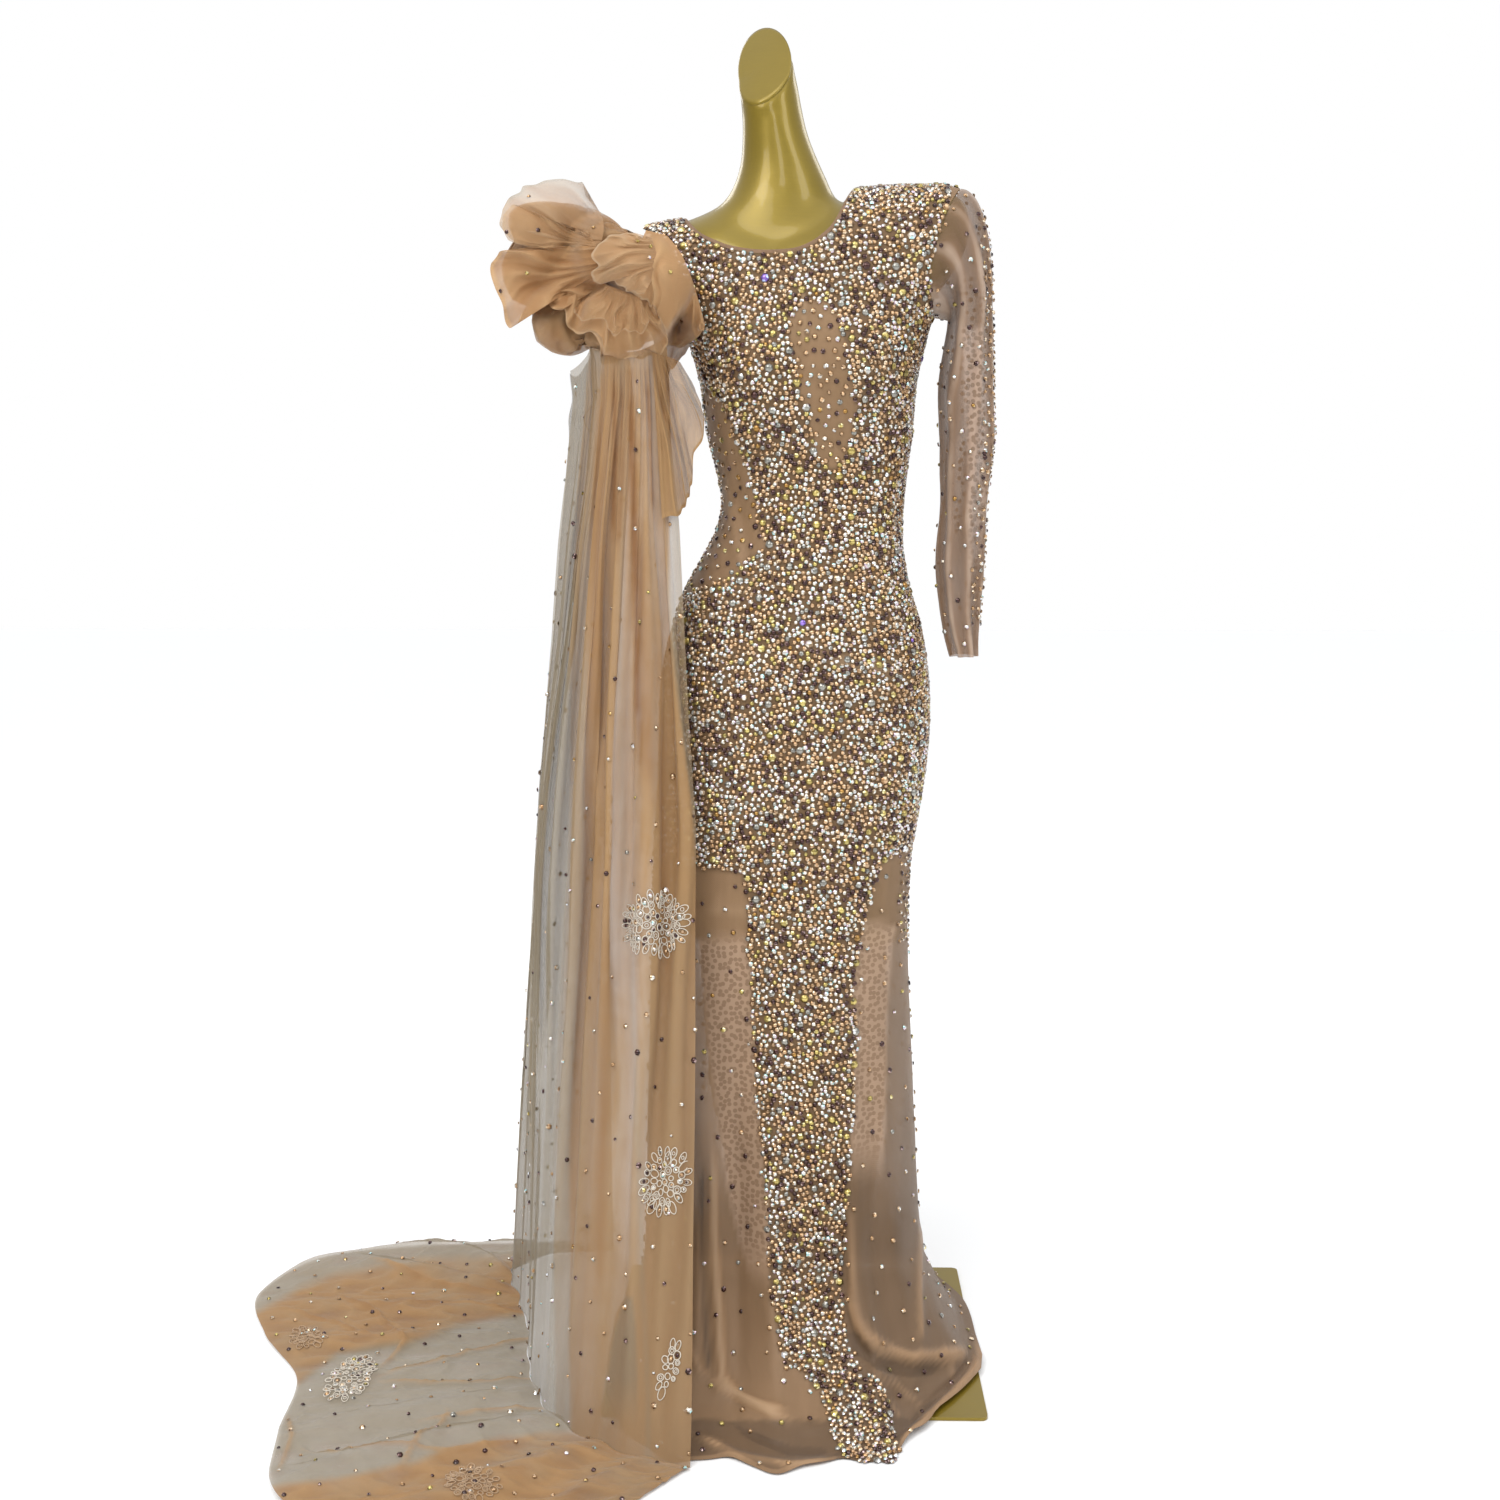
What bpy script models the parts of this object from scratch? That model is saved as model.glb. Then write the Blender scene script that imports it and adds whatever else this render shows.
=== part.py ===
# A fitted evening gown of stretch mesh with one long sleeve, a tulle shoulder puff, cape and train, worn by
# a limbless dress form on a square base. Metres, +Z up. The front faces -Y and the wearer's left is +X.
# The origin is the centre of the base plate's underside.

from collections import namedtuple

import bmesh
import bpy
import numpy as np

# Driving sizes
SEAM = 0.0003            # gap between two pieces that touch
MERGE_DISTANCE = 0.00001
SMOOTH_ANGLE = np.radians(50)
EDGE_GAP = 0.0006        # the same at the curved edges of armholes and neckline
MESH_WALL = 0.0016       # stretch mesh of the gown
TULLE_WALL = 0.0014      # tulle of the puff, cape and train
BASE_SIDE = 0.46
BASE_THICK = 0.004
BASE_CORNER = 0.008
POLE_RADIUS = 0.0127
FORM_BOTTOM = 0.531
UNDERARM = 1.30
HIGHEST_SEAM = 1.47      # above every shoulder seam
FORM_EASE = 0.0042       # how far the form lies inside the gown's mid-surface
SHOULDER_ROUND = 0.07    # height over which the shoulder rounds from front to back
SKIRT_FOLDS_FROM = 0.62  # height at which the skirt's folds begin
BINDING_WIDTH = 0.005
HEM_FLAT = 0.7           # how nearly the hem lies flat, 1 for wholly
SINK_FROM = 0.025        # how far past the base plate's edge the hem starts to sink to the floor
SINK_OVER = 0.040        # and over how far it sinks
SINK_BELOW = 0.030       # cloth higher than this doesn't sink
SINK_FADE = 0.022
FOLD_GROWTH = 1.3        # larger lets the skirt's folds start lower
FOLD_EDGE_FADE = 0.5     # how soon the folds die out towards the side seams

# Levels of the panels' rows below the underarm, and the number of rows above it
SKIRT_HEIGHTS = (
    0.0051, 0.0080, 0.0160, 0.035, 0.065, 0.12, 0.20, 0.29, 0.39, 0.50, 0.61, 0.71, 0.80, 0.88, 0.95,
    1.015, 1.08, 1.14, 1.20, 1.25, UNDERARM,
)
BODICE_ROWS = 8
LOWEST_TOP = UNDERARM + 0.02  # no panel column ends lower than this
TOP_STEPS = 1500         # levels tried when a column's end is looked for
# Columns of a panel: left of the neck, across it and right of it
LEFT_COLUMNS = 5
NECK_SPAN_COLUMNS = 15
RIGHT_COLUMNS = 8
LEFT_CROWDING = 1.8      # larger brings the columns closer to the side seam
RIGHT_CROWDING = 1.6
ARMHOLE_FADE = 1.5       # how soon the armhole's curve dies out towards the neck

# Gown outline seen from the front, its depth in front and behind, and how square its section is
GOWN_COLUMNS = ("height", "left", "right", "front", "back", "square")
GOWN = (
    (0.0051, -0.236, 0.236, 0.345, 0.262, 3.0),
    (0.0080, -0.228, 0.228, 0.315, 0.245, 2.9),
    (0.0160, -0.220, 0.218, 0.280, 0.228, 2.8),
    (0.035, -0.211, 0.206, 0.238, 0.208, 2.7),
    (0.065, -0.202, 0.190, 0.200, 0.188, 2.6),
    (0.12, -0.193, 0.166, 0.165, 0.165, 2.5),
    (0.20, -0.190, 0.158, 0.140, 0.146, 2.4),
    (0.30, -0.188, 0.153, 0.126, 0.133, 2.4),
    (0.40, -0.185, 0.147, 0.119, 0.122, 2.4),
    (0.515, -0.182, 0.142, 0.114, 0.115, 2.4),
    (0.63, -0.1755, 0.143, 0.112, 0.112, 2.4),
    (0.707, -0.171, 0.154, 0.112, 0.116, 2.35),
    (0.783, -0.168, 0.163, 0.110, 0.122, 2.3),
    (0.858, -0.165, 0.163, 0.108, 0.126, 2.3),
    (0.933, -0.149, 0.1505, 0.104, 0.117, 2.3),
    (0.97, -0.137, 0.139, 0.101, 0.108, 2.3),
    (1.0075, -0.1165, 0.131, 0.096, 0.098, 2.3),
    (1.0445, -0.0975, 0.1285, 0.092, 0.090, 2.3),
    (1.081, -0.090, 0.130, 0.090, 0.086, 2.3),
    (1.118, -0.0965, 0.134, 0.093, 0.087, 2.3),
    (1.154, -0.106, 0.139, 0.099, 0.091, 2.3),
    (1.191, -0.111, 0.142, 0.104, 0.096, 2.3),
    (1.227, -0.1165, 0.145, 0.107, 0.100, 2.3),
    (1.263, -0.126, 0.153, 0.107, 0.102, 2.3),
    (UNDERARM, -0.1416, 0.164, 0.104, 0.102, 2.3),
    (1.33, -0.170, 0.186, 0.100, 0.100, 2.3),
    (1.36, -0.192, 0.203, 0.094, 0.096, 2.3),
    (1.39, -0.202, 0.214, 0.088, 0.091, 2.3),
    (1.42, -0.204, 0.218, 0.082, 0.086, 2.3),
    (1.46, -0.204, 0.218, 0.076, 0.080, 2.3),
)

# Where the panels are cut away for the armholes, above the underarm
ARMHOLE_COLUMNS = ("height", "left", "right")
ARMHOLE = (
    (UNDERARM, -0.1416, 0.164),
    (1.318, -0.1370, 0.159),
    (1.345, -0.1360, 0.157),
    (1.370, -0.1430, 0.161),
    (1.390, -0.1580, 0.166),
    (1.410, -0.1880, 0.173),
    (1.435, -0.1880, 0.184),
    (1.456, -0.1880, 0.198),
)

# Lines that the columns inside the armholes follow, straight from the underarms to the shoulder tips
CHEST = (
    (UNDERARM, -0.1416, 0.164),
    (1.41, -0.1880, 0.186),
    (1.456, -0.1880, 0.198),
)

# Top line of the shoulders, seen from the front
SHOULDER_COLUMNS = ("across", "height")
SHOULDER = (
    (-0.204, 1.388),
    (-0.196, 1.404),
    (-0.175, 1.413),
    (-0.140, 1.418),
    (0.073, 1.4525),
    (0.130, 1.456),
    (0.180, 1.4575),
    (0.205, 1.452),
    (0.218, 1.436),
)
NECK_POINT_LEFT = -0.140
NECK_POINT_RIGHT = 0.073

# Neckline in front and behind, between the two neck points
NECKLINE_COLUMNS = ("across", "front", "back")
NECKLINE = (
    (NECK_POINT_LEFT, 1.418, 1.418),
    (-0.128, 1.401, 1.411),
    (-0.0965, 1.379, 1.405),
    (-0.060, 1.368, 1.403),
    (-0.0255, 1.366, 1.405),
    (0.008, 1.371, 1.412),
    (0.0305, 1.384, 1.421),
    (0.0500, 1.406, 1.433),
    (0.0640, 1.436, 1.445),
    (NECK_POINT_RIGHT, 1.4525, 1.4525),
)

# A point above the neckline, towards which the binding stands
NECK_MIDDLE = np.array((-0.0335, 0.0, 1.50))

# Bust: distance of each side from the middle, height, how far it stands out, and its spread
BUST_APART = 0.072
BUST_HEIGHT = 1.238
BUST_OUT = 0.019
BUST_WIDE = 0.052
BUST_TALL = 0.058

# Soft folds of the skirt: place across at the knee and at the hem, 0 left to 1 right, height and width
FOLD_COLUMNS = ("knee", "hem", "out", "width")
FRONT_FOLDS = (
    (0.10, 0.08, 0.020, 0.050),
    (0.24, 0.20, 0.026, 0.045),
    (0.36, 0.34, -0.014, 0.040),
    (0.50, 0.46, 0.022, 0.050),
    (0.64, 0.62, -0.016, 0.045),
    (0.74, 0.78, 0.030, 0.040),
    (0.88, 0.92, 0.026, 0.045),
)
BACK_FOLDS = (
    (0.14, 0.12, 0.022, 0.055),
    (0.32, 0.30, -0.014, 0.050),
    (0.48, 0.50, 0.026, 0.060),
    (0.68, 0.70, -0.014, 0.050),
    (0.86, 0.88, 0.022, 0.055),
)

# The form inside: its outline where it isn't simply the gown's own, eased in
FORM_COLUMNS = ("height", "left", "right")
FORM = (
    (FORM_BOTTOM, -0.118, 0.126),
    (0.540, -0.135, 0.134),
    (0.575, -0.146, 0.137),
    (0.66, -0.158, 0.142),
    (0.74, -0.163, 0.152),
    (0.80, -0.163, 0.158),
    (0.86, -0.158, 0.158),
    (0.91, -0.142, 0.149),
    (0.95, -0.112, 0.139),
    (0.985, -0.084, 0.129),
    (1.02, -0.074, 0.124),
    (1.081, -0.083, 0.125),
    (1.154, -0.101, 0.134),
    (1.227, -0.112, 0.140),
    (1.263, -0.120, 0.147),
    (UNDERARM, -0.134, 0.156),
    (1.33, -0.156, 0.172),
    (1.36, -0.181, 0.193),
    (1.39, -0.196, 0.208),
    (1.42, -0.199, 0.213),
    (1.46, -0.199, 0.213),
)

FORM_HEIGHTS = (
    FORM_BOTTOM, 0.540, 0.575, 0.66, 0.74, 0.80, 0.86, 0.91, 0.95, 0.985, 1.02, 1.081, 1.13, 1.18,
    1.227, 1.263, UNDERARM,
)
FORM_SIDES = 18
FORM_BOTTOM_DEPTH = 0.90  # the rounded edge at the bottom, as a share of the depth above it

# Top line of the form's shoulders, seen from the front
FORM_SHOULDER = (
    (-0.199, 1.383),
    (-0.191, 1.399),
    (-0.170, 1.4085),
    (-0.150, 1.4095),
    (-0.115, 1.398),
    (-0.030, 1.400),
    (0.050, 1.432),
    (0.090, 1.4465),
    (0.130, 1.4515),
    (0.180, 1.453),
    (0.204, 1.447),
    (0.213, 1.432),
)

# Neck of the form, which leans to the wearer's right as it rises
NECK_COLUMNS = ("height", "left", "right", "front", "back")
NECK = (
    (1.350, -0.110, 0.050, 0.066, 0.070),
    (1.385, -0.112, 0.052, 0.064, 0.068),
    (1.410, -0.108, 0.052, 0.060, 0.064),
    (1.430, -0.096, 0.050, 0.055, 0.060),
    (1.450, -0.082, 0.044, 0.050, 0.056),
    (1.4765, -0.0705, 0.0305, 0.045, 0.051),
    (1.512, -0.0665, 0.0150, 0.042, 0.048),
    (1.582, -0.0700, -0.0010, 0.040, 0.045),
)
NECK_SIDES = 20
# The cap is a flat cut through the neck: its height on the axis and its rise per metre back and across
CAP_AXIS = -0.0355
CAP_HEIGHT = 1.598
CAP_RISE_BACK = 1.12
CAP_RISE_ACROSS = 0.55
CAP_COLLAR = 1.552       # where the neck has taken the cap's outline
CAP_LIP = 0.004          # least height between there and the cap

# Sleeve, a loose tube that hangs from the shoulder: height, inner and outer edge, half its depth
SLEEVE_COLUMNS = ("height", "inner", "outer", "depth")
SLEEVE = (
    (1.299, 0.187, 0.236, 0.050),
    (1.263, 0.181, 0.238, 0.048),
    (1.227, 0.1765, 0.239, 0.046),
    (1.154, 0.178, 0.242, 0.042),
    (1.081, 0.179, 0.2335, 0.038),
    (1.0075, 0.1740, 0.232, 0.034),
    (0.950, 0.1790, 0.227, 0.030),
    (0.915, 0.1850, 0.225, 0.028),
    (0.889, 0.192, 0.224, 0.026),
)
SLEEVE_HEAD_ROWS = 5
SLEEVE_HEAD_GAP = 1.5 * EDGE_GAP
SLEEVE_EDGE_LEAN = 0.5   # share of the sleeve's own direction in its wall at the armhole
# A point beside the armhole, towards which the sleeve leaves it
SLEEVE_WAY = np.array((0.27, 0.0, 1.38))

# Puff: round lobes about one middle, which the wall follows as one skin
PUFF_MIDDLE = np.array((-0.245, -0.010, 1.345))
PUFF_LEAST = 0.070
PUFF_BLEND = 55.0        # larger keeps the valleys between lobes sharper
LOBE_COLUMNS = ("across", "deep", "height", "radius")
LOBES = (
    (-0.306, -0.025, 1.403, 0.061),
    (-0.333, -0.010, 1.338, 0.045),
    (-0.288, -0.045, 1.284, 0.050),
    (-0.220, -0.100, 1.368, 0.040),
    (-0.172, -0.088, 1.340, 0.054),
    (-0.208, -0.082, 1.286, 0.048),
    (-0.235, 0.050, 1.400, 0.055),
    (-0.300, 0.055, 1.350, 0.052),
    (-0.225, 0.060, 1.305, 0.056),
)
PUFF_AROUND = 32
PUFF_ROWS = 13
PUFF_STAND = 0.010       # how far the puff first stands out from the armhole
PUFF_START = 64.0        # angle of the first full row from the shoulder's direction, in degrees
PUFF_START_FRONT = 34.0  # the same at the front, where the puff laps over the bodice
PUFF_END = 176.0         # the same for the last row
PUFF_GATHERS = 9
PUFF_GATHER_DEPTH = 0.020

# Cape: the puff's rows under which it is gathered, from its outer edge to the shoulder, and the puff's
# columns there, from the fold that the two stretches share to their free edges
CAPE_TOP_ROWS = (8, 3)
FRONT_TOP_COLUMNS = (2.15, 4.5)
BACK_TOP_COLUMNS = (1.85, -1.5)
CAPE_TOP_TURN = 0.5      # share of the width in which the gathered edge reaches its last column
# Foot of each stretch on the floor, from the shared fold to the free edge
FOOT_COLUMNS = ("along", "across", "deep")
FRONT_FOOT = (
    (0.0, -0.345, 0.000),
    (0.25, -0.333, -0.110),
    (0.5, -0.300, -0.225),
    (0.75, -0.232, -0.310),
    (1.0, -0.150, -0.352),
)
BACK_FOOT = (
    (0.0, -0.345, 0.0030),
    (0.35, -0.376, 0.120),
    (0.65, -0.394, 0.215),
    (0.85, -0.345, 0.276),
    (1.0, -0.262, 0.288),
)
FRONT_FOOT_COLUMNS = 29
BACK_FOOT_COLUMNS = 25
FRONT_WAVES = 6
BACK_WAVES = 5
CAPE_WAVE = 0.011
WAVE_RISE = 1.3          # larger keeps the waves to the middle of the fall
WAVE_EDGE_FADE = 0.5
SIDE_LEAN = 0.8          # below 1 the cape spreads sideways sooner than it falls
FOOT_WAVE = 0.0055
FRONT_LEAN = 2.4         # larger lets a stretch hang straight for longer before it leaves for its foot
BACK_LEAN = 1.6
CAPE_FALLS = (1, 0.97, 0.92, 0.85, 0.75, 0.63, 0.51, 0.39, 0.27, 0.16, 0.08, 0.03, 0)
CAPE_PUFF_GAP = 0.0036   # from the puff's mid-surface to the cape's gathered edge
CAPE_FLOOR_GAP = 0.0005

# Train: its outer edge, from behind round to the front. Its inner edge follows the cape's foot.
TRAIN_OUTER = (
    (0.0, -0.262, 0.312),
    (0.10, -0.380, 0.318),
    (0.18, -0.545, 0.305),
    (0.26, -0.680, 0.255),
    (0.34, -0.733, 0.130),
    (0.44, -0.690, -0.010),
    (0.55, -0.615, -0.140),
    (0.66, -0.600, -0.285),
    (0.78, -0.555, -0.440),
    (0.90, -0.370, -0.550),
    (1.0, -0.167, -0.425),
)
TRAIN_SHARES = (0, 0.12, 0.28, 0.45, 0.62, 0.78, 0.90, 1)
TRAIN_WALL = 0.0018
RIDGE_FADE = 0.04        # share of the train's width in which its folds die out
RIDGE_FULLNESS = 0.8
RIDGE_COLUMNS = ("along", "height", "width")
TRAIN_RIDGES = (
    (0.12, 0.012, 0.020),
    (0.19, 0.024, 0.028),
    (0.27, 0.018, 0.025),
    (0.37, 0.005, 0.020),
    (0.47, 0.007, 0.020),
    (0.57, 0.006, 0.020),
    (0.67, 0.013, 0.025),
    (0.76, 0.024, 0.030),
    (0.85, 0.018, 0.025),
    (0.93, 0.010, 0.020),
)

# Colours and finishes
FINISH_COLUMNS = ("red", "green", "blue", "metallic", "roughness")
FINISHES = {
    "gold_lacquer": (0.30, 0.21, 0.045, 0.85, 0.30),
    "stoned_mesh": (0.42, 0.30, 0.19, 0.15, 0.55),
    "sheer_mesh": (0.50, 0.34, 0.25, 0.0, 0.70),
    "tulle": (0.70, 0.45, 0.27, 0.0, 0.75),
}


def named_rows(table, columns):
    """A table's rows, with the names of their columns."""
    row_type = namedtuple("row_type", columns)
    return [row_type(*row) for row in table]


def smooth_read(places, values, at):
    """Reads a table on a smooth curve through its rows."""
    places = np.asarray(places, float)
    values = np.asarray(values, float)
    slopes = np.gradient(values, places)
    at = np.clip(at, places[0], places[-1])
    row = np.clip(np.searchsorted(places, at, side="right") - 1, 0, len(places) - 2)
    span = places[row + 1] - places[row]
    t = (at - places[row]) / span
    start = (2 * t**3 - 3 * t**2 + 1) * values[row] + (t**3 - 2 * t**2 + t) * span * slopes[row]
    end = (3 * t**2 - 2 * t**3) * values[row + 1] + (t**3 - t**2) * span * slopes[row + 1]
    return start + end


def read(table, columns, name, at, smooth=True):
    """One named column of a table at a place in its first column."""
    places = [row[0] for row in table]
    values = [row[columns.index(name)] for row in table]
    if smooth:
        return smooth_read(places, values, at)
    return np.interp(at, places, values)


def shoulder_height(x, table=SHOULDER):
    return read(table, SHOULDER_COLUMNS, "height", x, smooth=False)


def depth_at(x, z, outline, shoulder, side, ease):
    """Distance of the body's surface from the plane through its side seams."""
    table, columns = outline
    left = read(table, columns, "left", z)
    right = read(table, columns, "right", z)
    square = read(GOWN, GOWN_COLUMNS, "square", z)
    deep = read(GOWN, GOWN_COLUMNS, side, z) - ease
    middle = (left + right) / 2
    t = np.clip(np.abs(x - middle) / ((right - left) / 2), 0, 1)
    deep = deep * (1 - t**square) ** (1 / square)
    below = np.clip((shoulder_height(x, shoulder) - z) / SHOULDER_ROUND, 0, 1)
    deep = deep * np.sqrt(1 - (1 - below) ** 2)
    if side == "front":
        for bust in (middle - BUST_APART, middle + BUST_APART):
            spread = ((x - bust) / BUST_WIDE) ** 2 + ((z - BUST_HEIGHT) / BUST_TALL) ** 2
            deep = deep + BUST_OUT * np.exp(-spread) * (1 - t**4)
    return deep


def chest_share(x, z):
    """Share of the way from the left to the right chest line."""
    left = read(CHEST, ARMHOLE_COLUMNS, "left", z, smooth=False)
    right = read(CHEST, ARMHOLE_COLUMNS, "right", z, smooth=False)
    return (x - left) / (right - left)


def neck_shares():
    """The shares across at which the two neck points lie."""
    return [chest_share(x, shoulder_height(x)) for x in (NECK_POINT_LEFT, NECK_POINT_RIGHT)]


def panel_across(shares, z):
    """Where a panel's columns lie, from its left edge to its right: the side seams, then the armholes."""
    neck_left, neck_right = neck_shares()
    below = []
    above = []
    for name, weight in (
        ("left", np.clip(1 - shares / neck_left, 0, 1) ** ARMHOLE_FADE),
        ("right", np.clip(1 - (1 - shares) / (1 - neck_right), 0, 1) ** ARMHOLE_FADE),
    ):
        chest = read(CHEST, ARMHOLE_COLUMNS, name, z, smooth=False)
        hole = read(ARMHOLE, ARMHOLE_COLUMNS, name, z, smooth=False)
        below.append(read(GOWN, GOWN_COLUMNS, name, z))
        above.append((chest, (hole - chest) * weight))
    seamed = below[0] + (below[1] - below[0]) * shares
    cut = above[0][0] + (above[1][0] - above[0][0]) * shares + above[0][1] + above[1][1]
    return np.where(z > UNDERARM, cut, seamed)


def panel_top(x, side):
    """Height at which a panel ends: the shoulder seam, or the neckline between the neck points."""
    neckline = read(NECKLINE, NECKLINE_COLUMNS, side, x)
    inside = (x > NECK_POINT_LEFT) & (x < NECK_POINT_RIGHT)
    return np.where(inside, neckline, shoulder_height(x))


def grid_normals(points, closed=False, outward=1):
    """Unit normals of a grid of points, rows up and columns across."""
    if closed:
        around = np.roll(points, -1, axis=1) - np.roll(points, 1, axis=1)
    else:
        around = np.gradient(points, axis=1)
    up = np.gradient(points, axis=0)
    normals = np.cross(around, up) * outward
    return normals / np.linalg.norm(normals, axis=2, keepdims=True)


def rest_on_base(points):
    """Lowers what lies beyond the base plate from the plate's level to the floor."""
    past = np.maximum(np.abs(points[..., 0]), np.abs(points[..., 1])) - BASE_SIDE / 2
    share = np.clip((past - SINK_FROM) / SINK_OVER, 0, 1)
    near_floor = np.clip((SINK_BELOW - points[..., 2]) / SINK_FADE, 0, 1)
    drop = BASE_THICK * share**2 * (3 - 2 * share) * near_floor
    return np.stack((points[..., 0], points[..., 1], points[..., 2] - drop), axis=-1)


def panel_shares():
    """Columns lie closer together towards the side seams and the neck points, where the panel turns."""
    neck_left, neck_right = neck_shares()
    left = neck_left * np.linspace(0, 1, LEFT_COLUMNS + 1) ** LEFT_CROWDING
    turn = (1 - np.cos(np.linspace(0, np.pi, NECK_SPAN_COLUMNS + 1))) / 2
    neck = neck_left + (neck_right - neck_left) * turn
    right = 1 - (1 - neck_right) * np.linspace(1, 0, RIGHT_COLUMNS + 1) ** RIGHT_CROWDING
    return np.concatenate((left, neck[1:], right[1:]))


def panel_places(side):
    """Across and height of each grid point of a panel, seen from the front."""
    shares = panel_shares()
    neck_left, neck_right = neck_shares()
    levels = np.linspace(LOWEST_TOP, HIGHEST_SEAM, TOP_STEPS)
    tops = []
    for share in shares:
        across = panel_across(share, levels)
        seam = share <= neck_left or share >= neck_right
        top = shoulder_height(across) if seam else panel_top(across, side)
        tops.append(levels[np.argmax(levels > top)])
    tops = np.array(tops)
    rows = [np.full(len(shares), z) for z in SKIRT_HEIGHTS]
    for k in range(1, BODICE_ROWS + 1):
        rows.append(UNDERARM + (tops - UNDERARM) * np.sin(k / BODICE_ROWS * np.pi / 2))
    heights = np.array(rows)
    return panel_across(shares, heights), heights, shares


def skirt_folds(shares, heights, folds):
    """How far the skirt's folds stand out, growing from the thigh to the hem."""
    share = np.clip((SKIRT_FOLDS_FROM - heights) / SKIRT_FOLDS_FROM, 0, 1)
    window = np.clip(np.sin(np.pi * shares), 0, 1) ** FOLD_EDGE_FADE
    total = np.zeros_like(heights)
    for fold in named_rows(folds, FOLD_COLUMNS):
        middle = fold.knee + (fold.hem - fold.knee) * share
        total += fold.out * share**FOLD_GROWTH * np.exp(-(((shares - middle) / fold.width) ** 2))
    return total * window


def panel_grid(side):
    """Mid-surface points and normals of the front or back panel."""
    across, heights, shares = panel_places(side)
    sign = -1 if side == "front" else 1
    deep = depth_at(across, heights, (GOWN, GOWN_COLUMNS), SHOULDER, side, 0.0)
    deep = deep + skirt_folds(shares, heights, FRONT_FOLDS if side == "front" else BACK_FOLDS)
    neck_left, neck_right = neck_shares()
    seamed = np.zeros_like(deep, bool)
    underarm_row = len(SKIRT_HEIGHTS)
    seamed[:underarm_row, [0, -1]] = True
    seamed[-1] = (shares <= neck_left) | (shares >= neck_right)
    deep = np.where(seamed, SEAM / 2, np.maximum(deep, SEAM / 2))
    points = np.stack((across, sign * deep, heights), axis=-1)
    normals = grid_normals(points, outward=-sign)
    normals[seamed, 1] = 0
    normals[-1, :, :2] = np.where(seamed[-1][:, None], 0, normals[-1, :, :2])
    normals[:underarm_row, 0] = (-1, 0, 0)
    normals[:underarm_row, -1] = (1, 0, 0)
    normals[0] = (0, 0, 1)
    normals[1] = normals[1] * (1 - HEM_FLAT) + np.array((0, 0, HEM_FLAT))
    normals /= np.linalg.norm(normals, axis=2, keepdims=True)
    return rest_on_base(points), normals


def armhole_ring(front, back, column):
    """Edge points and normals of an armhole: underarm, up the front edge, shoulder tip, down the back."""
    first = len(SKIRT_HEIGHTS) - 1
    ring = []
    for part in (0, 1):
        up = front[part][first:, column]
        down = back[part][first:, column][::-1]
        tip = (up[-1] + down[0]) / 2
        under = (up[0] + down[-1]) / 2
        ring.append(np.vstack((under, up[1:-1], tip, down[1:-1])))
    points, normals = ring
    return points, normals / np.linalg.norm(normals, axis=1, keepdims=True)


def paint(thing, finish):
    """Gives an object a material of its own, in one of the finishes."""
    look = namedtuple("look", FINISH_COLUMNS)(*FINISHES[finish])
    material = bpy.data.materials.new(thing.name)
    material.use_nodes = True
    shader = material.node_tree.nodes["Principled BSDF"]
    shader.inputs["Base Color"].default_value = (look.red, look.green, look.blue, 1)
    shader.inputs["Metallic"].default_value = look.metallic
    shader.inputs["Roughness"].default_value = look.roughness
    thing.data.materials.append(material)


def add_object(name, vertices, faces, finish):
    """A closed, outward-facing mesh object with its own material."""
    mesh = bpy.data.meshes.new(name)
    mesh.from_pydata([tuple(v) for v in vertices], [], faces)
    body = bmesh.new()
    body.from_mesh(mesh)
    bmesh.ops.remove_doubles(body, verts=body.verts, dist=MERGE_DISTANCE)
    bmesh.ops.recalc_face_normals(body, faces=body.faces)
    body.to_mesh(mesh)
    body.free()
    mesh.shade_smooth()
    mesh.set_sharp_from_angle(angle=SMOOTH_ANGLE)
    thing = bpy.data.objects.new(name, mesh)
    bpy.context.scene.collection.objects.link(thing)
    paint(thing, finish)
    return thing


def add_wall(name, points, normals, thickness, finish, closed=False, pole=False, under=None):
    """A wall about a grid of mid-surface points. A closed grid joins its last column to its first, and
    a pole draws the last row together. Where under is given, it is the wall's inner skin."""
    rows, columns = points.shape[:2]
    outer = points + normals * thickness / 2
    inner = points - normals * thickness / 2 if under is None else under
    count = rows * columns
    vertices = np.vstack((outer.reshape(-1, 3), inner.reshape(-1, 3)))
    faces = []
    last = columns if closed else columns - 1
    for i in range(rows - 1):
        for j in range(last):
            a = i * columns + j
            b = i * columns + (j + 1) % columns
            c = a + columns
            d = b + columns
            faces += [(a, b, d), (a, d, c)]
            faces += [(a + count, d + count, b + count), (a + count, c + count, d + count)]
    rims = [range(columns)]
    if not pole:
        rims.append(range((rows - 1) * columns, rows * columns))
    for rim in rims:
        for j in range(last):
            a = rim[j]
            b = rim[(j + 1) % columns]
            faces += [(a, b, b + count), (a, b + count, a + count)]
    if not closed:
        for column in (0, columns - 1):
            for i in range(rows - 1):
                a = i * columns + column
                c = a + columns
                faces += [(a, c, c + count), (a, c + count, a + count)]
    if pole:
        ends = range((rows - 1) * columns, rows * columns)
        faces.append(tuple(ends))
        faces.append(tuple(end + count for end in reversed(ends)))
    return add_object(name, vertices, faces, finish)


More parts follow.
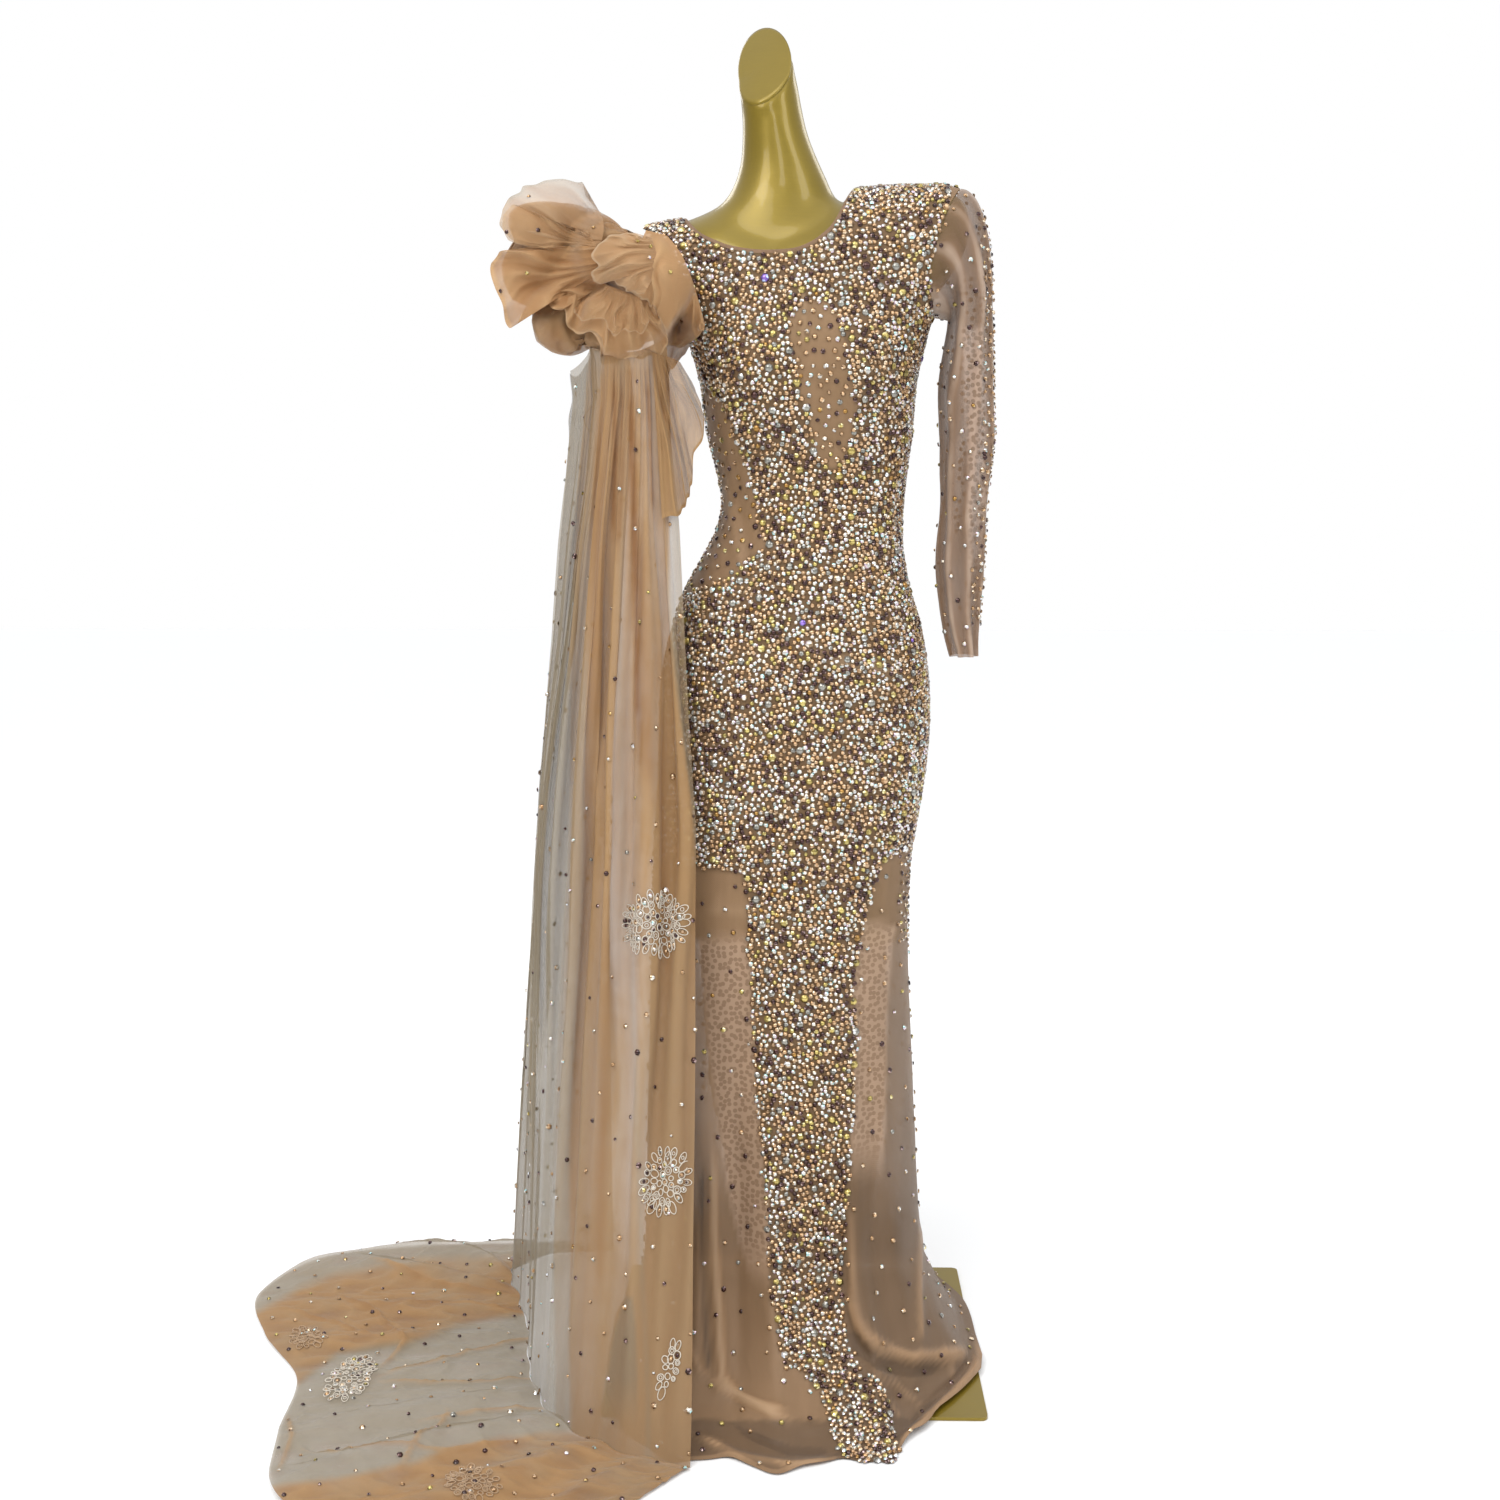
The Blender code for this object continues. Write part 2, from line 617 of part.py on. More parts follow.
def make_base():
    bpy.ops.mesh.primitive_cube_add(size=1, location=(0, 0, BASE_THICK / 2))
    cube = bpy.context.object
    cube.name = "form_base"
    body = bmesh.new()
    body.from_mesh(cube.data)
    bmesh.ops.scale(body, vec=(BASE_SIDE, BASE_SIDE, BASE_THICK), verts=body.verts)
    upright = [e for e in body.edges if abs(e.verts[0].co.z - e.verts[1].co.z) > BASE_THICK / 2]
    bmesh.ops.bevel(body, geom=upright, offset=BASE_CORNER, segments=4, affect="EDGES", profile=0.5)
    body.to_mesh(cube.data)
    body.free()
    paint(cube, "gold_lacquer")
    return cube


def make_pole():
    foot = BASE_THICK + SEAM
    top = FORM_BOTTOM - SEAM
    bpy.ops.mesh.primitive_cylinder_add(
        vertices=24, radius=POLE_RADIUS, depth=top - foot, location=(0, 0, (top + foot) / 2)
    )
    pole = bpy.context.object
    pole.name = "form_pole"
    pole.data.shade_smooth()
    pole.data.set_sharp_from_angle(angle=SMOOTH_ANGLE)
    paint(pole, "gold_lacquer")
    return pole


def form_side(side):
    """Points of the form's front or back, rows up, whose edges lie in the plane of the side seams."""
    shares = (1 - np.cos(np.linspace(0, np.pi, FORM_SIDES + 1))) / 2
    tops = np.full(len(shares), max(row[1] for row in FORM_SHOULDER))
    for _ in range(12):
        left = read(FORM, FORM_COLUMNS, "left", tops)
        right = read(FORM, FORM_COLUMNS, "right", tops)
        across = left + (right - left) * shares
        tops = shoulder_height(across, FORM_SHOULDER)
    rows = [np.full(len(shares), z) for z in FORM_HEIGHTS]
    for k in range(1, BODICE_ROWS + 1):
        rows.append(UNDERARM + (tops - UNDERARM) * np.sin(k / BODICE_ROWS * np.pi / 2))
    heights = np.array(rows)
    left = read(FORM, FORM_COLUMNS, "left", heights)
    right = read(FORM, FORM_COLUMNS, "right", heights)
    across = left + (right - left) * shares
    deep = depth_at(across, heights, (FORM, FORM_COLUMNS), FORM_SHOULDER, side, FORM_EASE)
    deep[0] *= FORM_BOTTOM_DEPTH
    deep[:, [0, -1]] = 0
    deep[-1] = 0
    sign = -1 if side == "front" else 1
    return np.stack((across, sign * deep, heights), axis=-1)


def make_torso():
    """The limbless torso with its neck, one solid."""
    vertices = []
    faces = []
    bottom = []
    for side in ("front", "back"):
        grid = form_side(side)
        rows, columns = grid.shape[:2]
        start = len(vertices)
        vertices.extend(grid.reshape(-1, 3))
        for i in range(rows - 1):
            for j in range(columns - 1):
                a = start + i * columns + j
                faces.append((a, a + 1, a + columns + 1, a + columns))
        row = [start + j for j in range(columns)]
        bottom += row if side == "front" else row[::-1][1:-1]
    faces.append(tuple(bottom))
    torso = add_object("form_torso", vertices, faces, "gold_lacquer")
    neck = make_neck()
    join = torso.modifiers.new("neck", "BOOLEAN")
    join.operation = "UNION"
    join.object = neck
    join.solver = "EXACT"
    neck.hide_render = True
    neck.display_type = "WIRE"
    neck.hide_set(True)
    return torso


def neck_ring(row, height):
    """An oval ring of the neck, deeper in front or behind as its row says."""
    turn = np.linspace(0, 2 * np.pi, NECK_SIDES, endpoint=False)
    x = (row.left + row.right) / 2 + (row.right - row.left) / 2 * np.cos(turn)
    y = np.where(np.sin(turn) < 0, row.front, row.back) * np.sin(turn)
    return np.stack((x, y, np.full(NECK_SIDES, height)), axis=-1)


def make_neck():
    """The neck that the torso takes up: oval rings, the last one in the slanted plane of the cap."""
    outlines = named_rows(NECK, NECK_COLUMNS)
    rings = [neck_ring(row, row.height) for row in outlines]
    collar = rings[-1]
    cap = collar.copy()
    cap[:, 2] = CAP_HEIGHT + CAP_RISE_BACK * cap[:, 1] + CAP_RISE_ACROSS * (cap[:, 0] - CAP_AXIS)
    collar[:, 2] = np.minimum(CAP_COLLAR, cap[:, 2] - CAP_LIP)
    rings.append(cap)
    faces = []
    for i in range(len(rings) - 1):
        for j in range(NECK_SIDES):
            a = i * NECK_SIDES + j
            b = i * NECK_SIDES + (j + 1) % NECK_SIDES
            faces.append((a, b, b + NECK_SIDES, a + NECK_SIDES))
    top = (len(rings) - 1) * NECK_SIDES
    faces.append(tuple(range(NECK_SIDES)))
    faces.append(tuple(range(top, top + NECK_SIDES)))
    return add_object("neck_shape", np.vstack(rings), faces, "gold_lacquer")


def make_binding(front, back):
    """A narrow band that stands on the panels' edges all round the neckline."""
    neck_columns = list(range(LEFT_COLUMNS, LEFT_COLUMNS + NECK_SPAN_COLUMNS + 1))
    edge = []
    normal = []
    for (points, normals), order in ((front, 1), (back, -1)):
        for column in neck_columns[::order]:
            edge.append(points[-1, column])
            normal.append(normals[-1, column])
    edge = np.array(edge)
    normal = np.array(normal)
    for corner, twin in ((0, len(edge) - 1), (len(edge) // 2 - 1, len(edge) // 2)):
        edge[corner] = (edge[corner] + edge[twin]) / 2
    keep = [k for k in range(len(edge)) if k not in (len(edge) - 1, len(edge) // 2)]
    edge = edge[keep]
    normal = normal[keep]
    rise = np.cross(normal, np.roll(edge, -1, axis=0) - np.roll(edge, 1, axis=0))
    rise /= np.linalg.norm(rise, axis=1, keepdims=True)
    inward = ((NECK_MIDDLE - edge) * rise).sum(axis=1, keepdims=True)
    rise = rise * np.sign(inward)
    low = edge + rise * EDGE_GAP
    high = edge + rise * (EDGE_GAP + BINDING_WIDTH)
    return add_wall(
        "neck_binding",
        np.array((low, high)),
        np.array((normal, normal)),
        MESH_WALL,
        "sheer_mesh",
        closed=True,
    )


def make_sleeve(front, back):
    """The long sleeve: out from the armhole over the shoulder, then straight down to the cuff."""
    ring, ring_normals = armhole_ring(front, back, -1)
    along = np.roll(ring, -1, axis=0) - np.roll(ring, 1, axis=0)
    away = np.cross(ring_normals, along)
    away /= np.linalg.norm(away, axis=1, keepdims=True)
    away *= np.sign(((SLEEVE_WAY - ring) * away).sum(axis=1, keepdims=True))
    ring = ring + away * SLEEVE_HEAD_GAP
    turn = np.arange(len(ring)) / len(ring) * 2 * np.pi
    hanging = []
    for row in named_rows(SLEEVE, SLEEVE_COLUMNS):
        x = (row.inner + row.outer) / 2 - (row.outer - row.inner) / 2 * np.cos(turn)
        hanging.append(np.stack((x, -row.depth * np.sin(turn), np.full(len(turn), row.height)), axis=-1))
    first = hanging[0]
    corner = np.stack((first[:, 0], (ring[:, 1] + first[:, 1]) / 2, ring[:, 2]), axis=-1)
    rows = []
    for k in range(SLEEVE_HEAD_ROWS + 1):
        t = k / (SLEEVE_HEAD_ROWS + 1)
        rows.append((1 - t) ** 2 * ring + 2 * t * (1 - t) * corner + t**2 * first)
    points = np.array(rows + hanging)
    normals = grid_normals(points, closed=True)
    middle = points.mean(axis=1, keepdims=True)
    facing = ((points - middle) * normals).sum() > 0
    normals = normals if facing else -normals
    normals[0] = SLEEVE_EDGE_LEAN * normals[0] + ring_normals
    normals[0] /= np.linalg.norm(normals[0], axis=1, keepdims=True)
    return add_wall("sleeve_left", points, normals, MESH_WALL, "sheer_mesh", closed=True)


def puff_radius(direction):
    """Distance from the puff's middle to its skin: a soft envelope of the lobes."""
    total = np.full(direction.shape[:-1], np.exp(PUFF_BLEND * PUFF_LEAST))
    for lobe in named_rows(LOBES, LOBE_COLUMNS):
        offset = np.array((lobe.across, lobe.deep, lobe.height)) - PUFF_MIDDLE
        along = direction @ offset
        inside = along**2 - offset @ offset + lobe.radius**2
        reach = np.where(inside > 0, along + np.sqrt(np.maximum(inside, 0)), 0)
        total = total + np.where(reach > 0, np.exp(PUFF_BLEND * reach), 0)
    return np.log(total) / PUFF_BLEND


def puff_grid(front, back):
    """Mid-surface points and normals of the puff, from the armhole round to its far side."""
    ring, ring_normals = armhole_ring(front, back, 0)
    ring = ring + ring_normals * (MESH_WALL / 2 + EDGE_GAP)
    around = np.arange(PUFF_AROUND) / PUFF_AROUND
    places = np.arange(len(ring) + 1) / len(ring)
    loop = np.vstack((ring, ring[:1]))
    loop_normals = np.vstack((ring_normals, ring_normals[:1]))
    start = np.stack([np.interp(around, places, loop[:, k]) for k in range(3)], axis=-1)
    start_normals = np.stack([np.interp(around, places, loop_normals[:, k]) for k in range(3)], axis=-1)
    turn = around * 2 * np.pi
    toward_front = np.clip(np.sin(turn), 0, 1)
    first = np.radians(PUFF_START - (PUFF_START - PUFF_START_FRONT) * toward_front)
    start_normals /= np.linalg.norm(start_normals, axis=1, keepdims=True)
    rows = [start, start + start_normals * PUFF_STAND]
    for k in range(PUFF_ROWS):
        angle = first + (np.radians(PUFF_END) - first) * k / (PUFF_ROWS - 1)
        direction = np.stack(
            (np.cos(angle), -np.sin(angle) * np.sin(turn), -np.sin(angle) * np.cos(turn)), axis=-1
        )
        gathers = 1 + PUFF_GATHER_DEPTH * np.sin(PUFF_GATHERS * turn) * np.sin(angle)
        rows.append(PUFF_MIDDLE + direction * (puff_radius(direction) * gathers)[:, None])
    points = np.array(rows)
    normals = grid_normals(points, closed=True)
    facing = ((points - PUFF_MIDDLE) * normals).sum() > 0
    return points, normals if facing else -normals


def foot_line(table, columns, waves):
    """A line on the floor through a table's rows, waved to both sides."""
    along = np.linspace(0, 1, columns)
    x = read(table, FOOT_COLUMNS, "across", along)
    y = read(table, FOOT_COLUMNS, "deep", along)
    step_x = np.gradient(x, along)
    step_y = np.gradient(y, along)
    length = np.hypot(step_x, step_y)
    wave = FOOT_WAVE * np.sin(2 * np.pi * waves * along) * np.sin(np.pi * along)
    return np.stack((x - step_y / length * wave, y + step_x / length * wave), axis=-1)


def grid_sample(grid, rows, columns):
    """Points between a grid's own, whose columns run round."""
    low = np.floor(rows).astype(int)
    left = np.floor(columns).astype(int)
    up = (rows - low)[:, None]
    over = (columns - left)[:, None]
    count = grid.shape[1]
    high = np.minimum(low + 1, len(grid) - 1)
    near = grid[low, left % count] * (1 - up) + grid[high, left % count] * up
    far = grid[low, (left + 1) % count] * (1 - up) + grid[high, (left + 1) % count] * up
    return near * (1 - over) + far * over


def cape_grid(puff, top_columns, foot, waves, lean):
    """Mid-surface of one stretch of cape, from under the puff down to its foot on the floor."""
    along = np.linspace(0, 1, len(foot))
    turned = np.clip(along / CAPE_TOP_TURN, 0, 1)
    rows = CAPE_TOP_ROWS[0] + (CAPE_TOP_ROWS[1] - CAPE_TOP_ROWS[0]) * along
    columns = top_columns[0] + (top_columns[1] - top_columns[0]) * np.sin(turned * np.pi / 2)
    away = grid_sample(puff[1], rows, columns)
    away /= np.linalg.norm(away, axis=1, keepdims=True)
    top = grid_sample(puff[0], rows, columns) + away * CAPE_PUFF_GAP
    lines = []
    for fall in CAPE_FALLS:
        plan = top[:, :2] + (foot - top[:, :2]) * np.array((fall**SIDE_LEAN, fall**lean))
        wave = CAPE_WAVE * np.sin(np.pi * fall) ** WAVE_RISE * np.sin(2 * np.pi * waves * along)
        wave = wave * np.clip(np.sin(np.pi * along), 0, 1) ** WAVE_EDGE_FADE
        height = top[:, 2] * (1 - fall) + CAPE_FLOOR_GAP * fall
        lines.append(np.stack((plan[:, 0], plan[:, 1] + wave, height), axis=-1))
    points = np.array(lines)
    normals = grid_normals(points)
    level = normals[0].copy()
    level[:, 2] = 0
    normals[0] = level / np.linalg.norm(level, axis=1, keepdims=True)
    return points, normals


def make_train(front_foot, back_foot):
    """The stretch on the floor: flat below, with its folds raised above."""
    foot = np.vstack((back_foot[::-1], front_foot[1:]))
    step = np.gradient(foot, axis=0)
    side = np.stack((step[:, 1], -step[:, 0]), axis=-1)
    side /= np.linalg.norm(side, axis=1, keepdims=True)
    inner = foot + side * (TULLE_WALL / 2 + 2 * SEAM)
    along = np.linspace(0, 1, len(inner))
    outer = np.stack([read(TRAIN_OUTER, FOOT_COLUMNS, name, along) for name in ("across", "deep")], axis=-1)
    ridges = named_rows(TRAIN_RIDGES, RIDGE_COLUMNS)
    rise = sum(ridge.height * np.exp(-(((along - ridge.along) / ridge.width) ** 2)) for ridge in ridges)
    rows = []
    for share in TRAIN_SHARES:
        plan = inner + (outer - inner) * share
        bulge = np.sin(np.pi * (RIDGE_FADE + (1 - 2 * RIDGE_FADE) * share)) ** RIDGE_FULLNESS
        rows.append(np.column_stack((plan, TRAIN_WALL + rise * bulge)))
    top = np.array(rows)
    under = top.copy()
    under[..., 2] = 0
    add_wall("train_floor", top, np.zeros_like(top), 0, "tulle", under=under)


def main():
    for thing in list(bpy.data.objects):
        bpy.data.objects.remove(thing)
    make_base()
    make_pole()
    make_torso()
    front = panel_grid("front")
    back = panel_grid("back")
    add_wall("gown_front", *front, MESH_WALL, "stoned_mesh")
    add_wall("gown_back", *back, MESH_WALL, "stoned_mesh")
    make_binding(front, back)
    make_sleeve(front, back)
    puff = puff_grid(front, back)
    add_wall("tulle_puff", *puff, TULLE_WALL, "tulle", closed=True, pole=True)
    front_foot = foot_line(FRONT_FOOT, FRONT_FOOT_COLUMNS, FRONT_WAVES)
    back_foot = foot_line(BACK_FOOT, BACK_FOOT_COLUMNS, BACK_WAVES)
    cape_front = cape_grid(puff, FRONT_TOP_COLUMNS, front_foot, FRONT_WAVES, FRONT_LEAN)
    cape_back = cape_grid(puff, BACK_TOP_COLUMNS, back_foot, BACK_WAVES, BACK_LEAN)
    add_wall("cape_front", *cape_front, TULLE_WALL, "tulle")
    add_wall("cape_back", *cape_back, TULLE_WALL, "tulle")
    make_train(front_foot, back_foot)


main()
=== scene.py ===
import math

import bpy
import numpy as np
from mathutils import Euler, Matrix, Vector
from mathutils.bvhtree import BVHTree
from mathutils.kdtree import KDTree


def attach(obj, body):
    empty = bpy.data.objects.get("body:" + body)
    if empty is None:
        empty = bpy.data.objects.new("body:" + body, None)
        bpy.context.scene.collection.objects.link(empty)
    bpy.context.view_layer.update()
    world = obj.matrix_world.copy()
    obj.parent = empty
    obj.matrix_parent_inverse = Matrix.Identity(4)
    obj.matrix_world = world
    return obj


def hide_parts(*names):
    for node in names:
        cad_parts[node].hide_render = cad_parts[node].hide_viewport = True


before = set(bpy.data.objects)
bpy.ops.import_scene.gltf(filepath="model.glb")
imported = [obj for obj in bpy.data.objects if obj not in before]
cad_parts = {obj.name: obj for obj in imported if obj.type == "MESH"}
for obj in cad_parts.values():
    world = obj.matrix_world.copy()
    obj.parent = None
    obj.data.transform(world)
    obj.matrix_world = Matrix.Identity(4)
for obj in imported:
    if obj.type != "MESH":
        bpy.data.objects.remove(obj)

# A stoned stretch-mesh evening gown with one long sleeve, a tulle puff, cape and train, on a gold dress form.
# Metres. The gown's front faces -Y and its sleeve is at +X.
for spare in ("Cube", "Light", "Camera"):  # what a new Blender file starts with
    if spare in bpy.data.objects:
        bpy.data.objects.remove(bpy.data.objects[spare])
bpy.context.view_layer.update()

class Wire:  # an output socket that takes part in sums, each of which adds a Math node
    def __init__(self, paint, socket):
        self.paint = paint
        self.socket = socket

    def sum(self, operation, first, second=0.0):
        return self.paint.node("ShaderNodeMath", {"operation": operation}, {0: first, 1: second})[0]

    def __add__(self, other): return self.sum("ADD", self, other)
    def __radd__(self, other): return self.sum("ADD", other, self)
    def __sub__(self, other): return self.sum("SUBTRACT", self, other)
    def __rsub__(self, other): return self.sum("SUBTRACT", other, self)
    def __mul__(self, other): return self.sum("MULTIPLY", self, other)
    def __rmul__(self, other): return self.sum("MULTIPLY", other, self)
    def sine(self): return self.sum("SINE", self)
    def least(self, other): return self.sum("MINIMUM", self, other)
    def within(self, low, high): return self.sum("MAXIMUM", self, low).least(high)

class Node:  # a node whose outputs are read as wires
    def __init__(self, paint, node):
        self.paint = paint
        self.made = node

    def __getitem__(self, key):
        return Wire(self.paint, self.made.outputs[key])

class Paint:  # one material, or the world, while its nodes are made
    def __init__(self, owner):
        self.owner = owner
        owner.use_nodes = True
        self.tree = owner.node_tree

    def node(self, kind, settings=None, values=None):
        made = self.tree.nodes.new(kind)
        for key, value in (settings or {}).items():
            if key == "stops":
                ramp = made.color_ramp
                while len(ramp.elements) < len(value):
                    ramp.elements.new(1.0)
                for stop, (place, colour) in zip(ramp.elements, value):
                    stop.position = place
                    stop.color = (*colour, 1)
            else:
                setattr(made, key, value)
        for key, value in (values or {}).items():
            self.feed(made.inputs[key], value)
        return Node(self, made)

    def feed(self, socket, value):
        if isinstance(value, Wire):
            self.tree.links.new(value.socket, socket)
        elif isinstance(value, (tuple, list)) and socket.type == "RGBA":
            socket.default_value = (*value, 1)
        else:
            socket.default_value = value

    def mix(self, factor, first, second):
        return self.node("ShaderNodeMix", {"data_type": "RGBA"}, {0: factor, 6: first, 7: second})[2]

    def noise(self, place, scale, detail=2.0, roughness=0.5):
        values = {"Vector": place, "Scale": scale, "Detail": detail, "Roughness": roughness}
        return self.node("ShaderNodeTexNoise", {}, values)["Fac"]

    def stretched(self, place, scale):
        return self.node("ShaderNodeVectorMath", {"operation": "MULTIPLY"}, {0: place, 1: scale})[0]

    def attribute(self, name, output="Fac"):
        return self.node("ShaderNodeAttribute", {"attribute_name": name})[output]

    def bump(self, height, strength, distance):
        return self.node("ShaderNodeBump", {}, {"Height": height, "Strength": strength, "Distance": distance})[0]

    def finish(self, values):
        shader = self.tree.nodes["Principled BSDF"]
        for key, value in values.items():
            self.feed(shader.inputs[key], value)
        return self.owner

# What the stretch mesh, the tulle, the lacquer and the stones look like
# In both stretch-mesh looks, stoned is painted shade between close stones, fold a painted highlight on folds, and dark
# painted shade in troughs and other shaded places
meshLook = {
    "thread": (0.385, 0.232, 0.122), "shade": (0.265, 0.155, 0.075), "stoned": (0.13, 0.07, 0.025),
    "fold": (0.5, 0.33, 0.19), "dark": (0.115, 0.066, 0.032), "through": (0.55, 0.37, 0.245),
    "dot": (0.31, 0.19, 0.11), "pitch": 0.0011, "rough": 0.62,
}
sheerLook = {
    "thread": (0.32, 0.188, 0.108), "shade": (0.2, 0.115, 0.06), "stoned": (0.15, 0.09, 0.05),
    "fold": (0.53, 0.39, 0.29), "dark": (0.14, 0.08, 0.045), "through": (0.5, 0.35, 0.26),
    "dot": (0.24, 0.15, 0.09), "pitch": 0.0011, "rough": 0.66,
}
# In the tulle looks, deep is the colour of painted shade and shadow in folds and creases
puffLook = {
    "warm": (0.57, 0.345, 0.165), "deep": (0.33, 0.145, 0.042), "pale": (0.42, 0.36, 0.28), "pitch": 0.0016,
    "rough": 0.72,
}
capeLook = {
    "warm": (0.37, 0.215, 0.09), "deep": (0.23, 0.1, 0.028), "pale": (0.27, 0.22, 0.145), "pitch": 0.0016,
    "rough": 0.74,
}
lacquerLook = {
    "light": (0.3, 0.21, 0.016), "shade": (0.2, 0.138, 0.009), "metal": 0.42, "rough": 0.36, "coat": 0.38,
    "clouds": 7.0, "brushed": 60.0, "brushLong": (1.0, 1.0, 9.0), "peel": 420.0, "tinted": (0.7, 0.3),
    "roughened": (0.12, 0.06), "coatRough": 0.07, "bump": (0.1, 0.0003),
}
glassLook = {
    "flaws": 900.0, "metal": 0.55, "rough": 0.1, "roughened": 0.08, "coat": 0.5, "coatRough": 0.04,
    "bump": (0.1, 0.0002),
}
# How threads, folds and clouds are laid over the two cloths, and how far each of them shows
threadsCross = {"crossing": 0.35, "slanting": 0.15, "middle": 0.5}
meshLaid = {
    # stoned and creased: how strongly the painted shade between close stones and the painted highlight and shade of
    # folds show
    "clouds": 14.0, "folds": (42.0, 7.0, 1.0), "foldRough": 0.55, "tinted": (0.35, 0.65), "stoned": 0.85,
    "creased": 0.8, "through": 0.75, "dots": {"Scale": 148.0, "Randomness": 0.72}, "dotSize": 0.45, "dotEdge": 9.0,
    "dotted": 0.85,
    "covered": (0.16, 0.14, 0.16, 0.25), "leastCover": 0.05, "roughened": 0.12, "sheen": (0.15, 0.4),
    "raised": (0.3, 0.7), "bump": (0.5, 0.0008),
}
tulleLaid = {
    "streaks": (60.0, 4.0, 1.0), "streakRough": 0.55, "crumple": 38.0, "deepened": (0.22, 0.14),
    "covered": (0.84, 0.22, 0.12, 0.08), "leastCover": 0.03, "roughened": 0.12, "sheen": (0.2, 0.35),
    "raised": (0.2, 0.8, 0.5), "bump": (0.55, 0.0016),
}

def weave(paint, cloth, pitch):
    u = paint.node("ShaderNodeSeparateXYZ", {}, {0: cloth})["X"]
    v = paint.node("ShaderNodeSeparateXYZ", {}, {0: cloth})["Y"]
    turn = 2 * math.pi / pitch
    warp = (u * turn).sine()
    weft = (v * turn).sine()
    slant = ((u + v) * (turn / 2)).sine()
    return (warp * weft) * threadsCross["crossing"] + slant * threadsCross["slanting"] + threadsCross["middle"]

def stretchMesh(name, look):
    paint = Paint(bpy.data.materials.new(name))
    cloth = paint.node("ShaderNodeUVMap", {"uv_map": "cloth"})[0]
    threads = weave(paint, cloth, look["pitch"])
    clouds = paint.noise(cloth, meshLaid["clouds"], 3.0)
    folds = paint.noise(paint.stretched(cloth, meshLaid["folds"]), 1.0, 3.0, meshLaid["foldRough"])
    stoned = paint.attribute("stoned")  # painted shade between stones that stand close
    crease = paint.attribute("crease")  # painted highlight above 0 on a fold, painted shade below 0 in troughs and other shaded places
    backed = paint.attribute("backed")  # where the stones of the layer behind show through
    threadShare, foldShare = meshLaid["tinted"]
    tint = paint.mix((threads * threadShare + folds * foldShare).least(1.0), look["shade"], look["thread"])
    tint = paint.mix(stoned * meshLaid["stoned"], tint, look["stoned"])
    tint = paint.mix((crease * -meshLaid["creased"]).within(0.0, 1.0), tint, look["dark"])
    tint = paint.mix((crease * meshLaid["creased"]).within(0.0, 1.0), tint, look["fold"])
    place = paint.node("ShaderNodeSeparateXYZ", {}, {0: paint.node("ShaderNodeTexCoord")["Object"]})
    facing = paint.node("ShaderNodeCombineXYZ", {}, {0: place["X"], 1: place["Z"]})[0]
    values = {"Vector": facing, **meshLaid["dots"]}
    cells = paint.node("ShaderNodeTexVoronoi", {"voronoi_dimensions": "2D"}, values)["Distance"]
    dots = ((meshLaid["dotSize"] - cells) * meshLaid["dotEdge"]).within(0.0, 1.0)
    tint = paint.mix(backed * meshLaid["through"], tint, look["through"])
    tint = paint.mix(dots * backed * meshLaid["dotted"], tint, look["dot"])
    byThread, byCloud, byFold, byStones = meshLaid["covered"]
    cover = (threads - 0.5) * byThread + (clouds - 0.5) * byCloud + (folds - 0.5) * byFold
    cover = cover + paint.attribute("dense") + stoned * byStones
    raisedThread, raisedFold = meshLaid["raised"]
    return paint.finish({
        "Base Color": tint,
        "Alpha": cover.within(meshLaid["leastCover"], 1.0),
        "Roughness": clouds * meshLaid["roughened"] + (look["rough"] - meshLaid["roughened"] / 2),
        "Sheen Weight": meshLaid["sheen"][0],
        "Sheen Roughness": meshLaid["sheen"][1],
        "Normal": paint.bump(threads * raisedThread + folds * raisedFold, *meshLaid["bump"]),
    })

def tulleNet(name, look):
    paint = Paint(bpy.data.materials.new(name))
    cloth = paint.node("ShaderNodeUVMap", {"uv_map": "cloth"})[0]
    net = weave(paint, cloth, look["pitch"])
    streaks = paint.noise(paint.stretched(cloth, tulleLaid["streaks"]), 1.0, 3.0, tulleLaid["streakRough"])
    crumple = paint.noise(cloth, tulleLaid["crumple"], 4.0, 0.6)
    # the deep attribute, streaks and crumples darken the tulle: painted shade in its folds
    byStreak, byCrumple = tulleLaid["deepened"]
    deep = paint.attribute("deep") + (streaks - 0.5) * byStreak + (crumple - 0.5) * byCrumple
    tint = paint.mix(paint.attribute("warm"), look["pale"], look["warm"])
    tint = paint.mix(deep.within(0.0, 1.0), tint, look["deep"])
    least, byStreak, byCrumple, byNet = tulleLaid["covered"]
    cover = paint.attribute("dense") * (least + streaks * byStreak + crumple * byCrumple) + (net - 0.5) * byNet
    netRaised, streakRaised, crumpleRaised = tulleLaid["raised"]
    height = net * netRaised + streaks * streakRaised + crumple * crumpleRaised
    return paint.finish({
        "Base Color": tint,
        "Alpha": cover.within(tulleLaid["leastCover"], 1.0),
        "Roughness": crumple * tulleLaid["roughened"] + (look["rough"] - tulleLaid["roughened"] / 2),
        "Sheen Weight": tulleLaid["sheen"][0],
        "Sheen Roughness": tulleLaid["sheen"][1],
        "Normal": paint.bump(height, *tulleLaid["bump"]),
    })

def goldLacquer(name, look):
    paint = Paint(bpy.data.materials.new(name))
    place = paint.node("ShaderNodeTexCoord")["Object"]
    clouds = paint.noise(place, look["clouds"], 3.0)
    brushed = paint.noise(paint.stretched(place, look["brushLong"]), look["brushed"], 2.0)
    cloudShare, brushShare = look["tinted"]
    cloudRough, brushRough = look["roughened"]
    shares = (clouds * cloudShare + brushed * brushShare).least(1.0)
    return paint.finish({
        "Base Color": paint.mix(shares, look["shade"], look["light"]),
        "Metallic": look["metal"],
        "Roughness": look["rough"] + (clouds - 0.5) * cloudRough + (brushed - 0.5) * brushRough,
        "Coat Weight": look["coat"],
        "Coat Roughness": look["coatRough"],
        "Normal": paint.bump(paint.noise(place, look["peel"], 1.0), *look["bump"]),
    })

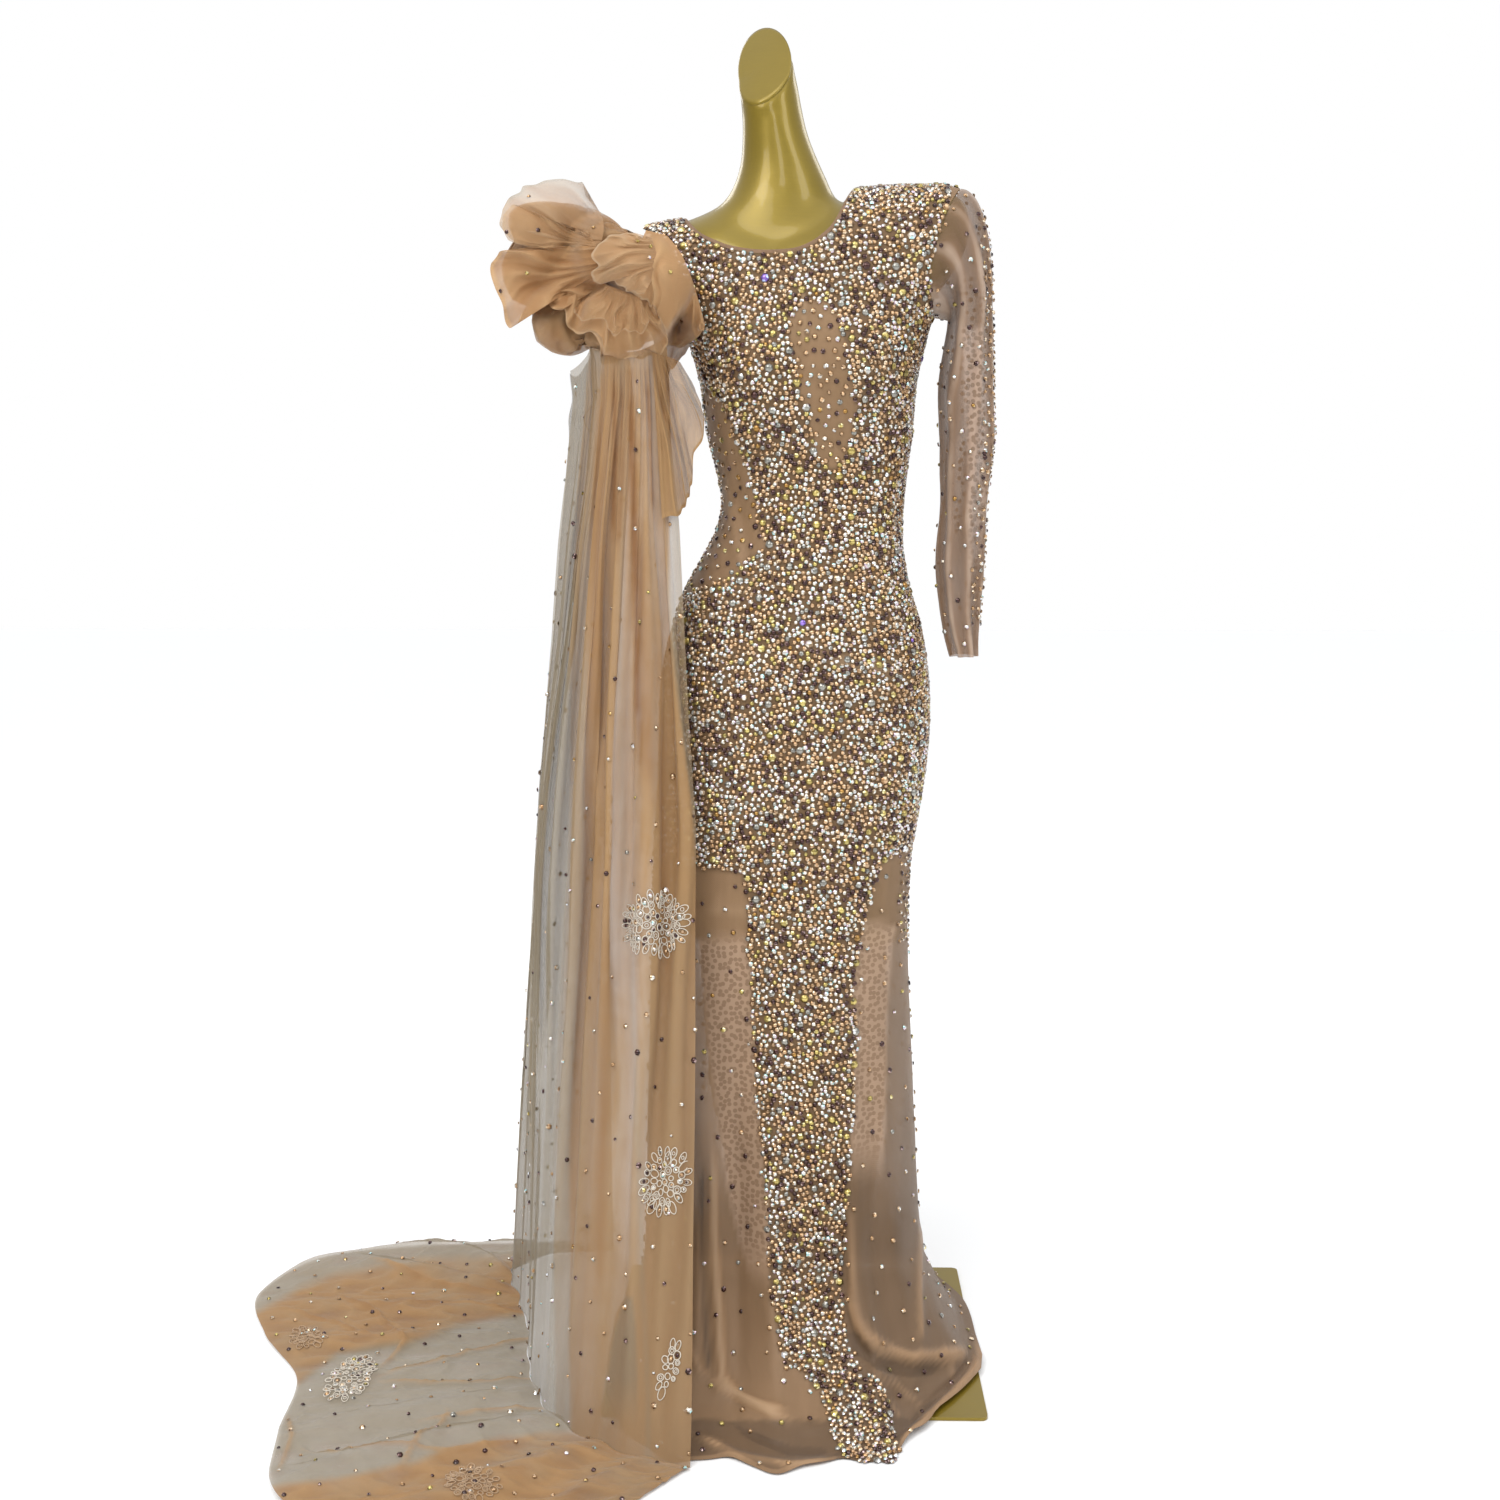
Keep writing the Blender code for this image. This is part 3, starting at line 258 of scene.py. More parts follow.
def stoneGlass(name, look):
    paint = Paint(bpy.data.materials.new(name))
    flaws = paint.noise(paint.node("ShaderNodeTexCoord")["Object"], look["flaws"], 2.0)
    return paint.finish({
        "Base Color": paint.attribute("facet", "Color"),
        "Metallic": look["metal"],
        "Roughness": flaws * look["roughened"] + look["rough"],
        "Coat Weight": look["coat"],
        "Coat Roughness": look["coatRough"],
        "Normal": paint.bump(flaws, *look["bump"]),
    })

def ramp(values, start, span):  # 0 up to the start and 1 past the span; a span below 0 runs the other way
    return np.clip((values - start) / span, 0, 1)

def smoothRead(places, values, at):  # a table read on a smooth curve through its rows
    places = np.asarray(places, float)
    values = np.asarray(values, float)
    slopes = np.gradient(values, places)
    at = np.clip(at, places[0], places[-1])
    row = np.clip(np.searchsorted(places, at, side="right") - 1, 0, len(places) - 2)
    span = places[row + 1] - places[row]
    t = (at - places[row]) / span
    start = (2 * t**3 - 3 * t**2 + 1) * values[row] + (t**3 - 2 * t**2 + t) * span * slopes[row]
    end = (3 * t**2 - 2 * t**3) * values[row + 1] + (t**3 - t**2) * span * slopes[row + 1]
    return start + end

def read(table, column, at, smooth=True):
    places = [row[0] for row in table]
    values = [row[column] for row in table]
    return smoothRead(places, values, at) if smooth else np.interp(at, places, values)

def finer(values, times):  # the same run of values in more steps
    count = len(values) - 1
    return np.interp(np.arange(count * times + 1) / times, np.arange(count + 1), values)

def unit(vectors):
    return vectors / np.maximum(np.linalg.norm(vectors, axis=-1, keepdims=True), 1e-12)

def gridNormals(points, closed=False, outward=1):
    if closed:
        around = np.roll(points, -1, axis=1) - np.roll(points, 1, axis=1)
    else:
        around = np.gradient(points, axis=1)
    return unit(np.cross(around, np.gradient(points, axis=0)) * outward)

def softNoise(places, scale, seed, octaves=3):  # smooth noise from turned sine waves, about -1 to 1
    draw = np.random.default_rng(seed)
    places = np.asarray(places, float)
    total = np.zeros(places.shape[:-1])
    weight = 0.0
    for octave in range(octaves):
        for _ in range(5):
            way = draw.normal(size=places.shape[-1])
            way *= 2 * math.pi / scale * 2**octave * draw.uniform(0.7, 1.3) / np.linalg.norm(way)
            total += np.sin(places @ way + draw.uniform(0, 2 * math.pi)) / 2**octave
        weight += 2.4 / 2**octave
    return total / weight

def newPiece(name, vertices, faces, material, uv=None, layers=None, smooth=True):
    mesh = bpy.data.meshes.new(name)
    sizes = faces.shape[1]
    mesh.vertices.add(len(vertices))
    mesh.vertices.foreach_set("co", np.asarray(vertices, np.float32).ravel())
    mesh.loops.add(faces.size)
    mesh.loops.foreach_set("vertex_index", faces.ravel().astype(np.int32))
    mesh.polygons.add(len(faces))
    mesh.polygons.foreach_set("loop_start", np.arange(0, faces.size, sizes, dtype=np.int32))
    mesh.update(calc_edges=True)
    mesh.validate()
    if uv is not None:
        mesh.uv_layers.new(name="cloth").data.foreach_set("uv", uv.ravel().astype(np.float32))
    for key, values in (layers or {}).items():
        mesh.attributes.new(key, "FLOAT", "POINT").data.foreach_set("value", np.asarray(values, np.float32).ravel())
    if smooth:
        mesh.shade_smooth()
    piece = bpy.data.objects.new(name, mesh)
    bpy.context.scene.collection.objects.link(piece)
    mesh.materials.append(material)
    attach(piece, "root")
    return piece

def gridPiece(name, points, material, closed=False, flip=False, layers=None):
    rows, columns = points.shape[:2]
    whole = np.concatenate((points, points[:, :1]), axis=1) if closed else points
    across = np.linalg.norm(np.diff(whole, axis=1), axis=2)
    up = np.linalg.norm(np.diff(whole, axis=0), axis=2)
    u = np.concatenate((np.zeros((rows, 1)), np.cumsum(across, axis=1)), axis=1)
    u = u - u[:, -1:] / 2
    v = np.concatenate((np.zeros((1, whole.shape[1])), np.cumsum(up, axis=0)), axis=0)
    flat = np.stack((u, v), axis=-1)
    last = whole.shape[1] - 1
    i, j = np.meshgrid(np.arange(rows - 1), np.arange(last), indexing="ij")
    right = (j + 1) % columns if closed else j + 1
    corners = [(i, j, j), (i, right, j + 1), (i + 1, right, j + 1), (i + 1, j, j)]
    if flip:
        corners = corners[::-1]
    faces = np.stack([r * columns + c for r, c, _ in corners], axis=-1).reshape(-1, 4)
    uv = np.stack([flat[r, place] for r, _, place in corners], axis=2).reshape(-1, 2)
    return newPiece(name, points.reshape(-1, 3), faces, material, uv, layers)

def clothSize(points):  # the widest run across a sheet, its mean run down it, and its area
    across = np.linalg.norm(np.diff(points, axis=1), axis=2).sum(axis=1).max()
    down = np.linalg.norm(np.diff(points, axis=0), axis=2).sum(axis=0).mean()
    crossed = np.cross(points[1:, 1:] - points[:-1, :-1], points[1:, :-1] - points[:-1, 1:])
    area = np.linalg.norm(crossed, axis=2).sum() / 2
    leastShare = 0.45
    across = min(across, area / (leastShare * down))  # a slanting fan is narrower than its edge is long
    return round(float(across), 3), round(float(down), 3), round(float(area), 4)

def creaseLift(points, creases):  # how far soft ridges and troughs along drawn lines lift each point
    flat = points.reshape(-1, points.shape[-1])
    total = np.zeros(len(flat))
    for height, width, line in creases:
        line = np.asarray(line, float)
        lengths = np.linalg.norm(np.diff(line, axis=0), axis=1)
        walked = np.concatenate(((0,), np.cumsum(lengths)))
        nearest = np.full(len(flat), 1e9)
        along = np.zeros(len(flat))
        for k in range(len(line) - 1):
            step = line[k + 1] - line[k]
            share = np.clip((flat - line[k]) @ step / (step @ step), 0, 1)
            gap = np.linalg.norm(flat - (line[k] + share[:, None] * step), axis=1)
            closer = gap < nearest
            nearest[closer] = gap[closer]
            along[closer] = (walked[k] + share * lengths[k])[closer] / walked[-1]
        taper = np.clip(np.sin(np.pi * np.clip(along, 0.04, 0.96)) * 2.5, 0, 1)
        total += height * taper * np.exp(-((nearest / width) ** 2))
    return total.reshape(points.shape[:-1])

# Camera, floor and light
studio = {
    "lens": 46.75, "sensor": 36.0, "cameraAt": (0.0, -2.424, 1.07), "pitch": 7.05, "yaw": 1.35,
    "clip": (0.05, 100.0), "clearLayers": 40, "floorSize": 30.0, "floorDown": 0.0004,
    "floorTint": (0.93, 0.93, 0.925),
    "skyTop": (1.15, 1.17, 1.2), "skySide": (0.42, 0.42, 0.42), "skyLow": (0.55, 0.54, 0.52), "skyStrength": 0.72,
    # turn, watts, angle
    "suns": (((38.0, 0.0, -28.0), 1.0, 40.0), ((30.0, 0.0, 40.0), 0.35, 60.0)),
    # place, what it points at, width, height, watts, tint
    "softboxes": (
        ((-1.6, -2.2, 2.9), (0, 0, 0.9), 1.0, 1.4, 20, (1.0, 0.98, 0.95)),
        ((2.0, -1.9, 2.5), (0, 0, 0.9), 0.8, 1.4, 14, (0.97, 0.98, 1.0)),
        ((0.1, -2.9, 2.6), (0, 0, 1.1), 0.5, 1.0, 7, (1.0, 1.0, 1.0)),
        ((-1.5, 2.3, 2.6), (0, 0, 1.0), 1.0, 1.4, 14, (1.0, 1.0, 1.0)),
        ((1.7, 2.2, 2.2), (0, 0, 1.0), 1.0, 1.4, 12, (1.0, 1.0, 1.0)),
    ),
    "photoSide": 1500,
}

def makeStudio():
    scene = bpy.context.scene
    scene.view_settings.view_transform = "Standard"
    scene.cycles.transparent_max_bounces = studio["clearLayers"]
    lens = bpy.data.cameras.new("camera")
    lens.lens = studio["lens"]
    lens.sensor_width = studio["sensor"]
    lens.clip_start, lens.clip_end = studio["clip"]
    camera = bpy.data.objects.new("camera", lens)
    camera.location = studio["cameraAt"]
    camera.rotation_euler = (math.radians(90 - studio["pitch"]), 0, math.radians(studio["yaw"]))
    scene.collection.objects.link(camera)
    scene.camera = camera
    half = studio["floorSize"] / 2
    floor = bpy.data.meshes.new("floor")
    corners = [(x * half, y * half, -studio["floorDown"]) for x, y in ((-1, -1), (1, -1), (1, 1), (-1, 1))]
    floor.from_pydata(corners, [], [(0, 1, 2, 3)])
    floorPiece = bpy.data.objects.new("floor", floor)
    scene.collection.objects.link(floorPiece)
    paint = Paint(bpy.data.materials.new("floor"))
    floor.materials.append(paint.finish({"Base Color": studio["floorTint"], "Roughness": 0.9}))
    world = bpy.data.worlds.new("studio")
    scene.world = world
    sky = Paint(world)
    height = sky.node("ShaderNodeSeparateXYZ", {}, {0: sky.node("ShaderNodeTexCoord")["Generated"]})["Z"]
    stops = ((0.0, studio["skyLow"]), (0.5, studio["skySide"]), (0.85, studio["skyTop"]))
    tint = sky.node("ShaderNodeValToRGB", {"stops": stops}, {"Fac": height * 0.5 + 0.5})["Color"]
    seen = sky.node("ShaderNodeLightPath")["Is Camera Ray"]
    background = sky.tree.nodes["Background"]
    sky.feed(background.inputs["Color"], sky.mix(seen, tint, (1.0, 1.0, 1.0)))
    sky.feed(background.inputs["Strength"], seen * (1 - studio["skyStrength"]) + studio["skyStrength"])
    for k, (turn, watts, angle) in enumerate(studio["suns"]):
        glow = bpy.data.lights.new(f"daylight{k}", "SUN")
        glow.energy = watts
        glow.angle = math.radians(angle)
        window = bpy.data.objects.new(f"daylight{k}", glow)
        window.rotation_euler = [math.radians(part) for part in turn]
        scene.collection.objects.link(window)
    for k, (place, target, width, tall, watts, tint) in enumerate(studio["softboxes"]):
        lamp = bpy.data.lights.new(f"softbox{k}", "AREA")
        lamp.shape = "RECTANGLE"
        lamp.size = width
        lamp.size_y = tall
        lamp.energy = watts
        lamp.color = tint
        box = bpy.data.objects.new(f"softbox{k}", lamp)
        box.location = place
        box.rotation_euler = (Vector(target) - Vector(place)).to_track_quat("-Z", "Y").to_euler()
        box.visible_camera = False
        scene.collection.objects.link(box)

makeStudio()
print("studio set")

def photoFrame():  # the camera's place, its three axes as columns, and its focal length in the photo's pixels
    turn = (math.radians(90 - studio["pitch"]), 0, math.radians(studio["yaw"]))
    focal = studio["lens"] / studio["sensor"] * studio["photoSide"]
    return np.array(studio["cameraAt"]), np.array(Euler(turn).to_matrix()), focal

def seenAt(points):  # the pixel of the photo at which each point shows
    place, axes, focal = photoFrame()
    local = (points - place) @ axes
    half = studio["photoSide"] / 2
    across, down = half - focal * local[..., 0] / local[..., 2], half + focal * local[..., 1] / local[..., 2]
    return np.stack((across, down), axis=-1)

def wayTo(pixels):  # the direction from the camera through each pixel, one metre deep
    _, axes, focal = photoFrame()
    half = studio["photoSide"] / 2
    pixels = np.asarray(pixels, float)
    across, up = (pixels[..., 0] - half) / focal, (half - pixels[..., 1]) / focal
    local = np.stack((across, up, -np.ones(across.shape)), axis=-1)
    ways = local @ axes.T
    return ways / ways[..., 1:2]

def atDepth(pixels, y):  # the points at a depth that show at these pixels
    place = photoFrame()[0]
    return place + wayTo(pixels) * (y - place[1])[..., None]

# The gown's cut, as the solids have it: height, left, right, front, back, squareness of the section
gown = {
    "wall": 0.0016, "seam": 0.0003, "edgeGap": 0.0006, "underarm": 1.3, "highest": 1.47, "shoulderRound": 0.07,
    "outline": (
        (0.0051, -0.236, 0.236, 0.345, 0.262, 3.0), (0.008, -0.228, 0.228, 0.315, 0.245, 2.9),
        (0.016, -0.22, 0.218, 0.28, 0.228, 2.8), (0.035, -0.211, 0.206, 0.238, 0.208, 2.7),
        (0.065, -0.202, 0.19, 0.2, 0.188, 2.6), (0.12, -0.193, 0.166, 0.165, 0.165, 2.5),
        (0.2, -0.19, 0.158, 0.14, 0.146, 2.4), (0.3, -0.188, 0.153, 0.126, 0.133, 2.4),
        (0.4, -0.185, 0.147, 0.119, 0.122, 2.4), (0.515, -0.182, 0.142, 0.114, 0.115, 2.4),
        (0.63, -0.1755, 0.143, 0.112, 0.112, 2.4), (0.707, -0.171, 0.154, 0.112, 0.116, 2.35),
        (0.783, -0.168, 0.163, 0.11, 0.122, 2.3), (0.858, -0.165, 0.163, 0.108, 0.126, 2.3),
        (0.933, -0.149, 0.1505, 0.104, 0.117, 2.3), (0.97, -0.137, 0.139, 0.101, 0.108, 2.3),
        (1.0075, -0.1165, 0.131, 0.096, 0.098, 2.3), (1.0445, -0.0975, 0.1285, 0.092, 0.09, 2.3),
        (1.081, -0.09, 0.13, 0.09, 0.086, 2.3), (1.118, -0.0965, 0.134, 0.093, 0.087, 2.3),
        (1.154, -0.106, 0.139, 0.099, 0.091, 2.3), (1.191, -0.111, 0.142, 0.104, 0.096, 2.3),
        (1.227, -0.1165, 0.145, 0.107, 0.1, 2.3), (1.263, -0.126, 0.153, 0.107, 0.102, 2.3),
        (1.3, -0.1416, 0.164, 0.104, 0.102, 2.3), (1.33, -0.17, 0.186, 0.1, 0.1, 2.3),
        (1.36, -0.192, 0.203, 0.094, 0.096, 2.3), (1.39, -0.202, 0.214, 0.088, 0.091, 2.3),
        (1.42, -0.204, 0.218, 0.082, 0.086, 2.3), (1.46, -0.204, 0.218, 0.076, 0.08, 2.3),
    ),
    "levels": (
        0.0051, 0.008, 0.016, 0.035, 0.065, 0.12, 0.2, 0.29, 0.39, 0.5, 0.61, 0.71, 0.8, 0.88, 0.95,
        1.015, 1.08, 1.14, 1.2, 1.25, 1.3,
    ),
    "levelTimes": 10, "bodiceRows": 44, "columns": (20, 56, 28),
    # height, left, right
    "armhole": (
        (1.3, -0.1416, 0.164), (1.318, -0.137, 0.159), (1.345, -0.136, 0.157), (1.37, -0.143, 0.161),
        (1.39, -0.158, 0.166), (1.41, -0.188, 0.173), (1.435, -0.188, 0.184), (1.456, -0.188, 0.198),
    ),
    "chest": ((1.3, -0.1416, 0.164), (1.41, -0.188, 0.186), (1.456, -0.188, 0.198)),
    # across, height
    "shoulder": (
        (-0.204, 1.388), (-0.196, 1.404), (-0.175, 1.413), (-0.14, 1.418), (0.073, 1.4525), (0.13, 1.456),
        (0.18, 1.4575), (0.205, 1.452), (0.218, 1.436),
    ),
    "neckPoints": (-0.14, 0.073),
    # across, front, back
    "neckline": (
        (-0.14, 1.418, 1.418), (-0.128, 1.401, 1.411), (-0.0965, 1.379, 1.405), (-0.06, 1.368, 1.403),
        (-0.0255, 1.366, 1.405), (0.008, 1.371, 1.412), (0.0305, 1.384, 1.421), (0.05, 1.406, 1.433),
        (0.064, 1.436, 1.445), (0.073, 1.4525, 1.4525),
    ),
    "bust": {"apart": 0.072, "height": 1.238, "out": 0.019, "wide": 0.052, "tall": 0.058},
    # knee, hem, out, width
    "frontFolds": (
        (0.1, 0.08, 0.02, 0.05), (0.24, 0.2, 0.026, 0.045), (0.36, 0.34, -0.014, 0.04), (0.5, 0.46, 0.022, 0.05),
        (0.64, 0.62, -0.016, 0.045), (0.74, 0.78, 0.03, 0.04), (0.88, 0.92, 0.026, 0.045),
    ),
    "backFolds": (
        (0.14, 0.12, 0.022, 0.055), (0.32, 0.3, -0.014, 0.05), (0.48, 0.5, 0.026, 0.06), (0.68, 0.7, -0.014, 0.05),
        (0.86, 0.88, 0.022, 0.055),
    ),
    "foldsFrom": 0.62, "foldsGrow": 1.3, "topSteps": 1500,
    # columns are closer at the armholes and at the neck's two ends
    "closerLeft": 1.8, "closerRight": 1.6,
    # how far the hem's front right is drawn in and back, and from where and over what: across, deep, height
    "hemDrawn": (0.04, 0.022), "drawnIn": ((0.08, 0.1), (-0.1, -0.14), (0.16, -0.14)),
    # how far past the plate the hem sinks to the floor, and how low the cloth has to be for that
    "baseHalf": 0.23, "baseThick": 0.004, "sinks": (0.025, 0.04), "sinksBelow": (0.03, -0.022),
}

def shoulderHeight(x, table=gown["shoulder"]):
    return read(table, 1, x, smooth=False)

def depthAt(x, z, outline, shoulder, side, ease):
    left = read(outline, 1, z)
    right = read(outline, 2, z)
    square = read(gown["outline"], 5, z)
    deep = read(gown["outline"], 3 if side == "front" else 4, z) - ease
    middle = (left + right) / 2
    t = np.clip(np.abs(x - middle) / ((right - left) / 2), 0, 1)
    deep = deep * (1 - t**square) ** (1 / square)
    below = np.clip((shoulderHeight(x, shoulder) - z) / gown["shoulderRound"], 0, 1)
    deep = deep * np.sqrt(1 - (1 - below) ** 2)
    if side == "front":
        bust = gown["bust"]
        for x0 in (middle - bust["apart"], middle + bust["apart"]):
            spread = ((x - x0) / bust["wide"]) ** 2 + ((z - bust["height"]) / bust["tall"]) ** 2
            deep = deep + bust["out"] * np.exp(-spread) * (1 - t**4)
    return deep

def neckShares():
    shares = []
    for x in gown["neckPoints"]:
        z = shoulderHeight(x)
        left, right = (read(gown["chest"], k, z, smooth=False) for k in (1, 2))
        shares.append((x - left) / (right - left))
    return shares

def panelAcross(shares, z):
    neckLeft, neckRight = neckShares()
    below = []
    above = []
    for column, weight in (
        (1, ramp(shares, neckLeft, -neckLeft) ** 1.5), (2, ramp(shares, neckRight, 1 - neckRight) ** 1.5),
    ):
        chest = read(gown["chest"], column, z, smooth=False)
        hole = read(gown["armhole"], column, z, smooth=False)
        below.append(read(gown["outline"], column, z))
        above.append((chest, (hole - chest) * weight))
    seamed = below[0] + (below[1] - below[0]) * shares
    cut = above[0][0] + (above[1][0] - above[0][0]) * shares + above[0][1] + above[1][1]
    return np.where(z > gown["underarm"], cut, seamed)

def panelTop(x, side):
    neckline = read(gown["neckline"], 1 if side == "front" else 2, x)
    inside = (x > gown["neckPoints"][0]) & (x < gown["neckPoints"][1])
    return np.where(inside, neckline, shoulderHeight(x))

def panelShares():
    neckLeft, neckRight = neckShares()
    leftCount, neckCount, rightCount = gown["columns"]
    left = neckLeft * np.linspace(0, 1, leftCount + 1) ** gown["closerLeft"]
    turn = (1 - np.cos(np.linspace(0, np.pi, neckCount + 1))) / 2
    neck = neckLeft + (neckRight - neckLeft) * turn
    right = 1 - (1 - neckRight) * np.linspace(1, 0, rightCount + 1) ** gown["closerRight"]
    return np.concatenate((left, neck[1:], right[1:]))

def panelGrid(side):
    shares = panelShares()
    neckLeft, neckRight = neckShares()
    steps = np.linspace(gown["underarm"] + 0.02, gown["highest"], gown["topSteps"])
    tops = []
    for share in shares:
        across = panelAcross(share, steps)
        seam = share <= neckLeft or share >= neckRight
        top = shoulderHeight(across) if seam else panelTop(across, side)
        tops.append(steps[np.argmax(steps > top)])
    tops = np.array(tops)
    levels = finer(gown["levels"], gown["levelTimes"])
    rows = [np.full(len(shares), z) for z in levels]
    for k in range(1, gown["bodiceRows"] + 1):
        rows.append(gown["underarm"] + (tops - gown["underarm"]) * np.sin(k / gown["bodiceRows"] * np.pi / 2))
    heights = np.array(rows)
    across = panelAcross(shares, heights)
    sign = -1 if side == "front" else 1
    deep = depthAt(across, heights, gown["outline"], gown["shoulder"], side, 0.0)
    share = ramp(heights, gown["foldsFrom"], -gown["foldsFrom"])
    folds = np.zeros_like(heights)
    for knee, hem, out, width in gown[side + "Folds"]:
        off = shares - knee - (hem - knee) * share
        folds += out * share ** gown["foldsGrow"] * np.exp(-((off / width) ** 2))
    deep = deep + folds * np.clip(np.sin(np.pi * shares), 0, 1) ** 0.5
    seamed = np.zeros_like(deep, bool)
    seamed[:len(levels), [0, -1]] = True
    seamed[-1] = (shares <= neckLeft) | (shares >= neckRight)
    deep = np.where(seamed, gown["seam"] / 2, np.maximum(deep, gown["seam"] / 2))
    points = np.stack((across, sign * deep, heights), axis=-1)
    normals = gridNormals(points, outward=-sign)
    normals[seamed, 1] = 0
    normals[-1, :, :2] = np.where(seamed[-1][:, None], 0, normals[-1, :, :2])
    normals[:len(levels), 0] = (-1, 0, 0)
    normals[:len(levels), -1] = (1, 0, 0)
    across, deep, high = gown["drawnIn"]
    drawnIn = ramp(points[..., 0], *across) * ramp(points[..., 1], *deep) * ramp(heights, *high) ** 1.5
    points[..., 0] -= gown["hemDrawn"][0] * drawnIn
    points[..., 1] += gown["hemDrawn"][1] * drawnIn
    past = np.maximum(np.abs(points[..., 0]), np.abs(points[..., 1])) - gown["baseHalf"]
    sunk = ramp(past, *gown["sinks"])
    points[..., 2] -= gown["baseThick"] * sunk**2 * (3 - 2 * sunk) * ramp(heights, *gown["sinksBelow"])
    return points, unit(normals)

def armholeRing(front, back, column):  # underarm, up the front edge, shoulder tip, down the back
    first = len(finer(gown["levels"], gown["levelTimes"])) - 1
    ring = []
    for part in (0, 1):
        up = front[part][first:, column]
        down = back[part][first:, column][::-1]
        ring.append(np.vstack(((up[0] + down[-1]) / 2, up[1:-1], (up[-1] + down[0]) / 2, down[1:-1])))
    return ring[0], unit(ring[1])

# The form inside, its outline where it isn't the gown's own
form = {
    "ease": 0.0042, "bottomDepth": 0.9, "sides": 54, "neckSides": 72, "voxel": 0.0058,
    # height, left, right
    "outline": (
        (0.531, -0.118, 0.126), (0.54, -0.135, 0.134), (0.575, -0.146, 0.137), (0.66, -0.158, 0.142),
        (0.74, -0.163, 0.152), (0.8, -0.163, 0.158), (0.86, -0.158, 0.158), (0.91, -0.142, 0.149),
        (0.95, -0.112, 0.139), (0.985, -0.084, 0.129), (1.02, -0.074, 0.124), (1.081, -0.083, 0.125),
        (1.154, -0.101, 0.134), (1.227, -0.112, 0.14), (1.263, -0.12, 0.147), (1.3, -0.134, 0.156),
        (1.33, -0.156, 0.172), (1.36, -0.181, 0.193), (1.39, -0.196, 0.208), (1.42, -0.199, 0.213),
        (1.46, -0.199, 0.213),
    ),
    "levels": (
        0.531, 0.54, 0.575, 0.66, 0.74, 0.8, 0.86, 0.91, 0.95, 0.985, 1.02, 1.081, 1.13, 1.18, 1.227, 1.263, 1.3,
    ),
    # across, height
    "shoulder": (
        (-0.199, 1.383), (-0.191, 1.399), (-0.17, 1.4085), (-0.15, 1.414), (-0.13, 1.419), (-0.112, 1.427),
        (-0.095, 1.433), (-0.06, 1.42), (-0.03, 1.41), (0.05, 1.432), (0.09, 1.4465), (0.13, 1.4515), (0.18, 1.453),
        (0.204, 1.447), (0.213, 1.432),
    ),
    # height, left, right, front, back
    "neck": (
        (1.35, -0.11, 0.05, 0.066, 0.07), (1.385, -0.112, 0.052, 0.064, 0.068), (1.41, -0.108, 0.052, 0.06, 0.064),
        (1.43, -0.096, 0.05, 0.055, 0.06), (1.45, -0.082, 0.044, 0.05, 0.056),
        (1.4765, -0.0705, 0.0305, 0.045, 0.051), (1.512, -0.0665, 0.015, 0.042, 0.048),
        (1.582, -0.07, -0.001, 0.04, 0.045),
    ),
    "levelTimes": 5, "shoulderRows": 30, "neckRings": 40,
    "capAxis": -0.0355, "capHeight": 1.598, "capRiseBack": 1.12, "capRiseAcross": 0.55, "capTaper": 0.24,
    # rings from this one on are kept this far under the cap, and more below it
    "capFrom": 20, "underCap": 0.004, "underCapMore": 0.4,
    # how far a place is smoothed: all of it in the first steps, then only about the neck's joint
    "smoothSteps": 44, "wholeSteps": 6, "whole": 0.9, "joint": (1.425, 0.035), "jointDeep": 0.09, "capKept": 0.013,
    "capAbove": 1.5,
    # the cap's disc, with a small bevelled lip: share of the cap's ring, rise
    "disc": ((1.0, -0.0035), (1.012, -0.001), (1.0, 0.0008), (0.94, 0.0014)),
}

def formSide(side):
    shares = (1 - np.cos(np.linspace(0, np.pi, form["sides"] + 1))) / 2
    tops = np.full(len(shares), max(row[1] for row in form["shoulder"]))

    def acrossAt(z):
        left = read(form["outline"], 1, z)
        return left + (read(form["outline"], 2, z) - left) * shares

    for _ in range(12):
        tops = shoulderHeight(acrossAt(tops), form["shoulder"])
    rows = [np.full(len(shares), z) for z in finer(form["levels"], form["levelTimes"])]
    for k in range(1, form["shoulderRows"] + 1):
        rows.append(gown["underarm"] + (tops - gown["underarm"]) * np.sin(k / form["shoulderRows"] * np.pi / 2))
    heights = np.array(rows)
    across = acrossAt(heights)
    deep = depthAt(across, heights, form["outline"], form["shoulder"], side, form["ease"])
    deep[0] *= form["bottomDepth"]
    deep[:, [0, -1]] = 0
    deep[-1] = 0
    return np.stack((across, (-deep if side == "front" else deep), heights), axis=-1)

def capPlane(x, y):
    return form["capHeight"] + form["capRiseBack"] * y + form["capRiseAcross"] * (x - form["capAxis"])

def neckRing(left, right, front, back, height):
    turn = np.linspace(0, 2 * np.pi, form["neckSides"], endpoint=False)
    x = (left + right) / 2 + (right - left) / 2 * np.cos(turn)
    y = np.where(np.sin(turn) < 0, front, back) * np.sin(turn)
    return np.stack((x, y, np.full(form["neckSides"], height)), axis=-1)

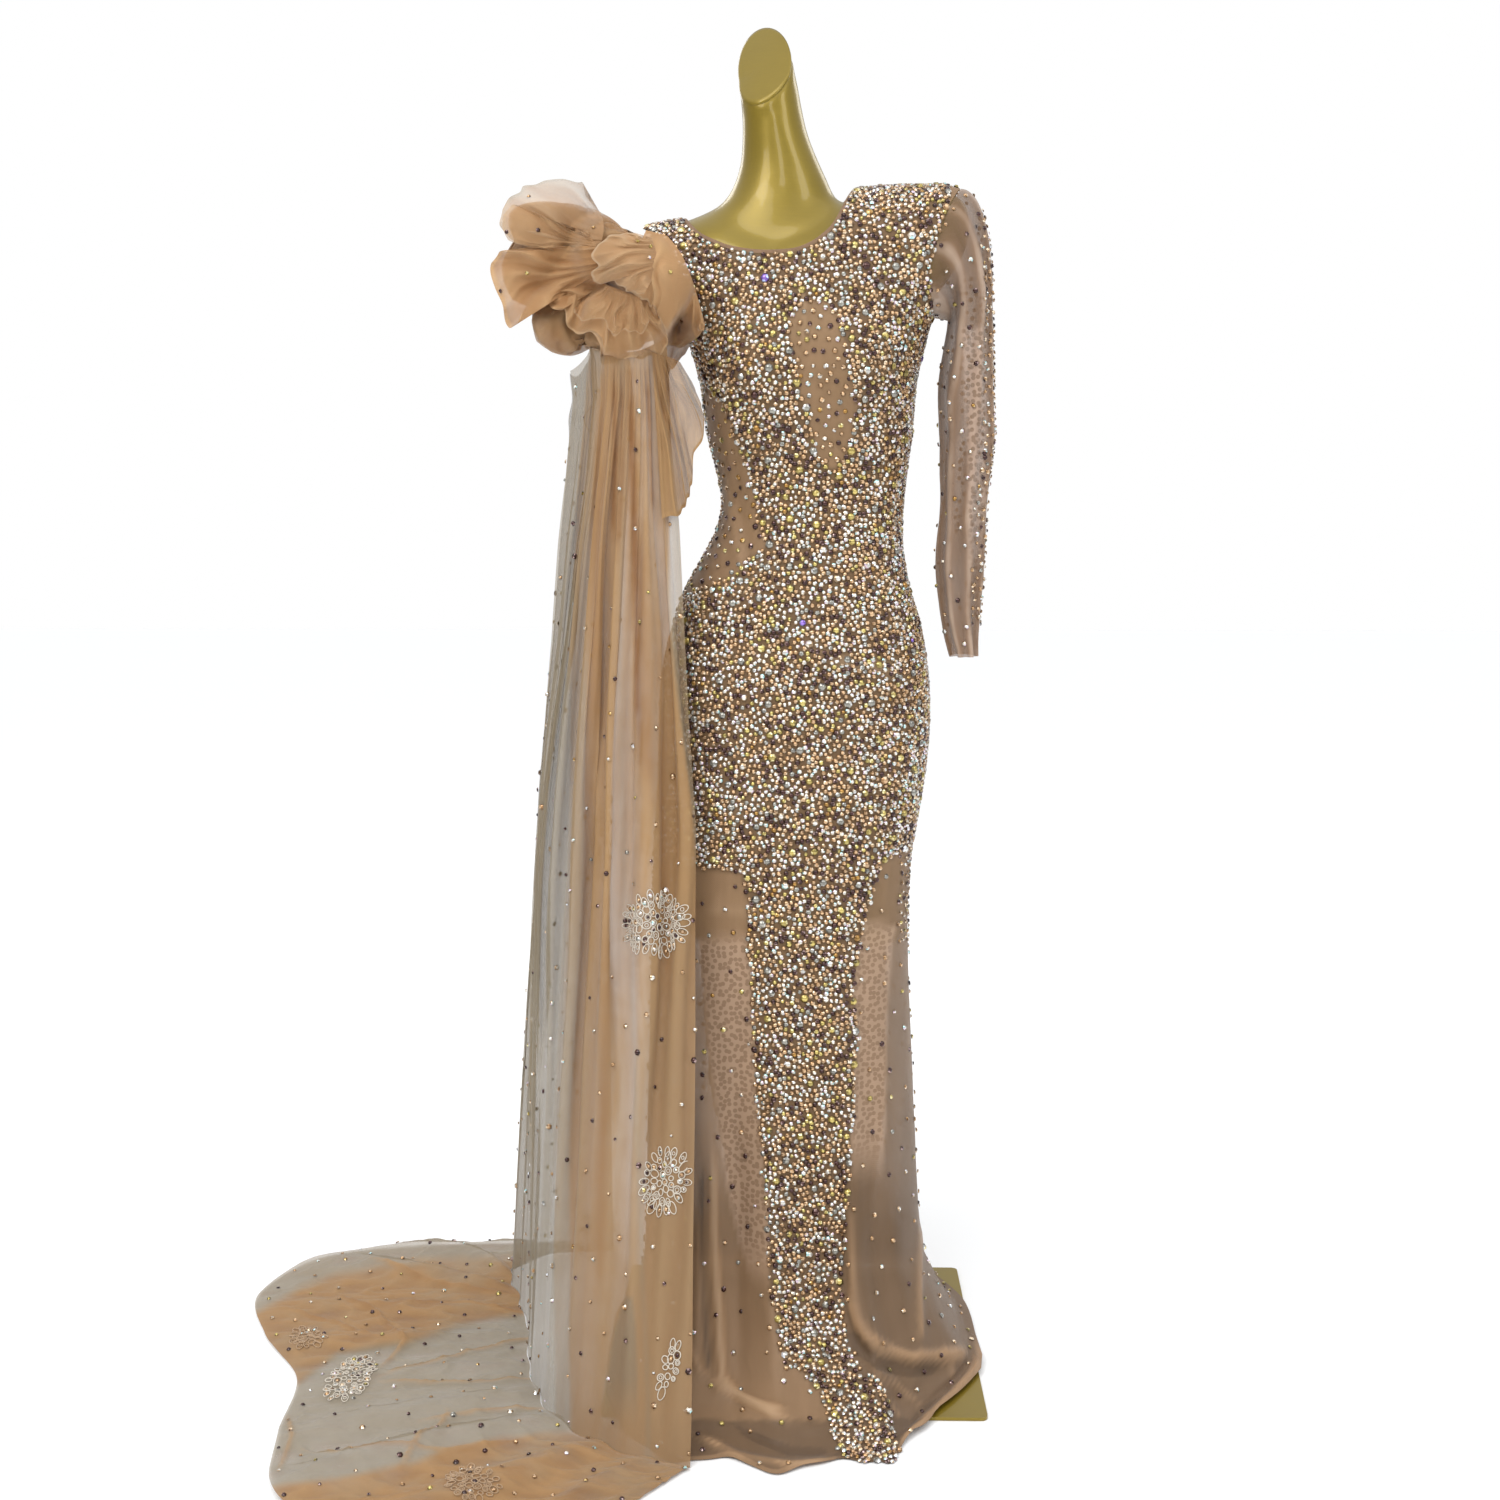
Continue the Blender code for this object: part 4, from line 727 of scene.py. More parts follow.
def makeForm(lacquer):
    vertices = []
    faces = []
    start = 0
    for side in ("front", "back"):
        grid = formSide(side)
        rows, columns = grid.shape[:2]
        vertices.append(grid.reshape(-1, 3))
        for i in range(rows - 1):
            for j in range(columns - 1):
                a = start + i * columns + j
                quad = (a, a + 1, a + columns + 1, a + columns)
                faces.append(quad if side == "front" else quad[::-1])
        start += rows * columns
    count = start // 2
    faces.append(tuple(range(count, count + columns)) + tuple(range(columns - 1, -1, -1)))
    levels = np.linspace(form["neck"][0][0], form["neck"][-1][0], form["neckRings"])
    rings = [neckRing(*(read(form["neck"], k, z) for k in (1, 2, 3, 4)), z) for z in levels]
    top = rings[-1].copy()
    top[:, 2] = capPlane(top[:, 0], top[:, 1])
    top[:, 0] -= form["capTaper"] * np.clip(top[:, 2] - levels[-1], 0, None)
    for ring in rings[form["capFrom"]:]:
        highest = top[:, 2] - form["underCap"] - (levels[-1] - ring[:, 2]) * form["underCapMore"]
        ring[:, 2] = np.minimum(ring[:, 2], highest)
    rings.append(top)
    sides = form["neckSides"]
    for i in range(len(rings) - 1):
        for j in range(sides):
            a = start + i * sides + j
            b = start + i * sides + (j + 1) % sides
            faces.append((a, b, b + sides, a + sides))
    faces.append(tuple(range(start + sides - 1, start - 1, -1)))
    faces.append(tuple(range(start + (len(rings) - 1) * sides, start + len(rings) * sides)))
    mesh = bpy.data.meshes.new("formRaw")
    mesh.from_pydata([tuple(v) for v in np.vstack(vertices + rings)], [], faces)
    raw = bpy.data.objects.new("formRaw", mesh)
    bpy.context.scene.collection.objects.link(raw)
    remesh = raw.modifiers.new("remesh", "REMESH")
    remesh.mode = "VOXEL"
    remesh.voxel_size = form["voxel"]
    whole = bpy.data.meshes.new_from_object(raw.evaluated_get(bpy.context.evaluated_depsgraph_get()))
    bpy.data.objects.remove(raw)
    places = np.empty(len(whole.vertices) * 3)
    whole.vertices.foreach_get("co", places)
    places = places.reshape(-1, 3)
    edges = np.empty(len(whole.edges) * 2, np.int32)
    whole.edges.foreach_get("vertices", edges)
    edges = edges.reshape(-1, 2)
    ends = np.bincount(edges.ravel(), minlength=len(places))[:, None]
    cap = capPlane(places[:, 0], places[:, 1])
    kept = (np.abs(places[:, 2] - cap) < form["capKept"]) & (places[:, 2] > form["capAbove"])
    height, width = form["joint"]
    joint = np.exp(-(((places[:, 2] - height) / width) ** 2)) * (np.abs(places[:, 1]) < form["jointDeep"])
    for step in range(form["smoothSteps"]):
        total = np.zeros_like(places)
        for a, b in ((0, 1), (1, 0)):
            for axis in range(3):
                total[:, axis] += np.bincount(edges[:, a], places[edges[:, b], axis], minlength=len(places))
        weight = 0.5 * (joint if step >= form["wholeSteps"] else np.maximum(joint, form["whole"]))
        weight = np.where(kept, 0.0, weight)[:, None]
        places += (total / ends - places) * weight
    whole.vertices.foreach_set("co", places.ravel().astype(np.float32))
    whole.update()
    whole.shade_smooth()
    whole.materials.clear()
    whole.materials.append(lacquer)
    torso = bpy.data.objects.new("formTorso", whole)
    bpy.context.scene.collection.objects.link(torso)
    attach(torso, "root")
    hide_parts("form_torso")
    middle = top.mean(axis=0)
    disc = []
    for share, rise in form["disc"]:
        ring = middle + (top - middle) * share
        ring[:, 2] += rise
        disc.append(ring)
    disc.append(middle[None, :] + (0, 0, rise))
    corners = []
    for i in range(len(disc) - 1):
        for j in range(sides):
            a, b = i * sides + j, i * sides + (j + 1) % sides
            if i < len(disc) - 2:
                corners += [(a, b, b + sides), (a, b + sides, a + sides)]
            else:
                corners.append((a, b, (i + 1) * sides))
    capPiece = newPiece("formCap", np.vstack(disc), np.array(corners), lacquer)

lacquer = goldLacquer("goldLacquer", lacquerLook)
makeForm(lacquer)
for node in ("form_pole", "form_base"):
    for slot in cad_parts[node].material_slots:
        slot.material = lacquer
print("form made")

# Stones, each a flat table on a sloping crown
stones = {
    "sides": 6, "table": 0.59, "high": 0.55, "low": 0.05, "seat": 0.0009, "spacing": 0.0048, "radius": 0.0033,
    # sparkles is the share of crown facets painted as a glint or a dark reflection; crownSpread gives each crown facet
    # a painted glitter
    "large": (0.0042, 0.0054), "tilt": 0.13, "sparkles": 0.34, "lowest": 0.0005,
    "crownSpread": (0.55, 1.35), "tableSpread": (0.7, 1.2),
    # how many places are tried for each stone, and how stones that stand too close are pushed apart
    "tries": 7, "neighbours": 8, "apart": 1.22, "push": 0.35,
    # table, crown, the crown's painted glints and dark reflections, share of all
    "kinds": {
        "clear": ((0.8, 0.785, 0.73), (0.38, 0.26, 0.15), (
            (0.9, 0.94, 1.0), (0.76, 0.6, 0.72), (0.5, 0.8, 0.8), (0.95, 0.86, 0.7)), 0.36),
        "peach": ((0.66, 0.43, 0.24), (0.34, 0.19, 0.08), ((0.92, 0.74, 0.52), (0.16, 0.08, 0.03)), 0.37),
        "dark": ((0.062, 0.018, 0.014), (0.036, 0.011, 0.009), ((0.46, 0.32, 0.3), (0.08, 0.03, 0.025)), 0.14),
        "citrine": ((0.62, 0.49, 0.15), (0.36, 0.27, 0.07), ((0.95, 0.85, 0.45), (0.12, 0.09, 0.03)), 0.065),
        "smoke": ((0.33, 0.32, 0.28), (0.36, 0.35, 0.31), ((0.86, 0.87, 0.88), (0.1, 0.09, 0.08)), 0.04),
        "amber": ((0.46, 0.25, 0.05), (0.3, 0.15, 0.03), ((0.86, 0.62, 0.26), (0.16, 0.07, 0.02)), 0.017),
        "violet": ((0.42, 0.24, 0.85), (0.22, 0.12, 0.5), ((0.5, 0.6, 0.95), (0.8, 0.4, 0.85)), 0.0004),
    },
    # other shares of the kinds, in the same order
    "mixes": {
        "large": (0.22, 0.08, 0.04, 0.32, 0.3, 0.03, 0.003), "waist": (0.24, 0.24, 0.2, 0.05, 0.05, 0.22, 0.0),
        "tulle": (0.3, 0.28, 0.26, 0.08, 0.05, 0.03, 0.0), "rings": (0.3, 0.34, 0.2, 0.06, 0.1, 0.0, 0.0),
    },
    # spacing, and the radii in shares of the usual one: over the whole gown, then on its front only
    "largeSpacing": 0.026, "backWider": 1.22, "closeRadii": (0.84, 1.06), "sparseSpacing": 0.028,
    "sparseRadii": (0.8, 1.15), "sparseBelow": 0.66,
    "column": (0.0082, (0.7, 1.0)), "drop": (0.0092, (0.8, 1.1)), "waist": (0.0125, (0.85, 1.2)),
    # the narrow column down the gown's left edge: its middle, half width and heights; then the short one at its right
    "leftColumn": (-0.16, 0.011, 0.16, 0.9), "rightColumn": (0.128, 0.535, 0.66),
    # lowest, left and right of the sheer drop; of the waist's strip: its edge's depth and heights, and its own border
    "dropFrom": (1.11, -0.02, 0.1), "waistEdge": (-0.024, 0.93, 1.27), "waistFrom": (0.94, -0.03),
}

class Cloth:  # a piece's own surface, on which stones are set
    def __init__(self, piece):
        mesh = piece.data
        places = np.empty(len(mesh.vertices) * 3, np.float32)
        mesh.vertices.foreach_get("co", places)
        self.vertices = places.reshape(-1, 3).astype(float)
        corners = np.empty(len(mesh.loops), np.int32)
        mesh.loops.foreach_get("vertex_index", corners)
        quads = corners.reshape(-1, 4)
        self.triangles = np.vstack((quads[:, (0, 1, 2)], quads[:, (0, 2, 3)]))
        a, b, c = (self.vertices[self.triangles[:, k]] for k in range(3))
        self.areas = np.linalg.norm(np.cross(b - a, c - a), axis=1) / 2
        self.tree = BVHTree.FromPolygons(self.vertices.tolist(), quads.tolist())

    def scatter(self, spacing, allowed, draw, taken=None, relax=0):
        count = int(self.areas.sum() / spacing**2 * stones["tries"])
        pick = draw.choice(len(self.areas), count, p=self.areas / self.areas.sum())
        a, b, c = (self.vertices[self.triangles[pick, k]] for k in range(3))
        s, t = draw.random((2, count, 1))
        folded = s + t > 1
        s, t = np.where(folded, 1 - s, s), np.where(folded, 1 - t, t)
        places = a + s * (b - a) + t * (c - a)
        places = places[allowed(places)]
        if taken is not None:
            centres, reach = taken
            for centre, far in zip(centres, reach):
                places = places[((places - centre) ** 2).sum(axis=1) > (far + spacing / 2) ** 2]
        cells = {}
        kept = []
        closest = spacing**2
        around = [(i, j, k) for i in (-1, 0, 1) for j in (-1, 0, 1) for k in (-1, 0, 1)]
        for (i, j, k), (x, y, z) in zip(np.floor(places / spacing).astype(int).tolist(), places.tolist()):
            crowded = False
            for di, dj, dk in around:
                for u, v, w in cells.get((i + di, j + dj, k + dk), ()):
                    if (u - x) ** 2 + (v - y) ** 2 + (w - z) ** 2 < closest:
                        crowded = True
                        break
                if crowded:
                    break
            if not crowded:
                cells.setdefault((i, j, k), []).append((x, y, z))
                kept.append((x, y, z))
        kept = np.array(kept).reshape(-1, 3)
        for _ in range(relax):
            tree = KDTree(len(kept))
            for index, place in enumerate(kept):
                tree.insert(place, index)
            tree.balance()
            near = [[index for _, index, _ in tree.find_n(place, stones["neighbours"])] for place in kept]
            gap = kept[:, None] - kept[np.array(near)[:, 1:]]
            distance = np.linalg.norm(gap, axis=2, keepdims=True)
            push = gap / distance * np.clip(stones["apart"] * spacing - distance, 0, None) * stones["push"]
            kept = kept + push.sum(axis=1)
            kept = np.array([self.tree.find_nearest(place)[0] for place in kept])
        return kept

    def normals(self, places, outward):
        found = np.array([self.tree.find_nearest(place)[1] for place in places]).reshape(-1, 3)
        facing = (found * outward(places)).sum(axis=1, keepdims=True)
        return found * np.where(facing < 0, -1, 1)

def setStones(name, places, normals, radii, kinds, draw, glass):
    sides = stones["sides"]
    count = len(places)
    if not count:
        return
    up = unit(normals + draw.normal(scale=stones["tilt"], size=(count, 3)))
    side = unit(np.cross(up, draw.normal(size=(count, 3))))
    other = np.cross(up, side)
    turn = np.arange(sides) / sides * 2 * np.pi
    ring = side[:, None] * np.cos(turn)[None, :, None] + other[:, None] * np.sin(turn)[None, :, None]
    size = radii[:, None, None]
    base = (places + normals * (radii[:, None] * stones["low"] + stones["seat"]))[:, None]
    girdle = base + ring * size
    table = base + ring * size * stones["table"] + up[:, None] * size * stones["high"]
    vertices = np.concatenate((girdle, table), axis=1)
    vertices[..., 2] = np.maximum(vertices[..., 2], stones["lowest"])
    tris = []
    for k in range(sides):
        after = (k + 1) % sides
        tris += [(k, after, sides + after), (k, sides + after, sides + k)]
    crownCount = len(tris)
    tris += [(sides, sides + k, sides + k + 1) for k in range(1, sides - 1)]
    tris = np.array(tris)
    faces = (np.arange(count)[:, None, None] * 2 * sides + tris[None]).reshape(-1, 3)
    colours = np.empty((count, len(tris), 3))
    for kind, (tableTint, crownTint, sparkles, _) in stones["kinds"].items():
        chosen = np.flatnonzero(kinds == kind)
        # the crown facets get a painted glitter, and some a painted glint or dark reflection
        crowns = np.array(crownTint) * draw.uniform(*stones["crownSpread"], (len(chosen), sides, 1))
        reflected = np.array(sparkles)[draw.integers(len(sparkles), size=(len(chosen), sides))]
        crowns = np.where(draw.random((len(chosen), sides, 1)) < stones["sparkles"], reflected, crowns)
        colours[chosen[:, None], np.arange(crownCount)[None]] = np.repeat(crowns, 2, axis=1)
        flat = np.array(tableTint) * draw.uniform(*stones["tableSpread"], (len(chosen), 1, 1))
        colours[chosen[:, None], np.arange(crownCount, len(tris))[None]] = flat
    piece = newPiece(name, vertices.reshape(-1, 3), faces, glass, smooth=False)
    tints = np.ones((count * len(tris) * 3, 4), np.float32)
    tints[:, :3] = np.repeat(np.clip(colours.reshape(-1, 3), 0, 1), 3, axis=0)
    piece.data.color_attributes.new("facet", "FLOAT_COLOR", "CORNER").data.foreach_set("color", tints.ravel())

def drawKinds(count, draw, mix):
    names = list(stones["kinds"])
    weights = np.array(stones["mixes"][mix] if mix else [kind[3] for kind in stones["kinds"].values()])
    return np.array(names)[draw.choice(len(names), count, p=weights / weights.sum())]

def strew(name, cloth, places, outward, radii, mix, draw, glass):  # stones on a cloth at scattered places
    normals = cloth.normals(places, outward)
    setStones(name, places, normals, radii, drawKinds(len(places), draw, mix), draw, glass)
    print(f"{name}: {len(places)} stones")

# Where the stones lie close on the front: height, left border, right border; a border of 1 is the side seam
dense = {
    "bustLeft": (
        (0.965, -0.138), (0.978, -0.105), (0.993, -0.072), (1.006, -0.061), (1.02, -0.041), (1.033, -0.036),
        (1.052, -0.047), (1.08, -0.049), (1.107, -0.055), (1.134, -0.064), (1.161, -0.077), (1.187, -0.083),
        (1.216, -0.105), (1.246, -0.136),
    ),
    "skirtLeft": (
        (0.055, -0.01), (0.078, -0.017), (0.105, -0.023), (0.133, -0.028), (0.164, -0.031), (0.195, -0.033),
        (0.26, -0.035), (0.316, -0.042), (0.371, -0.048), (0.428, -0.051), (0.513, -0.053), (0.541, -0.059),
        (0.597, -0.057), (0.621, -0.062), (0.635, -0.065), (0.64, -0.116), (0.645, -1.0),
    ),
    "skirtRight": (
        (0.054, 0.074), (0.077, 0.062), (0.132, 0.058), (0.192, 0.063), (0.257, 0.068), (0.313, 0.07), (0.369, 0.073),
        (0.425, 0.077), (0.482, 0.071), (0.51, 0.074), (0.538, 0.08), (0.566, 0.083), (0.594, 0.091), (0.617, 0.096),
        (0.644, 0.107), (0.655, 0.137), (0.66, 1.0),
    ),
    # the stripe over the pooled hem: depth in front, left, right
    "hem": ((0.2, -0.01, 0.074), (0.234, 0.032, 0.112), (0.3, 0.05, 0.118), (0.35, 0.063, 0.118)),
    # the sparse drop on the chest: height, left, right
    "drop": (
        (1.116, 0.041, 0.045), (1.133, 0.022, 0.059), (1.16, 0.018, 0.067), (1.185, 0.013, 0.07),
        (1.212, 0.002, 0.066), (1.238, -0.001, 0.059), (1.264, -0.009, 0.055), (1.291, -0.009, 0.05),
        (1.313, 0.009, 0.036),
    ),
    "backSkirt": (
        (0.064, -0.066, 0.089), (0.12, -0.08, 0.102), (0.217, -0.097, 0.114), (0.304, -0.113, 0.12),
        (0.506, -0.126, 0.119), (0.56, -0.14, 0.13), (0.6, -1.0, 1.0),
    ),
    "pooledBelow": 0.058, "backFrom": 0.03, "bareShoulder": (0.181, 1.372),
}

def between(name, x, z):  # inside the left and right border of a table, at the heights that it covers
    left, right = (read(dense[name], k, z, False) for k in (1, 2))
    return (x > left) & (x < right)

def frontDense(places):
    x, y, z = places.T
    bust, skirt, right = (read(dense[name], 1, z, False) for name in ("bustLeft", "skirtLeft", "skirtRight"))
    left = np.where(z > dense["bustLeft"][-1][0], -1.0, np.where(z > dense["bustLeft"][0][0], bust, skirt))
    pooled = z < dense["pooledBelow"]
    left = np.where(pooled, read(dense["hem"], 1, -y, False), left)
    right = np.where(pooled, read(dense["hem"], 2, -y, False), right)
    inDrop = (z > dense["drop"][0][0]) & (z < dense["drop"][-1][0]) & between("drop", x, z)
    bare = (x > dense["bareShoulder"][0]) & (z > dense["bareShoulder"][1])
    return (x > left) & (x < right) & ~inDrop & ~bare

def backDense(places):
    x, _, z = places.T
    return between("backSkirt", x, z) & (z > dense["backFrom"])

# The mesh panels stand just outside the solids' middle. Their soft folds are lines in the photo's pixels: how far
# each is raised, how wide it is, and its run
panels = {
    "lift": 0.0004, "drift": 0.0012, "driftWide": 0.35, "cover": 0.8, "hemBand": 0.009, "hemCover": 0.25,
    # cover gained per metre of lift within its limits, and near the floor: how much, below what height, over what
    "liftCover": 12, "liftLimits": (-0.004, 0.008), "lowCover": (0.16, 0.2, -0.1),
    # the lift over which a fold gets a painted highlight and a trough painted shade; where else painted shade falls:
    # how much, below what height, over what
    "foldLift": 0.0035, "troughLift": 0.0025, "floorDark": (0.4, 0.36, -0.2), "rightDark": (0.6, 0.75, -0.3),
    "rightFrom": 0.05,
    # in the photo's pixels: the plate's front and back edge, and what shows of them; past the front edge the pooled
    # cloth gets a painted shadow
    "plateFront": 1419, "plateBack": 1265, "plateCover": (0.12, 9), "pooledDark": (0.65, 3), "pooledBelow": 0.06,
    # where the back's stones show through: how far down, and from where to where across
    "backed": (
        ((935, 694, 800), (938, 695, 800), (1000, 702, 800), (1060, 708, 800), (1120, 716, 800), (1180, 724, 800),
         (1240, 738, 800), (1290, 752, 800)),
        ((922, 800, 902), (935, 800, 895), (1000, 800, 890), (1060, 800, 888), (1120, 800, 887), (1185, 800, 884)),
    ),
    "frontCut": (1.01, 1.6, 0.7), "backCut": (0.87, 1.56, 0.68),
    "frontFolds": (
        (0.005, 5, ((712, 1130), (714, 1240), (719, 1330), (722, 1378), (740, 1398), (775, 1416), (812, 1430))),
        (-0.0035, 5, ((700, 1150), (702, 1260), (706, 1330), (711, 1390))),
        (0.0035, 4.5, ((686, 1340), (700, 1370), (722, 1390), (760, 1404), (795, 1412))),
        (0.0055, 7, ((853, 1308), (864, 1334), (884, 1350), (912, 1358), (945, 1357), (975, 1351))),
        (-0.0045, 7, ((848, 1320), (858, 1348), (880, 1364), (912, 1371), (948, 1368))),
        (0.0045, 4.5, ((848, 1200), (852, 1260), (853, 1300), (858, 1330))),
        (0.004, 4, ((919, 1215), (918, 1290), (920, 1350))),
        (0.003, 4, ((952, 1265), (970, 1300), (982, 1330), (980, 1360), (960, 1385))),
        (0.0028, 3.5, ((865, 1366), (893, 1382), (915, 1402), (925, 1415))),
        (0.0026, 3.5, ((860, 1378), (885, 1400), (903, 1422))),
        (0.0026, 3.5, ((940, 1345), (950, 1370), (955, 1385))),
        (0.005, 5, ((985, 1345), (975, 1372), (955, 1393), (928, 1418), (905, 1440), (890, 1452))),
        (-0.0035, 4, ((972, 1350), (962, 1372), (943, 1392), (918, 1414), (897, 1434))),
        (0.004, 5, ((690, 1434), (738, 1456), (789, 1466), (840, 1460))),
        (-0.003, 5, ((712, 1404), (745, 1432), (790, 1450), (835, 1452))),
        (0.0022, 3, ((803, 288), (804, 330), (803, 350))), (0.002, 6, ((850, 345), (866, 360), (884, 382))),
        (-0.002, 7, ((810, 420), (845, 452), (862, 476), (880, 492))),
        (0.0026, 6, ((727, 470), (732, 505), (738, 540), (744, 575))),
        (-0.0024, 6, ((734, 470), (739, 505), (746, 545), (752, 575))),
        (0.0022, 8, ((706, 905), (745, 912), (775, 922))), (0.0025, 8, ((790, 640), (850, 665), (905, 672))),
        (-0.0022, 8, ((780, 690), (850, 712), (915, 716))),
    ),
}

def backedBy(seen, runs):  # how much the stones of the layer behind show at each place
    across, down = seen[..., 0], seen[..., 1]
    most = np.zeros(across.shape)
    for run in runs:
        rows, left, right = np.array(run, float).T
        inside = ramp(across, np.interp(down, rows, left), 4) * ramp(across, np.interp(down, rows, right), -4)
        most = np.maximum(most, inside * ramp(down, rows[0], 5) * ramp(down, rows[-1], -50))
    return most

def makePanel(name, side, grid, folds, stoned, mesh):
    points, normals = grid
    x, _, z = np.moveaxis(points, -1, 0)
    lift = panels["lift"] + panels["drift"] * softNoise(points * (3, 3, 1), panels["driftWide"], 4)
    if folds:
        lift = lift + creaseLift(seenAt(points), folds)
    shaped = points + normals * lift[..., None]
    steps = np.linalg.norm(np.diff(shaped, axis=0), axis=2)
    up = np.concatenate((np.zeros((1, points.shape[1])), np.cumsum(steps, axis=0)))
    aboveHem = up > panels["hemBand"]
    cover = panels["cover"] + panels["hemCover"] * (up < panels["hemBand"])
    cover = cover + panels["liftCover"] * np.clip(lift, *panels["liftLimits"])
    most, start, span = panels["lowCover"]
    cover = cover + most * ramp(z, start, span)
    close = stoned(shaped.reshape(-1, 3)).astype(float)
    soft = panels["lift"] + panels["drift"]
    # painted highlight on folds, painted shade in troughs, near the floor and low on the right side
    crease = ramp(lift, soft, panels["foldLift"]) - ramp(lift, -soft, -panels["troughLift"])
    most, start, span = panels["floorDark"]
    crease = crease - most * ramp(z, start, span)
    most, start, span = panels["rightDark"]
    crease = crease - most * ramp(z, start, span) * (x > panels["rightFrom"])
    backed = 0 * cover
    if folds:  # painted shadow where the cloth pools past the plate's front edge
        seen = seenAt(points)
        backed = backedBy(seen, panels["backed"]) * (close.reshape(cover.shape) < 0.5)
        most, width = panels["plateCover"]
        cover = cover + most * np.exp(-(((seen[..., 1] - panels["plateBack"]) / width) ** 2))
        most, span = panels["pooledDark"]
        pooled = ramp(seen[..., 1], panels["plateFront"], span) * (z < panels["pooledBelow"])
        crease = crease - most * pooled * aboveHem * (crease < 0.3)
    piece = gridPiece(name, shaped, mesh, flip=side == "back", layers={
        "dense": np.clip(cover, 0.3, 1), "stoned": close, "crease": crease, "backed": backed})
    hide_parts("gown_" + side)
    return piece

nudeMesh = stretchMesh("nudeMesh", meshLook)
sheerMesh = stretchMesh("sheerMesh", sheerLook)
frontGrid = panelGrid("front")
backGrid = panelGrid("back")
gownFront = makePanel("gownFront", "front", frontGrid, panels["frontFolds"], frontDense, nudeMesh)
gownBack = makePanel("gownBack", "back", backGrid, (), backDense, nudeMesh)
print("gown panels made")

# Binding: its section up from the edge and out from it, in widths and folds
binding = {
    "width": 0.005, "fold": 0.001, "above": (-0.0335, 0.0, 1.5), "cut": (0.012, 0.58), "cover": 0.85,
    "section": ((0.0, 1.0), (0.5, 1.25), (0.9, 1.0), (1.0, 0.0), (0.9, -1.0), (0.5, -1.1), (0.0, -1.0)),
}

def makeBinding(front, back):
    first = gown["columns"][0]
    columns = list(range(first, first + gown["columns"][1] + 1))
    edge = np.vstack((front[0][-1, columns], back[0][-1, columns[::-1]][1:-1]))
    normal = np.vstack((front[1][-1, columns], back[1][-1, columns[::-1]][1:-1]))
    normal[0] = normal[0] + unit(normal[1] + normal[-1])
    rise = unit(np.cross(normal, np.roll(edge, -1, axis=0) - np.roll(edge, 1, axis=0)))
    rise *= np.sign(((np.array(binding["above"]) - edge) * rise).sum(axis=1, keepdims=True))
    for _ in range(6):
        rise = unit(rise + np.roll(rise, 1, axis=0) + np.roll(rise, -1, axis=0))
        normal = unit(normal + np.roll(normal, 1, axis=0) + np.roll(normal, -1, axis=0))
    wide, fold = binding["width"], binding["fold"]
    rows = [edge + rise * (gown["edgeGap"] + wide * up) + normal * fold * out for up, out in binding["section"]]
    cover = np.full(len(rows) * len(edge), binding["cover"])
    piece = gridPiece("neckBinding", np.array(rows), sheerMesh, closed=True, layers={"dense": cover})
    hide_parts("neck_binding")

makeBinding(frontGrid, backGrid)

# Sleeve: height, inner and outer edge, half its depth
sleeve = {
    "table": (
        (1.299, 0.187, 0.236, 0.05), (1.263, 0.181, 0.238, 0.048), (1.227, 0.1765, 0.239, 0.046),
        (1.154, 0.178, 0.242, 0.042), (1.081, 0.179, 0.2335, 0.038), (1.0075, 0.174, 0.232, 0.034),
        (0.95, 0.179, 0.227, 0.03), (0.915, 0.185, 0.225, 0.028), (0.889, 0.192, 0.224, 0.026),
    ),
    "way": (0.27, 0.0, 1.38), "headRows": 24, "rowTimes": 9, "cover": 0.78,
    "backed": (((325, 960, 986), (380, 962, 988), (480, 966, 988), (575, 968, 984)),),
    "pleats": 7, "pleatDeep": 0.0026, "fine": 0.0009, "fineWide": 0.03, "fadeIn": 6,
    # cover gained on a pleat and on a fine wrinkle, and lost at the shoulder; how strong the creases' painted highlight
    # and shade are
    "covered": (0.1, 0.06, 0.16), "creased": (1.3, 0.7, 0.5), "creaseLimits": (-0.3, 0.9),
    "cut": (0.3, 0.56, 0.125),
}

